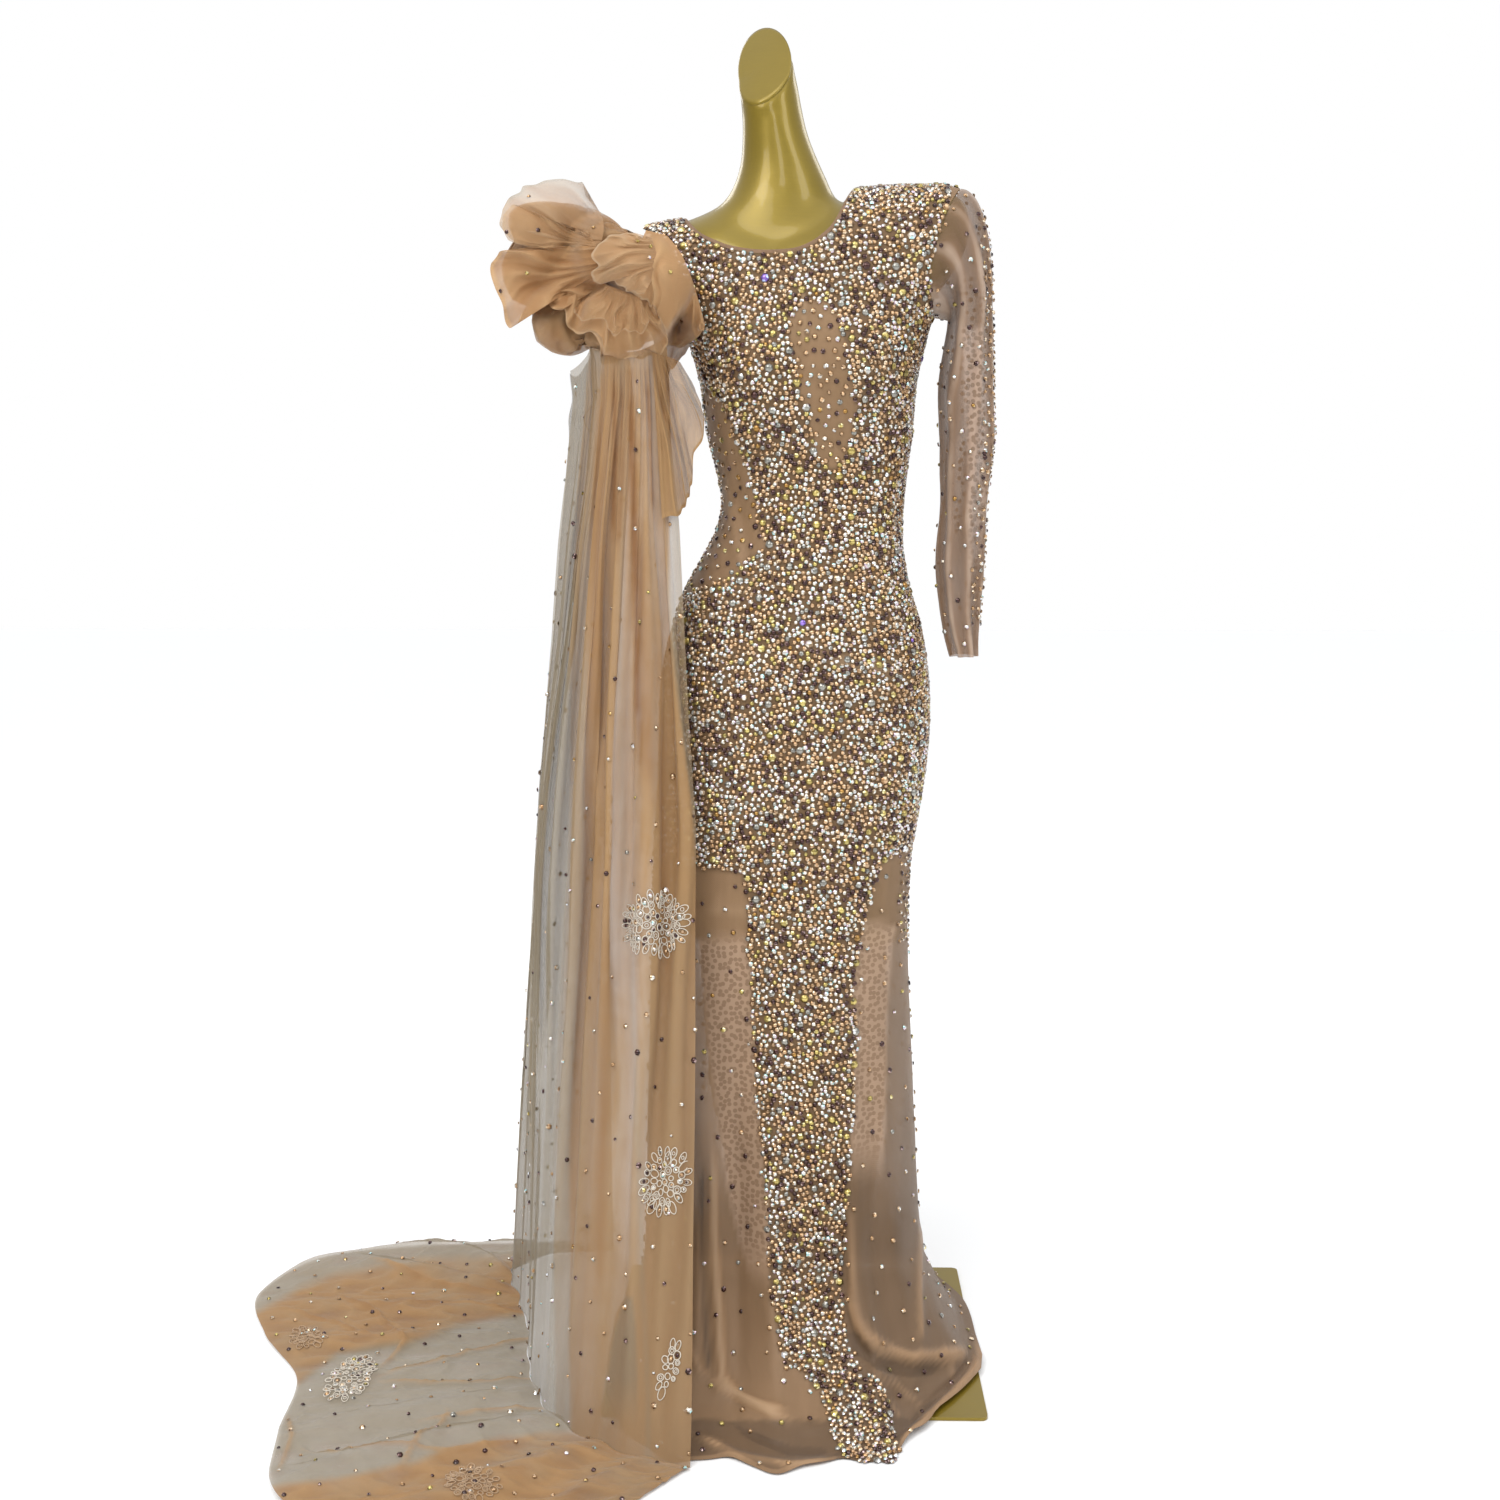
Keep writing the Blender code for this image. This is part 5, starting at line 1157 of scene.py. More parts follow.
def makeSleeve(front, back):
    ring, ringNormals = armholeRing(front, back, -1)
    away = unit(np.cross(ringNormals, np.roll(ring, -1, axis=0) - np.roll(ring, 1, axis=0)))
    away *= np.sign(((np.array(sleeve["way"]) - ring) * away).sum(axis=1, keepdims=True))
    ring = ring + away * 1.5 * gown["edgeGap"]
    turn = np.arange(len(ring)) / len(ring) * 2 * np.pi
    table = sleeve["table"]
    places = finer([row[0] for row in table], sleeve["rowTimes"])
    rising = sorted(table)
    hanging = []
    for z in places:
        inner, outer, deep = (read(rising, k, z) for k in (1, 2, 3))
        x = (inner + outer) / 2 - (outer - inner) / 2 * np.cos(turn)
        hanging.append(np.stack((x, -deep * np.sin(turn), np.full(len(turn), z)), axis=-1))
    first = hanging[0]
    corner = np.stack((first[:, 0], (ring[:, 1] + first[:, 1]) / 2, ring[:, 2]), axis=-1)
    rows = []
    for k in range(sleeve["headRows"]):
        t = k / sleeve["headRows"]
        rows.append((1 - t) ** 2 * ring + 2 * t * (1 - t) * corner + t**2 * first)
    points = np.array(rows + hanging)
    normals = gridNormals(points, closed=True)
    if ((points - points.mean(axis=1, keepdims=True)) * normals).sum() < 0:
        normals = -normals
    down = np.linspace(0, 1, len(points))[:, None]
    pleat = np.sin(sleeve["pleats"] * turn[None, :] + 1.6 * np.sin(3 * down) + 2 * softNoise(points, 0.3, 3))
    fine = softNoise(points * (1, 1, 0.25), sleeve["fineWide"], 9)
    free = np.clip(down * sleeve["fadeIn"], 0, 1)
    points = points + normals * ((sleeve["pleatDeep"] * pleat + sleeve["fine"] * fine) * free)[..., None]
    byPleat, byFine, byHead = sleeve["covered"]
    cover = np.clip(sleeve["cover"] + byPleat * pleat + byFine * fine - byHead * (1 - free), 0.2, 1)
    # painted highlight on the pleats' ridges, painted shade between them
    light, less, byFine = sleeve["creased"]
    piece = gridPiece("sleeveLeft", points, sheerMesh, closed=True, flip=True, layers={
        "dense": cover, "crease": np.clip(light * pleat - less + byFine * fine, *sleeve["creaseLimits"]),
        "backed": backedBy(seenAt(points), sleeve["backed"])})
    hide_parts("sleeve_left")
    return piece

sleeveLeft = makeSleeve(frontGrid, backGrid)
print("sleeve made")

# Puff: round lobes about one middle (across, deep, height, radius), followed by one gathered skin
puff = {
    "middle": (-0.245, -0.01, 1.345), "least": 0.07, "blend": 55.0,
    "lobes": (
        (-0.306, -0.025, 1.403, 0.061), (-0.333, -0.01, 1.338, 0.045), (-0.288, -0.045, 1.284, 0.05),
        (-0.22, -0.1, 1.368, 0.04), (-0.172, -0.088, 1.34, 0.054), (-0.208, -0.082, 1.286, 0.048),
        (-0.235, 0.05, 1.4, 0.055), (-0.3, 0.055, 1.35, 0.052), (-0.225, 0.06, 1.305, 0.056),
    ),
    "around": 224, "rows": 108, "stand": 0.01, "start": 64.0, "startFront": 34.0, "end": 176.0,
    "gathers": 9, "gatherDeep": 0.02, "pleats": 19, "pleatDeep": 0.0046, "crumple": 0.0022,
    # the outline in the photo's pixels that its plain skins stay within, and the place that it is measured from
    "outlineMiddle": (600, 275),
    "outline": (
        (562, 203), (583, 204), (602, 213), (622, 228), (645, 240), (667, 271), (686, 302), (699, 326), (690, 340),
        (668, 346), (655, 350), (630, 352), (602, 354), (588, 352), (570, 357), (552, 353), (536, 342), (531, 322),
        (534, 308), (512, 300), (502, 280), (500, 264), (507, 250), (514, 240), (508, 226), (508, 212), (518, 204),
        (540, 201),
    ),
    # the broad and small creases of a skin: how strong, and the sizes of the noise that bends and makes them
    "broad": (0.42, 0.8), "small": 0.3, "bend": (2.4, 0.16), "creaseSizes": (0.085, 0.034),
    # where it thins out above, by how much in cover and warmth, and what creasing changes in cover and in painted shade
    "thinAbove": (1.424, 0.02), "thinner": (0.3, 0.85), "creaseCover": 0.05, "deepened": (0.3, 0.42),
    "cut": (0.8, 0.38, 0.26),
    # name, how far inside the puff, seed, scale of its creases, cover
    "skins": (("tullePuff", 0.0085, 21, 1.0, 0.56), ("tullePuffInner", 0.018, 33, 1.3, 0.6)),
}

def puffRadius(direction):
    middle = np.array(puff["middle"])
    total = np.full(direction.shape[:-1], np.exp(puff["blend"] * puff["least"]))
    for x, y, z, radius in puff["lobes"]:
        offset = np.array((x, y, z)) - middle
        along = direction @ offset
        inside = along**2 - offset @ offset + radius**2
        reach = np.where(inside > 0, along + np.sqrt(np.maximum(inside, 0)), 0)
        total = total + np.where(reach > 0, np.exp(puff["blend"] * reach), 0)
    return np.log(total) / puff["blend"]

def puffGrid(front, back):
    ring, ringNormals = armholeRing(front, back, 0)
    ring = ring + ringNormals * (gown["wall"] / 2 + gown["edgeGap"])
    around = np.arange(puff["around"]) / puff["around"]
    places = np.arange(len(ring) + 1) / len(ring)
    loop = np.vstack((ring, ring[:1]))
    loopNormals = np.vstack((ringNormals, ringNormals[:1]))
    start = np.stack([np.interp(around, places, loop[:, k]) for k in range(3)], axis=-1)
    startNormals = unit(np.stack([np.interp(around, places, loopNormals[:, k]) for k in range(3)], axis=-1))
    turn = around * 2 * np.pi
    first = np.radians(puff["start"] - (puff["start"] - puff["startFront"]) * np.clip(np.sin(turn), 0, 1))
    rows = [start + startNormals * puff["stand"] * share for share in (0, 0.5, 1)]
    for k in range(puff["rows"]):
        angle = first + (np.radians(puff["end"]) - first) * k / (puff["rows"] - 1)
        way = np.stack((np.cos(angle), -np.sin(angle) * np.sin(turn), -np.sin(angle) * np.cos(turn)), axis=-1)
        gathers = 1 + puff["gatherDeep"] * np.sin(puff["gathers"] * turn) * np.sin(angle)
        rows.append(np.array(puff["middle"]) + way * (puffRadius(way) * gathers)[:, None])
    points = np.array(rows)
    normals = gridNormals(points, closed=True)
    facing = ((points - np.array(puff["middle"])) * normals).sum() > 0
    return points, normals if facing else -normals

def crumpled(points, normals, scale, seed):  # gathers and creases on a puffed skin
    rows, columns = points.shape[:2]
    turn = np.arange(columns)[None, :] / columns * 2 * np.pi
    down = np.linspace(0, 1, rows)[:, None]
    pleats, pleatDeep, crumple = puff["pleats"], puff["pleatDeep"] * scale, puff["crumple"] * scale
    bendMost, bendWide = puff["bend"]
    bend = bendMost * softNoise(points, bendWide, seed)
    rarer, broadShare = puff["broad"]
    ridge = 1 - np.abs(np.sin((pleats * turn + bend * 2) / 2)) * 2
    broad = 1 - np.abs(np.sin((pleats * rarer * turn + bend * 3 + 1.0) / 2)) * 2
    fade = np.clip(down * 9, 0, 1) * np.clip((1 - down) * 8, 0, 1)
    creased, small = (
        1 - np.abs(softNoise(points, size, seed + 1 + k)) * 2.6 for k, size in enumerate(puff["creaseSizes"]))
    lift = (pleatDeep * (0.5 * ridge + broadShare * broad) + crumple * (creased + puff["small"] * small)) * fade
    return points + normals * lift[..., None], lift / (pleatDeep + crumple)

def keptWithin(points):  # the puff's skin, drawn in where it would show past the outline
    middle = np.array(puff["outlineMiddle"], float)
    drawn = np.array(puff["outline"]) - middle
    ways = np.arctan2(drawn[:, 1], drawn[:, 0])
    order = np.argsort(ways)
    seen = seenAt(points) - middle
    reach = np.hypot(seen[..., 0], seen[..., 1])
    way = np.arctan2(seen[..., 1], seen[..., 0])
    most = np.interp(way, ways[order], np.hypot(*drawn.T)[order], period=2 * np.pi)
    share = reach / most
    rounded = np.where(share > 0.9, most * (1 - 0.1 * np.exp(-(share - 0.9) / 0.1)), reach)
    return atDepth(middle + seen * (rounded / np.maximum(reach, 1e-6))[..., None], points[..., 1])

def wrapped(values):  # the tulle's two ends meet
    return np.concatenate((values, values[:, :1]), axis=1)

puffTulle = tulleNet("puffTulle", puffLook)

def makePuff(front, back):
    points, normals = puffGrid(front, back)
    made = []
    for name, sink, seed, scale, cover in puff["skins"]:
        skin, lift = crumpled(points - normals * sink, normals, scale, seed)
        skin = keptWithin(skin)
        thin = ramp(skin[..., 2], *puff["thinAbove"])
        lessCover, lessWarm = puff["thinner"]
        # painted shade over the skin, less on its raised folds
        most, byLift = puff["deepened"]
        piece = gridPiece(name, wrapped(skin), puffTulle, layers={
            "dense": wrapped(cover - lessCover * thin - puff["creaseCover"] * lift),
            "warm": wrapped(1 - lessWarm * thin), "deep": wrapped(np.clip(most - byLift * lift, 0, 1))})
        if name == "tullePuff":
            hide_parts("tulle_puff")
        made.append(piece)
    return points, normals, made[0]

puffPoints, puffNormals, tullePuff = makePuff(frontGrid, backGrid)
print("puff made")

# The puff's turned-out layers: where each is held and its free edge in the photo's pixels, how far it stands off,
# how far it billows, the number and depth of its pleats, its cover and its warmth
flounces = {
    "rows": 40, "columns": 120, "seed": 70, "hemFrom": 0.972, "thinAbove": (1.424, 0.012),
    # what a layer's hem, creases, thin top and held edge add to its cover, warmth and painted shade, or take from them
    "hemCover": 0.12, "creaseCover": 0.05, "hemPaler": 0.3, "topPaler": 0.45, "deepOver": 0.9, "leastDeep": 0.1,
    "creaseDeep": 0.3, "heldDeep": 0.35,
    "layers": {
        "puffTopLayer": (
            ((601, 213), (604, 226), (602, 240), (596, 250)),
            ((585, 196), (583, 183), (565, 180), (545, 181), (524, 187), (510, 199), (501, 209), (501, 225), (509, 239),
             (530, 248), (560, 254)),
            0.006, 0.012, 4, 0.0045, 0.62, 0.85),
        "puffTopFold": (
            ((590, 236), (594, 242), (597, 249)),
            ((588, 231), (568, 225), (538, 213), (512, 205), (502, 214), (502, 227), (509, 240), (530, 247),
             (560, 252)),
            0.013, 0.008, 4, 0.0045, 0.55, 1.0),
        "puffLeftLayer": (
            ((594, 246), (600, 262), (602, 286)),
            ((548, 246), (515, 249), (499, 252), (491, 263), (496, 288), (503, 311), (511, 328), (517, 323), (524, 309),
             (532, 301), (543, 301), (560, 311), (574, 303)),
            0.011, 0.012, 4, 0.0055, 0.84, 1.28),
        "puffLowLayer": (
            ((600, 282), (626, 292), (652, 302)),
            ((561, 301), (566, 320), (574, 334), (589, 332), (600, 344), (602, 363), (622, 360), (648, 357), (659, 356),
             (668, 346), (664, 326), (655, 308)),
            0.012, 0.012, 4, 0.006, 0.76, 1.14),
        "puffLowFold": (
            ((606, 286), (622, 292), (640, 297)),
            ((574, 308), (580, 322), (592, 318), (606, 322), (612, 336), (626, 330), (640, 334), (650, 322)),
            0.027, 0.01, 4, 0.005, 0.5, 1.0),
        "puffRightLayer": (
            ((646, 230), (667, 236), (682, 255), (692, 279), (699, 302), (705, 324)),
            ((622, 286), (640, 297), (652, 307), (661, 320), (666, 334), (667, 345), (678, 348), (690, 342),
             (704, 331)),
            0.014, 0.012, 3, 0.003, 0.88, 1.0),
        "puffRoll": (
            ((652, 238), (657, 256), (652, 280)),
            ((636, 233), (612, 235), (597, 244), (592, 254), (597, 266), (590, 276), (601, 284), (613, 281), (628, 291),
             (644, 294)),
            0.022, 0.022, 5, 0.0045, 0.7, 0.9),
        "puffHangingLayer": (
            ((648, 316), (676, 312), (702, 316)),
            ((657, 357), (660, 369), (664, 380), (670, 372), (678, 361), (694, 343)),
            0.003, 0.004, 2, 0.0025, 0.88, 1.0),
    },
}

def traced(line, count):  # evenly spaced places along a smooth run through the drawn ones
    line = np.asarray(line, float)
    walked = np.concatenate(((0,), np.cumsum(np.linalg.norm(np.diff(line, axis=0), axis=1))))
    at = np.linspace(0, walked[-1], count)
    sharp = np.stack([np.interp(at, walked, line[:, k]) for k in (0, 1)], axis=-1)
    smooth = np.stack([smoothRead(walked, line[:, k], at) for k in (0, 1)], axis=-1)
    return (sharp + smooth) / 2

def depthOver(pixels, tree):  # how deep the surface under each pixel lies, carried on smoothly past its outline
    place = Vector(photoFrame()[0])
    ways = wayTo(pixels)
    deep = np.full(pixels.shape[:2], np.nan)
    for i in range(pixels.shape[0]):
        for j in range(pixels.shape[1]):
            hit = tree.ray_cast(place, Vector(ways[i, j]))[0]
            if hit:
                deep[i, j] = hit.y
    known = ~np.isnan(deep)
    filled = np.where(known, deep, deep[known].max())
    for keptSteps, kept in ((252, known), (8, np.zeros_like(known))):  # the last steps smooth everything
        for _ in range(keptSteps):
            padded = np.pad(filled, 1, mode="edge")
            around = (padded[2:, 1:-1] + padded[:-2, 1:-1] + padded[1:-1, 2:] + padded[1:-1, :-2]) / 4
            filled = np.where(kept, filled, around)
    return filled

def layerGrid(held, edge, size, tree, stand, billow, pleats, deep, seed):
    rows, columns = size
    share = np.linspace(0, 1, rows)[:, None]
    along = np.linspace(0, 1, columns)[None, :]
    held, edge = traced(held, columns)[None], traced(edge, columns)[None]
    pixels = held * (1 - share[..., None]) + edge * share[..., None]
    warp = softNoise(np.stack(np.broadcast_arrays(along, share * 0.5), axis=-1), 0.7, seed, 2)
    ridge = 1 - 2 * np.abs(np.sin(np.pi * (pleats * along + 0.8 * warp)))
    fine = 1 - 2 * np.abs(np.sin(np.pi * (pleats * 2.7 * along + 1.3 * warp + 0.4))) ** 0.7
    ripple = np.sin(2 * np.pi * (pleats * 1.4 * along + warp))
    pixels = pixels + unit(edge - held) * (share**3 * ripple)[..., None] * 1.6
    depth = depthOver(pixels, tree)
    raised = stand + billow * np.sin(np.pi * np.clip(share * 0.92, 0, 1)) ** 0.8
    lift = (deep * (ridge + 0.35 * fine)) * share**0.6 * (1 - 0.35 * share**4)
    return atDepth(pixels, depth - raised - lift), lift / deep, share

def makeFlounces(tree):
    size = (flounces["rows"], flounces["columns"])
    for k, (name, spec) in enumerate(flounces["layers"].items()):
        held, edge, stand, billow, pleats, creaseDeep, cover, warmth = spec
        seed = flounces["seed"] + k
        points, lift, share = layerGrid(held, edge, size, tree, stand, billow, pleats, creaseDeep, seed)
        hem = np.broadcast_to(share > flounces["hemFrom"], lift.shape)
        high = ramp(points[..., 2], *flounces["thinAbove"])  # one thin layer stands above the rest
        # painted shade in the pleats' troughs and near the held edge
        deep = max(warmth - flounces["deepOver"], flounces["leastDeep"]) - flounces["creaseDeep"] * lift
        deep = deep + flounces["heldDeep"] * (1 - share) ** 3
        piece = gridPiece(name, points, puffTulle, layers={
            "dense": np.clip(cover + flounces["hemCover"] * hem - flounces["creaseCover"] * lift, 0.15, 0.95),
            "warm": np.clip(warmth - flounces["hemPaler"] * hem - flounces["topPaler"] * high, 0, 1),
            "deep": np.clip(deep, 0, 0.8) * (1 - hem)})
        wide, down, area = clothSize(points)

def gridTree(*grids):  # the surface of several grids, to lay cloth on
    vertices = []
    faces = []
    for points in grids:
        corners = np.arange(points[..., 0].size).reshape(points.shape[:2]) + len(vertices)
        quads = np.stack((corners[:-1, :-1], corners[:-1, 1:], corners[1:, 1:], corners[1:, :-1]), axis=-1)
        faces += quads.reshape(-1, 4).tolist()
        vertices += points.reshape(-1, 3).tolist()
    return BVHTree.FromPolygons(vertices, faces)

makeFlounces(gridTree(puffPoints, frontGrid[0]))
print("puff's layers made")

# Cape: two stretches gathered under the puff, each with its foot on the floor (along, across, deep). "top" is where
# each is held round the puff, first and last
cape = {
    "topRows": (8, 3), "sourceRows": 13, "sourceAround": 32, "topTurn": 0.5, "puffGap": 0.0036, "floorGap": 0.0005,
    "wave": 0.011, "footWave": 0.003, "fallRows": 200,
    # pleats: how many, how deep; how much flatter they are at the back
    "fine": (26, 0.0014), "broad": (9, 0.0035), "backFlatter": 0.5,
    # the small puff that stands out at the left: how far down the photo, half its height, and how far out
    "stoodOut": (418, 13, 0.014), "stoodAlong": (0.4, 0.45, -0.3),
    # height, and how far to the right the left side hangs there
    "hang": (
        (0.0, 0.0), (0.62, 0.0), (0.73, 0.004), (0.82, 0.01), (0.91, 0.017), (1.03, 0.023), (1.11, 0.029),
        (1.2, 0.033), (1.25, 0.024), (1.3, 0.0),
    ),
    "front": {
        "top": (2.15, 4.5), "waves": 6, "lean": 2.4, "columns": 150, "rightward": 0.034, "hangFade": 1.0,
        "foot": ((0.0, -0.345, 0.0), (0.25, -0.333, -0.11), (0.5, -0.3, -0.225), (0.75, -0.232, -0.31),
                 (1.0, -0.15, -0.352)),
        "cut": (0.46, 1.3, 0.46),
    },
    "back": {
        "top": (1.85, -1.5), "waves": 5, "lean": 1.6, "columns": 130, "rightward": 0.0, "hangFade": 0.2,
        "foot": ((0.0, -0.345, 0.003), (0.35, -0.376, 0.12), (0.65, -0.394, 0.215), (0.85, -0.345, 0.276),
                 (1.0, -0.262, 0.288)),
        "cut": (0.39, 1.3, 0.46),
    },
}

def footLine(stretch):
    along = np.linspace(0, 1, stretch["columns"])
    x = read(stretch["foot"], 1, along)
    y = read(stretch["foot"], 2, along)
    stepX = np.gradient(x, along)
    stepY = np.gradient(y, along)
    length = np.hypot(stepX, stepY)
    wave = cape["footWave"] * np.sin(2 * np.pi * stretch["waves"] * along) * np.sin(np.pi * along)
    x = x + stretch["rightward"] * along**1.5
    return np.stack((x - stepY / length * wave, y + stepX / length * wave), axis=-1)

def gridSample(grid, rows, columns):
    low = np.floor(rows).astype(int)
    left = np.floor(columns).astype(int)
    up = (rows - low)[:, None]
    over = (columns - left)[:, None]
    count = grid.shape[1]
    high = np.minimum(low + 1, len(grid) - 1)
    near = grid[low, left % count] * (1 - up) + grid[high, left % count] * up
    far = grid[low, (left + 1) % count] * (1 - up) + grid[high, (left + 1) % count] * up
    return near * (1 - over) + far * over

def capeGrid(stretch):
    foot = footLine(stretch)
    along = np.linspace(0, 1, len(foot))
    turned = np.clip(along / cape["topTurn"], 0, 1)
    rows = cape["topRows"][0] + (cape["topRows"][1] - cape["topRows"][0]) * along
    rows = 3 + (rows - 2) * (puff["rows"] - 1) / (cape["sourceRows"] - 1)
    columns = stretch["top"][0] + (stretch["top"][1] - stretch["top"][0]) * np.sin(turned * np.pi / 2)
    columns = columns * puff["around"] / cape["sourceAround"]
    away = unit(gridSample(puffNormals, rows, columns))
    top = gridSample(puffPoints, rows, columns) + away * cape["puffGap"]
    right = stretch["rightward"] * along**1.5
    lines = []
    for fall in np.linspace(1, 0, cape["fallRows"]) ** 0.9:
        fall = 1 - fall
        shares = np.array((fall**0.8, fall**stretch["lean"]))
        plan = top[:, :2] + (foot - top[:, :2]) * shares
        wave = cape["wave"] * np.sin(np.pi * fall) ** 1.3 * np.sin(2 * np.pi * stretch["waves"] * along)
        wave = wave * np.clip(np.sin(np.pi * along), 0, 1) ** 0.5
        height = top[:, 2] * (1 - fall) + cape["floorGap"] * fall
        hung = read(cape["hang"], 1, height, smooth=False) * (1 - stretch["hangFade"] * along)
        x = plan[:, 0] + right * (min(1, fall * 2.2) - fall**0.8) + hung
        lines.append(np.stack((x, plan[:, 1] + wave, height), axis=-1))
    points = np.array(lines)[::-1]
    return points, gridNormals(points)

# How the tulle looks where it hangs in one layer or several, in the photo's pixels
capeTone = {
    # down, where the one thin layer at the left ends, where the light strip runs, and where the thin layer of the
    # right edge starts
    "runs": (
        (360, 586, 622, 700), (400, 582, 622, 690), (440, 579, 622, 672), (520, 574, 622, 668), (610, 572, 622, 668),
        (700, 570, 622, 676), (810, 568, 623, 690), (963, 560, 629, 700), (1155, 551, 638, 700),
        (1311, 552, 644, 700), (1400, 553, 648, 700),
    ),
    "shadows": (  # strength, width, run
        (0.75, 3.0, ((614, 372), (615, 450), (613, 540))), (0.6, 2.5, ((622, 372), (622, 470), (618, 560))),
        (0.85, 3.5, ((630, 372), (633, 470), (636, 620), (641, 760))),
        (0.7, 3.0, ((647, 374), (651, 430), (655, 520))), (0.9, 4.0, ((659, 374), (664, 430), (668, 520))),
        (0.55, 6.0, ((640, 520), (644, 640), (650, 800))), (0.35, 7.0, ((600, 372), (598, 520), (596, 760))),
        (0.35, 5.0, ((655, 600), (662, 820), (668, 1000))), (0.3, 6.0, ((606, 900), (604, 1100), (600, 1300))),
    ),
    "thin": 0.58, "front": 0.88, "back": 0.66, "over": 0.8, "middle": 15, "strip": (3.0, 0.3), "rightTo": 900,
    # where the gown shows through: across and down; the foot: from how far down, over what, how much paler and deeper
    "overAcross": (655, 20), "overDown": (640, 120), "foot": (880, 200), "footPaler": 0.32, "footDeeper": 0.14,
    # what the single pane takes from cover and warmth, what a shadow adds to cover, and a pleat to cover and painted
    # shade
    "paneThinner": 0.14, "panePaler": 0.5, "shadowCover": 0.15, "pleatCover": 0.07, "pleatDeep": (0.1, 0.16),
    # the single pane low down, given as the panels' "backed" is
    "window": (((1296, 622, 634), (1330, 612, 638), (1370, 606, 639), (1400, 601, 639), (1428, 600, 640)),),
}
capeTulle = tulleNet("capeTulle", capeLook)

def capeLayers(seen, side, drift, lift):
    across, down = seen[..., 0], seen[..., 1]
    thinEnd, strip, rightThin = (read(capeTone["runs"], k, down) for k in (1, 2, 3))
    past = across + 3 * drift - thinEnd
    layered = 0.5 * ramp(past, 0, 3) + 0.5 * ramp(past, capeTone["middle"], 4)
    single = 1 - 0.8 * ramp(across, rightThin, 4) * (down < capeTone["rightTo"])
    stripWide, stripPaler = capeTone["strip"]
    strips = np.exp(-(((across - strip) / stripWide) ** 2)) * stripPaler * (side == "front")
    full = capeTone[side]
    over = ramp(across, *capeTone["overAcross"]) * ramp(down, *capeTone["overDown"])
    full = full + (capeTone["over"] - full) * over
    cover = capeTone["thin"] + (full - capeTone["thin"]) * layered * single + capeTone["pleatCover"] * lift
    shadow = creaseLift(seen, capeTone["shadows"]) * (side == "front")
    pane = backedBy(seen, capeTone["window"])
    foot = ramp(down, *capeTone["foot"])
    warm = np.clip(0.05 + 0.95 * layered * single - strips, 0, 1)
    warm = warm - capeTone["panePaler"] * pane - capeTone["footPaler"] * foot
    # painted shadows down the front, painted shade in the pleats' troughs, and darker at the foot
    least, byPleat = capeTone["pleatDeep"]
    deep = shadow + least - byPleat * lift + capeTone["footDeeper"] * foot
    cover = cover - capeTone["paneThinner"] * pane + capeTone["shadowCover"] * shadow
    return np.clip(cover, 0.1, 0.95), np.clip(warm, 0, 1), np.clip(deep, 0, 1) * layered

def makeCape(name, stretch, side, seed):
    points, normals = capeGrid(stretch)
    rows, columns = points.shape[:2]
    along = np.linspace(0, 1, columns)[None, :]
    fall = 1 - np.linspace(0, 1, rows)[:, None]
    drift = softNoise(np.stack(np.broadcast_arrays(along, fall * 0.35), axis=-1), 0.5, seed)
    fineCount, fineDeep = cape["fine"]
    broadCount, broadDeep = cape["broad"]
    fine = np.sin(2 * np.pi * (fineCount * along + 1.2 * drift)) * (1 - fall) ** 1.5
    broad = np.sin(2 * np.pi * (broadCount * along + 0.8 * drift + 0.3)) * np.sin(np.pi * fall) ** 0.5
    edge = np.clip(np.minimum(fall * 30, (1 - fall) * 60), 0, 1)
    lift = (fineDeep * fine + broadDeep * broad) * edge * (1 if side == "front" else cape["backFlatter"])
    if side == "back":  # the small puff that stands out at the left, just under the gathers
        down, tall, out = cape["stoodOut"]
        middle, start, span = cape["stoodAlong"]
        stood = np.exp(-(((seenAt(points)[..., 1] - down) / tall) ** 2)) * ramp(np.abs(along - middle), start, span)
        points = points - (out, 0, 0) * stood[..., None]
    dense, warm, deep = capeLayers(seenAt(points), side, drift, lift / 0.004)
    piece = gridPiece(name, points + normals * lift[..., None], capeTulle, layers={
        "dense": dense, "warm": warm, "deep": deep})
    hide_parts("cape_" + side)
    return piece

capeFront = makeCape("capeFront", cape["front"], "front", 51)
capeBack = makeCape("capeBack", cape["back"], "back", 52)
print("cape made")

# The thin end of the cape that flares out at the right, under the puff
flare = {
    "held": ((652, 352), (662, 355), (672, 358), (680, 362)),
    "edge": (
        (662, 520), (681, 513), (689, 496), (693, 474), (694, 453), (701, 441), (705, 426), (701, 404), (692, 382),
    ),
    # stands off, billows, number and depth of pleats, seed
    "size": (60, 110), "shape": (0.005, 0.006, 5, 0.006, 90), "cover": 0.9, "warmth": 1.4,
    # what a fold's line adds, what the hem adds from a share on, and what cover and warmth lose to the right; deep is
    # painted shade, less towards the free edge and on raised pleats
    "line": (0.35, 0.6), "hem": (0.97, 0.2), "rightThinner": 0.18, "rightPaler": 0.5, "deep": (0.4, 0.5),
}

def makeFlare(tree):
    points, lift, share = layerGrid(flare["held"], flare["edge"], flare["size"], tree, *flare["shape"])
    line = np.clip(lift - flare["line"][0], 0, 1) * flare["line"][1]
    hem = flare["hem"][1] * (share > flare["hem"][0])
    across = np.linspace(0, 1, lift.shape[1])[None, :]
    piece = gridPiece("capeFlare", points, capeTulle, layers={
        "dense": np.clip(flare["cover"] + line + hem - flare["rightThinner"] * across, 0, 1),
        "warm": np.clip(flare["warmth"] - flare["rightPaler"] * across * share**0.5 + line, 0, 1),
        "deep": np.clip(flare["deep"][0] - share - flare["deep"][1] * lift, 0, 1)})
    wide, down, area = clothSize(points)

makeFlare(Cloth(capeFront).tree)

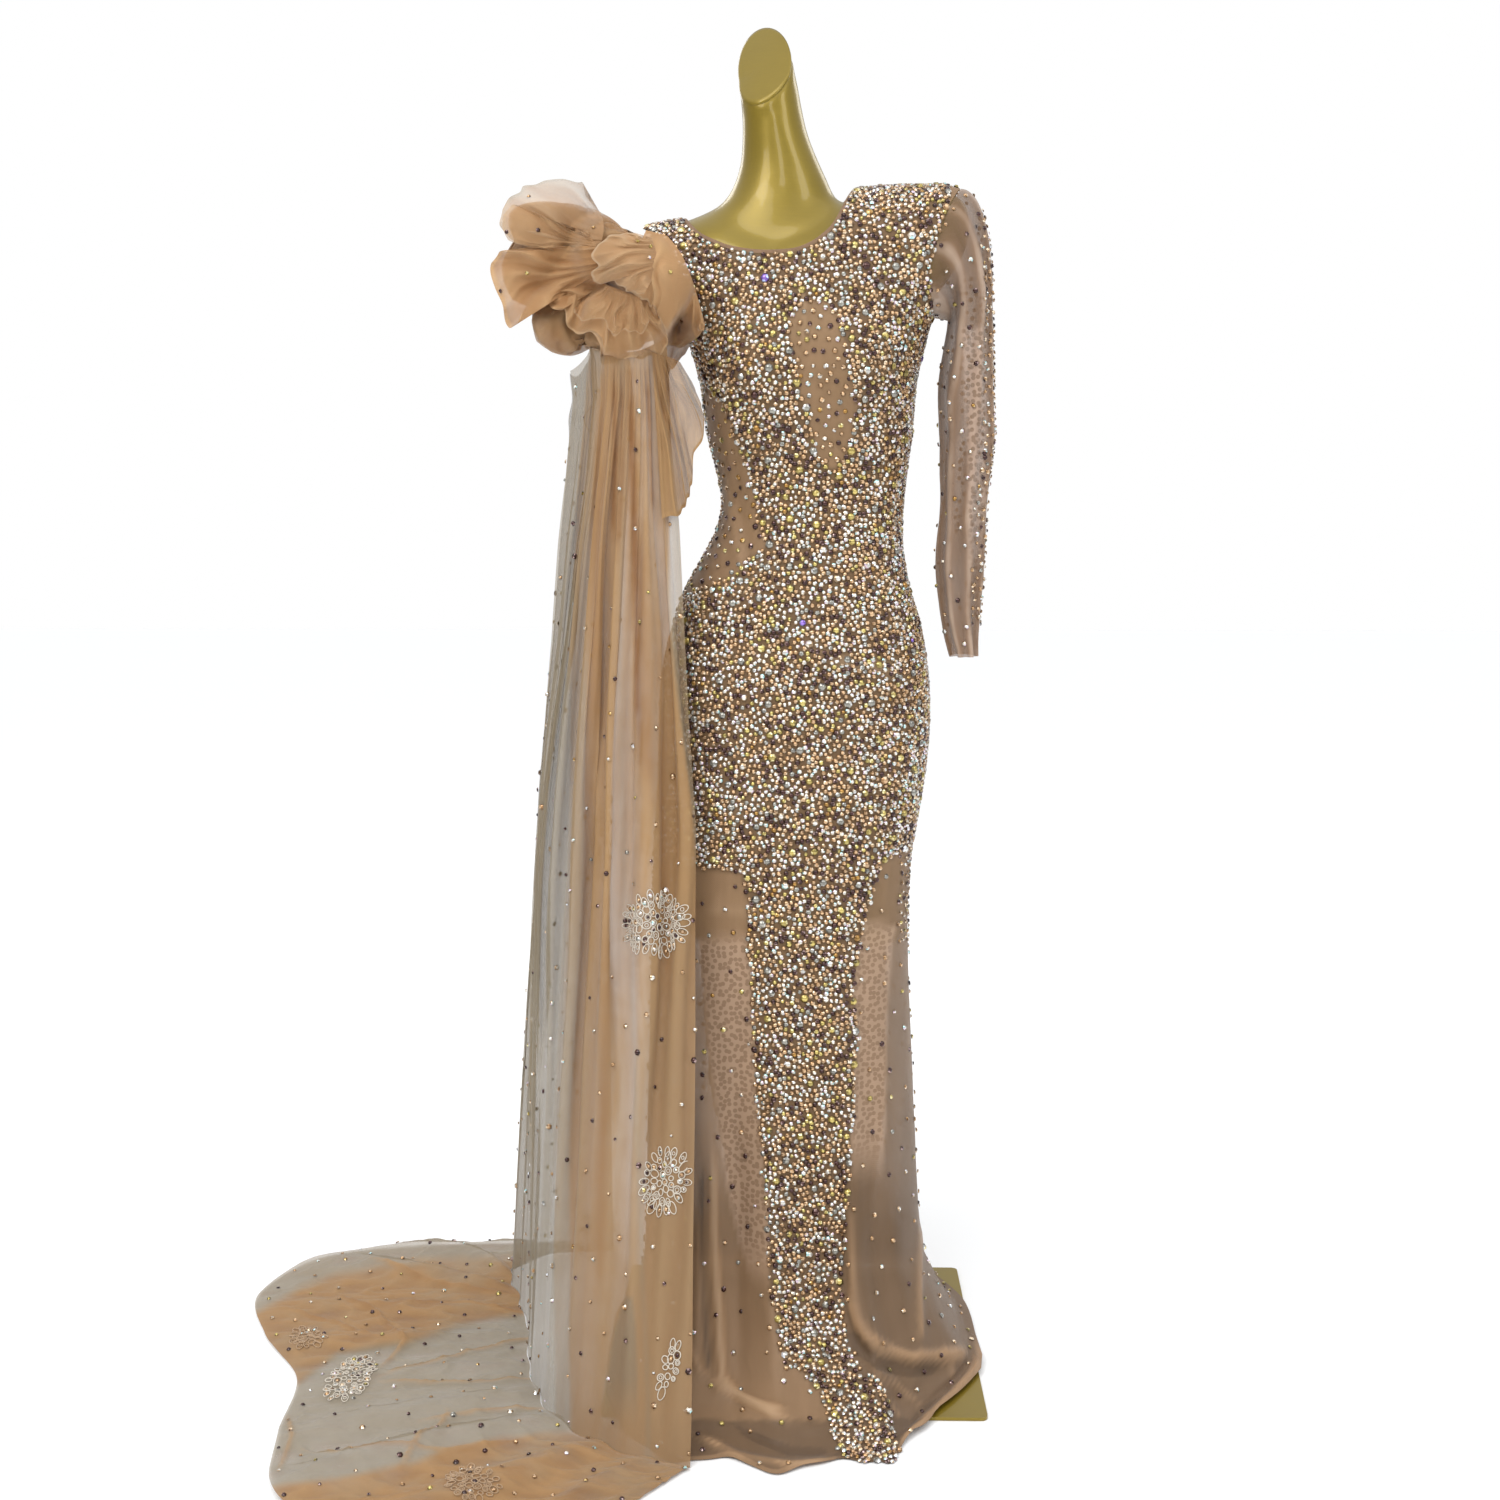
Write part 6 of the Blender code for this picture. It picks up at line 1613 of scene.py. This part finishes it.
# Train: its outer edge from behind round to the front (along, across, deep), and its raised folds
train = {
    "outer": (
        (0.0, -0.262, 0.312), (0.1, -0.38, 0.318), (0.18, -0.545, 0.305), (0.26, -0.68, 0.255), (0.34, -0.733, 0.13),
        (0.44, -0.69, -0.01), (0.55, -0.615, -0.14), (0.66, -0.6, -0.285), (0.78, -0.555, -0.44), (0.9, -0.37, -0.55),
        (1.0, -0.167, -0.425),
    ),
    # along, height, width
    "ridges": (
        (0.12, 0.012, 0.02), (0.19, 0.024, 0.028), (0.27, 0.018, 0.025), (0.37, 0.005, 0.02), (0.47, 0.007, 0.02),
        (0.57, 0.006, 0.02), (0.67, 0.013, 0.025), (0.76, 0.024, 0.03), (0.85, 0.018, 0.025), (0.93, 0.01, 0.02),
    ),
    "wall": 0.0018, "rows": 120, "columns": 300, "cut": (1.3, 0.31, 0.31),
    # height, width and run on the floor
    "wrinkles": (
        (0.0035, 0.003, ((-0.511, -0.143), (-0.42, -0.065), (-0.319, -0.002))),
        (0.0032, 0.0026, ((-0.508, -0.155), (-0.4, -0.15), (-0.303, -0.129))),
        (0.0032, 0.0028, ((-0.44, -0.262), (-0.36, -0.225), (-0.293, -0.213))),
        (0.0035, 0.003, ((-0.438, -0.385), (-0.426, -0.34), (-0.409, -0.24))),
        (0.0032, 0.0028, ((-0.56, -0.33), (-0.5, -0.352), (-0.4, -0.35), (-0.3, -0.3))),
        (0.003, 0.0028, ((-0.6, -0.24), (-0.58, -0.3), (-0.575, -0.38))),
        (0.0035, 0.0035, ((-0.64, 0.12), (-0.56, 0.06), (-0.5, -0.04), (-0.52, -0.12))),
        (0.0035, 0.0035, ((-0.6, 0.21), (-0.5, 0.15), (-0.38, 0.12))),
        (0.0032, 0.003, ((-0.56, 0.08), (-0.46, 0.09), (-0.34, 0.06))),
        (0.003, 0.003, ((-0.69, 0.07), (-0.6, 0.02), (-0.54, -0.03))),
        (0.0032, 0.0035, ((-0.52, -0.45), (-0.42, -0.44), (-0.3, -0.39))),
    ),
    # in the photo's pixels: where the dense back band starts and ends, and where the front one starts
    "backTop": (
        (258, 1306), (300, 1280), (338, 1268), (374, 1261), (416, 1255), (457, 1251), (517, 1251), (560, 1249),
    ),
    "backEnd": (
        (258, 1396), (300, 1388), (338, 1357), (404, 1347), (457, 1330), (502, 1320), (544, 1315), (620, 1312),
    ),
    "frontStart": (
        (273, 1483), (338, 1475), (416, 1457), (443, 1445), (502, 1432), (550, 1429), (600, 1430), (645, 1418),
        (700, 1410),
    ),
    "thin": 0.66, "full": 0.92, "footGap": 0.0013, "crumple": (0.0026, 0.001), "lineHeight": 0.0032,
    # behind the cape it is fainter: how much shows there, and along from where and over what
    "behind": 0.45, "clear": (0.05, 0.06),
    # what a wrinkle's line adds to cover, warmth and painted shade, and what a crumple adds to cover and takes from the
    # painted shade
    "line": (0.2, 0.75, 0.2), "creased": (0.04, 0.15),
}

def makeTrain():
    foot = np.vstack((footLine(cape["back"])[::-1], footLine(cape["front"])[1:]))
    walked = np.linspace(0, 1, len(foot))
    along = np.linspace(0, 1, train["columns"])
    inner = np.stack([np.interp(along, walked, foot[:, k]) for k in (0, 1)], axis=-1)
    step = unit(np.gradient(inner, axis=0))
    inner = inner + np.stack((step[:, 1], -step[:, 0]), axis=-1) * train["footGap"]
    outer = np.stack([read(train["outer"], k, along) for k in (1, 2)], axis=-1)
    rise = sum(height * np.exp(-(((along - place) / width) ** 2)) for place, height, width in train["ridges"])
    rows = []
    for share in np.linspace(0, 1, train["rows"]):
        plan = inner + (outer - inner) * share
        bulge = np.sin(np.pi * (0.04 + 0.92 * share)) ** 0.8
        rows.append(np.column_stack((plan, train["wall"] + rise * bulge)))
    points = np.array(rows)
    share = np.linspace(0, 1, train["rows"])[:, None]
    creased = 1 - np.abs(softNoise(points * (1, 1.6, 0), 0.11, 61)) * 2.4
    small = softNoise(points * (1, 2.0, 0), 0.045, 62)
    wrinkles = creaseLift(points[..., :2], train["wrinkles"])
    creasedHigh, smallHigh = train["crumple"]
    height = creasedHigh * np.clip(creased, 0, 1) + smallHigh * (small + 0.6) + wrinkles
    points[..., 2] += height * np.clip(np.minimum(share, 1 - share) * 12, 0.1, 1)
    seen = seenAt(points)
    backTop, backEnd, frontStart = (
        np.interp(seen[..., 0], *np.array(train[key]).T) for key in ("backTop", "backEnd", "frontStart"))
    down = seen[..., 1] + 3 * softNoise(points, 0.25, 63)
    back = np.maximum(ramp(down, backTop, 12), 0.1) * ramp(down, backEnd, -9)
    front = ramp(down, frontStart, 8)
    banks = np.clip(np.maximum(back, front) * (0.88 + 0.28 * softNoise(points, 0.12, 64)), 0, 1)
    line = np.clip(wrinkles / train["lineHeight"], 0, 1)
    lineCover, lineWarm, lineDeep = train["line"]
    creaseCover, creasePaler = train["creased"]
    cover = train["thin"] + (train["full"] - train["thin"]) * banks + lineCover * line + creaseCover * creased
    shown = train["behind"] + (1 - train["behind"]) * ramp(along, *train["clear"])
    piece = gridPiece("trainFloor", points, capeTulle, flip=True, layers={
        "dense": shown * np.clip(cover, 0.1, 0.95), "warm": np.clip(0.02 + 1.03 * banks + lineWarm * line, 0, 1),
        "deep": np.clip(0.3 * banks - creasePaler * creased + lineDeep * line * banks, 0, 1)})
    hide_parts("train_floor")
    return piece

trainFloor = makeTrain()
print("train made")

def sideColumn(places):  # the column down the gown's left edge, and the short one at its right
    x, _, z = places.T
    middle, half, lowest, highest = stones["leftColumn"]
    left = (np.abs(x - middle) < half) & (z > lowest) & (z < highest)
    edge, lowest, highest = stones["rightColumn"]
    return left | ((x > edge) & (z > lowest) & (z < highest))

def waistEdge(places):  # the stones that line the sheer strip's outer edge at the left of the waist
    x, y, z = places.T
    deep, lowest, highest = stones["waistEdge"]
    return (y > deep) & (x < 0) & (z > lowest) & (z < highest)

def sheerDrop(places):
    lowest, left, right = stones["dropFrom"]
    return (places[:, 2] > lowest) & (places[:, 0] > left) & (places[:, 0] < right)

def waistStrip(places):
    lowest, right = stones["waistFrom"]
    return (places[:, 2] > lowest) & (places[:, 0] < right) & ~waistEdge(places)

def stoneGown(piece, side, dense, seed, glass):
    draw = np.random.default_rng(seed)
    cloth = Cloth(piece)
    outward = lambda places: np.array((0, -1 if side == "front" else 1, 0)) + places * (1.5, 0, 0)
    large = cloth.scatter(stones["largeSpacing"], dense, draw)
    largeSizes = draw.uniform(*stones["large"], len(large))
    spacing = stones["spacing"] * (1 if side == "front" else stones["backWider"])
    small = cloth.scatter(spacing, dense, draw, (large, largeSizes), relax=6)

    def radii(places, limits):
        return draw.uniform(*limits, len(places)) * stones["radius"]

    groups = [("Close", small, radii(small, stones["closeRadii"]), None), ("Large", large, largeSizes, "large")]
    if side == "front":
        kinds = (
            ("Column", "column", lambda p: sideColumn(p) | waistEdge(p), None), ("Drop", "drop", sheerDrop, None),
            ("Waist", "waist", waistStrip, "waist"),
        )
        found = [cloth.scatter(stones[key][0], lambda p: inside(p) & ~dense(p), draw) for _, key, inside, _ in kinds]
        for (label, key, _, mix), places in zip(kinds, found):
            groups.append((label, places, radii(places, stones[key][1]), mix))
    low = lambda p: ~dense(p) & (p[:, 2] < stones["sparseBelow"])
    sparse = cloth.scatter(stones["sparseSpacing"], low, draw)
    groups.append(("Skirt", sparse, radii(sparse, stones["sparseRadii"]), "tulle"))
    for label, places, sizes, mix in groups:
        strew(f"stones{side.title()}{label}", cloth, places, outward, sizes, mix, draw, glass)

glass = stoneGlass("cutStones", glassLook)
stoneGown(gownFront, "front", frontDense, 101, glass)
stoneGown(gownBack, "back", backDense, 102, glass)

# The sleeve's stones lie close along its outer edge and over the back of the upper arm
sleeveStones = {
    "close": 0.0078, "free": 0.0195, "freeFrom": 0.9, "radii": (0.72, 1.02), "head": 1.3, "headAcross": 0.222,
    "edgeWide": 0.013, "edgeFrom": 0.93, "rear": (1.04, 1.36), "rearDeep": 0.008, "rearInward": 0.004,
}

def stoneSleeve(piece, seed, glass):
    draw = np.random.default_rng(seed)
    cloth = Cloth(piece)
    rising = sorted(sleeve["table"])
    middleAt = lambda z: (read(rising, 1, z) + read(rising, 2, z)) / 2
    outward = lambda p: np.stack((p[:, 0] - middleAt(p[:, 2]), p[:, 1], np.zeros(len(p))), axis=-1)

    def outerSeam(p):
        x, y, z = p.T
        edge = read(rising, 2, np.minimum(z, rising[-1][0]))
        low = (z < sleeveStones["head"]) & (x > edge - sleeveStones["edgeWide"]) & (z > sleeveStones["edgeFrom"])
        head = (z >= sleeveStones["head"]) & (x > sleeveStones["headAcross"])
        lowest, highest = sleeveStones["rear"]
        rear = (y > sleeveStones["rearDeep"]) & (z > lowest) & (z < highest)
        return low | head | (rear & (x > middleAt(z) - sleeveStones["rearInward"]))

    close = cloth.scatter(sleeveStones["close"], outerSeam, draw)
    free = cloth.scatter(sleeveStones["free"], lambda p: ~outerSeam(p) & (p[:, 2] > sleeveStones["freeFrom"]), draw)
    for label, places, mix in (("Close", close, None), ("Free", free, "tulle")):
        radii = draw.uniform(*sleeveStones["radii"], len(places)) * stones["radius"]
        strew("stonesSleeve" + label, cloth, places, outward, radii, mix, draw, glass)

stoneSleeve(sleeveLeft, 103, glass)
print("gown and sleeve stoned")

# Loose stones on the tulle, and its lace motifs: the cloth, their middle and half size in the photo's pixels, turn in
# degrees, and the share of their rings that holds a stone
trim = {
    "spacing": 0.034, "below": 1.22, "radii": (0.62, 1.0), "bigShare": 0.12, "big": 0.004, "puffRadius": 0.0027,
    "thick": 0.00062, "ring": (0.0026, 0.0046), "gap": 0.0074, "seat": 0.0006, "ringSides": 14, "cordSides": 5,
    # places tried for a motif's rings, how far from its middle they may lie, and where its longer rim rings start
    "tries": 4000, "reach": 0.09, "rimFrom": 0.72, "rimLonger": 1.9, "longer": (1.0, 1.25),
    # share and size of the inner rings, sizes of the stones, and the share of stones from which the cord is bold
    "innerShare": 0.45, "innerSize": (0.5, 0.8), "stoneSizes": (0.65, 1.0), "boldFrom": 0.16,
    "across": (0.3, 1.0, 0.2),
    "motifs": (
        ("capeFront", (656, 924), (36, 30), -20, 0.62), ("capeFront", (666, 1180), (26, 34), 10, 0.45),
        ("capeBack", (614, 838), (26, 48), 10, 0.2), ("capeBack", (600, 1225), (20, 18), 0, 0.2),
        ("capeFront", (670, 1368), (9, 30), 18, 0.2), ("trainFloor", (350, 1379), (32, 16), -38, 0.75),
        ("trainFloor", (308, 1338), (18, 10), 0, 0.15), ("trainFloor", (474, 1484), (30, 16), 0, 0.1),
    ),
    "namedStones": (  # the puff's own stones, in the photo's pixels
        ("dark", (507, 232)), ("dark", (538, 230)), ("dark", (501, 291)), ("citrine", (527, 273)),
        ("amber", (594, 228)), ("citrine", (638, 240)), ("citrine", (650, 246)), ("clear", (649, 258)),
        ("citrine", (670, 272)), ("peach", (529, 197)),
    ),
}
laceLook = {"thread": (0.8, 0.74, 0.64), "shade": (0.52, 0.45, 0.36)}
faintLook = {"thread": (0.5, 0.34, 0.2), "shade": (0.38, 0.24, 0.13)}
cordTwist = {
    "twist": 0.0016, "strandLong": (1.0, 1.0, 1.6), "clouds": 60.0, "tinted": (0.6, 0.4), "rough": 0.6,
    "roughened": 0.15, "sheen": 0.3, "bump": (0.4, 0.0004),
}

def laceCord(name, look):
    paint = Paint(bpy.data.materials.new(name))
    place = paint.node("ShaderNodeTexCoord")["Object"]
    strands = paint.noise(paint.stretched(place, cordTwist["strandLong"]), 1 / cordTwist["twist"], 2.0)
    clouds = paint.noise(place, cordTwist["clouds"], 2.0)
    strandShare, cloudShare = cordTwist["tinted"]
    return paint.finish({
        "Base Color": paint.mix(strands * strandShare + clouds * cloudShare, look["shade"], look["thread"]),
        "Roughness": clouds * cordTwist["roughened"] + cordTwist["rough"],
        "Sheen Weight": cordTwist["sheen"],
        "Normal": paint.bump(strands, *cordTwist["bump"]),
    })

def sideways(normals):  # two directions in the cloth at each place
    side = unit(np.cross(normals, np.array(trim["across"])))
    return side, np.cross(normals, side)

def cordRings(name, places, normals, radii, longer, turns, thick, cord):  # small closed loops of lace cord
    around, section = trim["ringSides"], trim["cordSides"]
    side, other = sideways(normals)
    turned = side * np.cos(turns)[:, None] + other * np.sin(turns)[:, None]
    crossed = np.cross(normals, turned)
    angle = np.arange(around) / around * 2 * np.pi
    tube = np.arange(section) / section * 2 * np.pi
    long = radii * longer
    path = turned[:, None] * (np.cos(angle)[None] * long[:, None])[..., None]
    path = path + crossed[:, None] * (np.sin(angle)[None] * radii[:, None])[..., None]
    outward = unit(path)
    middle = places[:, None] + path + (normals * (thick + trim["seat"]))[:, None]
    vertices = (middle[:, :, None] + outward[:, :, None] * (np.cos(tube) * thick)[None, None, :, None]
                + normals[:, None, None] * (np.sin(tube) * thick)[None, None, :, None])
    vertices[..., 2] = np.maximum(vertices[..., 2], stones["lowest"])
    i, j = np.meshgrid(np.arange(around), np.arange(section), indexing="ij")
    a, b = i * section, (i + 1) % around * section
    quads = np.stack((a + j, b + j, b + (j + 1) % section, a + (j + 1) % section), axis=-1).reshape(-1, 4)
    faces = (np.arange(len(places))[:, None, None] * around * section + quads[None]).reshape(-1, 4)
    piece = newPiece(name, vertices.reshape(-1, 3), faces, cord)

def onCloth(tree, pixels):  # where the photo's pixels fall on a cloth, and which way it faces the camera
    place = Vector(photoFrame()[0])
    found = []
    for way in wayTo(np.asarray(pixels, float)):
        hit, normal = tree.ray_cast(place, Vector(way))[:2]
        if hit:
            found.append((*hit, *(normal if normal.dot(Vector(way)) < 0 else -normal)))
    found = np.array(found).reshape(-1, 6)
    return found[:, :3], found[:, 3:]

def makeMotif(number, cloth, middle, half, turn, share, draw, cord, glass):
    turned = math.radians(turn)
    axes = np.array(((math.cos(turned), math.sin(turned)), (-math.sin(turned), math.cos(turned))))
    tries = draw.uniform(-1, 1, (trim["tries"], 2))
    tries = tries[(tries**2).sum(axis=1) < 1 - 0.25 * np.abs(tries[:, 0])] * half
    places, normals = onCloth(cloth.tree, np.array(middle) + tries @ axes)
    kept = []
    for k, place in enumerate(places):
        if all(((place - places[other]) ** 2).sum() > trim["gap"] ** 2 for other in kept):
            kept.append(k)
    places, normals = places[kept], normals[kept]
    # all on one fall of the cloth
    near = np.linalg.norm(places - np.median(places, axis=0), axis=1) < trim["reach"]
    places, normals = places[near], normals[near]
    centre = places.mean(axis=0)
    reach = np.linalg.norm(places - centre, axis=1)
    rim = reach > trim["rimFrom"] * reach.max()
    radii = draw.uniform(*trim["ring"], len(places))
    longer = np.where(rim, trim["rimLonger"], draw.uniform(*trim["longer"], len(places)))
    away = unit(places - centre)
    side, other = sideways(normals)
    turns = np.arctan2((away * other).sum(axis=1), (away * side).sum(axis=1))
    cordRings(f"laceMotif{number}", places, normals, radii, longer, turns, trim["thick"], cord)
    inner = draw.random(len(places)) < trim["innerShare"]
    smaller, thinner = trim["innerSize"]
    cordRings(f"laceMotif{number}Inner", places[inner], normals[inner], radii[inner] * smaller, np.ones(inner.sum()),
              turns[inner], trim["thick"] * thinner, cord)
    stoned = draw.random(len(places)) < share
    count = int(stoned.sum())
    kinds = drawKinds(count, draw, "rings")
    setStones(f"laceMotif{number}Stones", places[stoned], normals[stoned],
              draw.uniform(*trim["stoneSizes"], count) * stones["radius"], kinds, draw, glass)
    print(f"motif {number}: {len(places)} rings")

def trimTulle(seed):
    draw = np.random.default_rng(seed)
    cords = (laceCord("laceFaint", faintLook), laceCord("laceCord", laceLook))
    cloths = {piece.name: Cloth(piece) for piece in (capeFront, capeBack, trainFloor, tullePuff)}
    ways = {"capeFront": (-0.3, -1, 0), "capeBack": (-0.3, -1, 0), "trainFloor": (0, 0, 1)}
    for name, way in ways.items():
        cloth = cloths[name]
        places = cloth.scatter(trim["spacing"], lambda p: p[:, 2] < trim["below"], draw)
        radii = draw.uniform(*trim["radii"], len(places)) * stones["radius"]
        radii = np.where(draw.random(len(places)) < trim["bigShare"], trim["big"], radii)
        outward = lambda p: np.array(way) + 0 * p
        strew("stones" + name[0].upper() + name[1:], cloth, places, outward, radii, "tulle", draw, glass)
    kinds = np.array([kind for kind, _ in trim["namedStones"]])
    layers = [Cloth(bpy.data.objects[name]).tree for name in flounces["layers"]] + [cloths["tullePuff"].tree]
    spots = []
    for _, pixel in trim["namedStones"]:
        hits = [np.hstack(onCloth(tree, [pixel])) for tree in layers]
        hits = np.vstack([hit for hit in hits if len(hit)])
        spots.append(hits[np.argmin(hits[:, 1])])
    spots = np.array(spots)
    radii = np.full(len(spots), trim["puffRadius"])
    setStones("stonesPuff", spots[:, :3], spots[:, 3:], radii, kinds, draw, glass)
    for number, (name, middle, half, turn, share) in enumerate(trim["motifs"]):
        makeMotif(number, cloths[name], middle, half, turn, share, draw, cords[share > trim["boldFrom"]], glass)

trimTulle(104)
print("tulle trimmed")
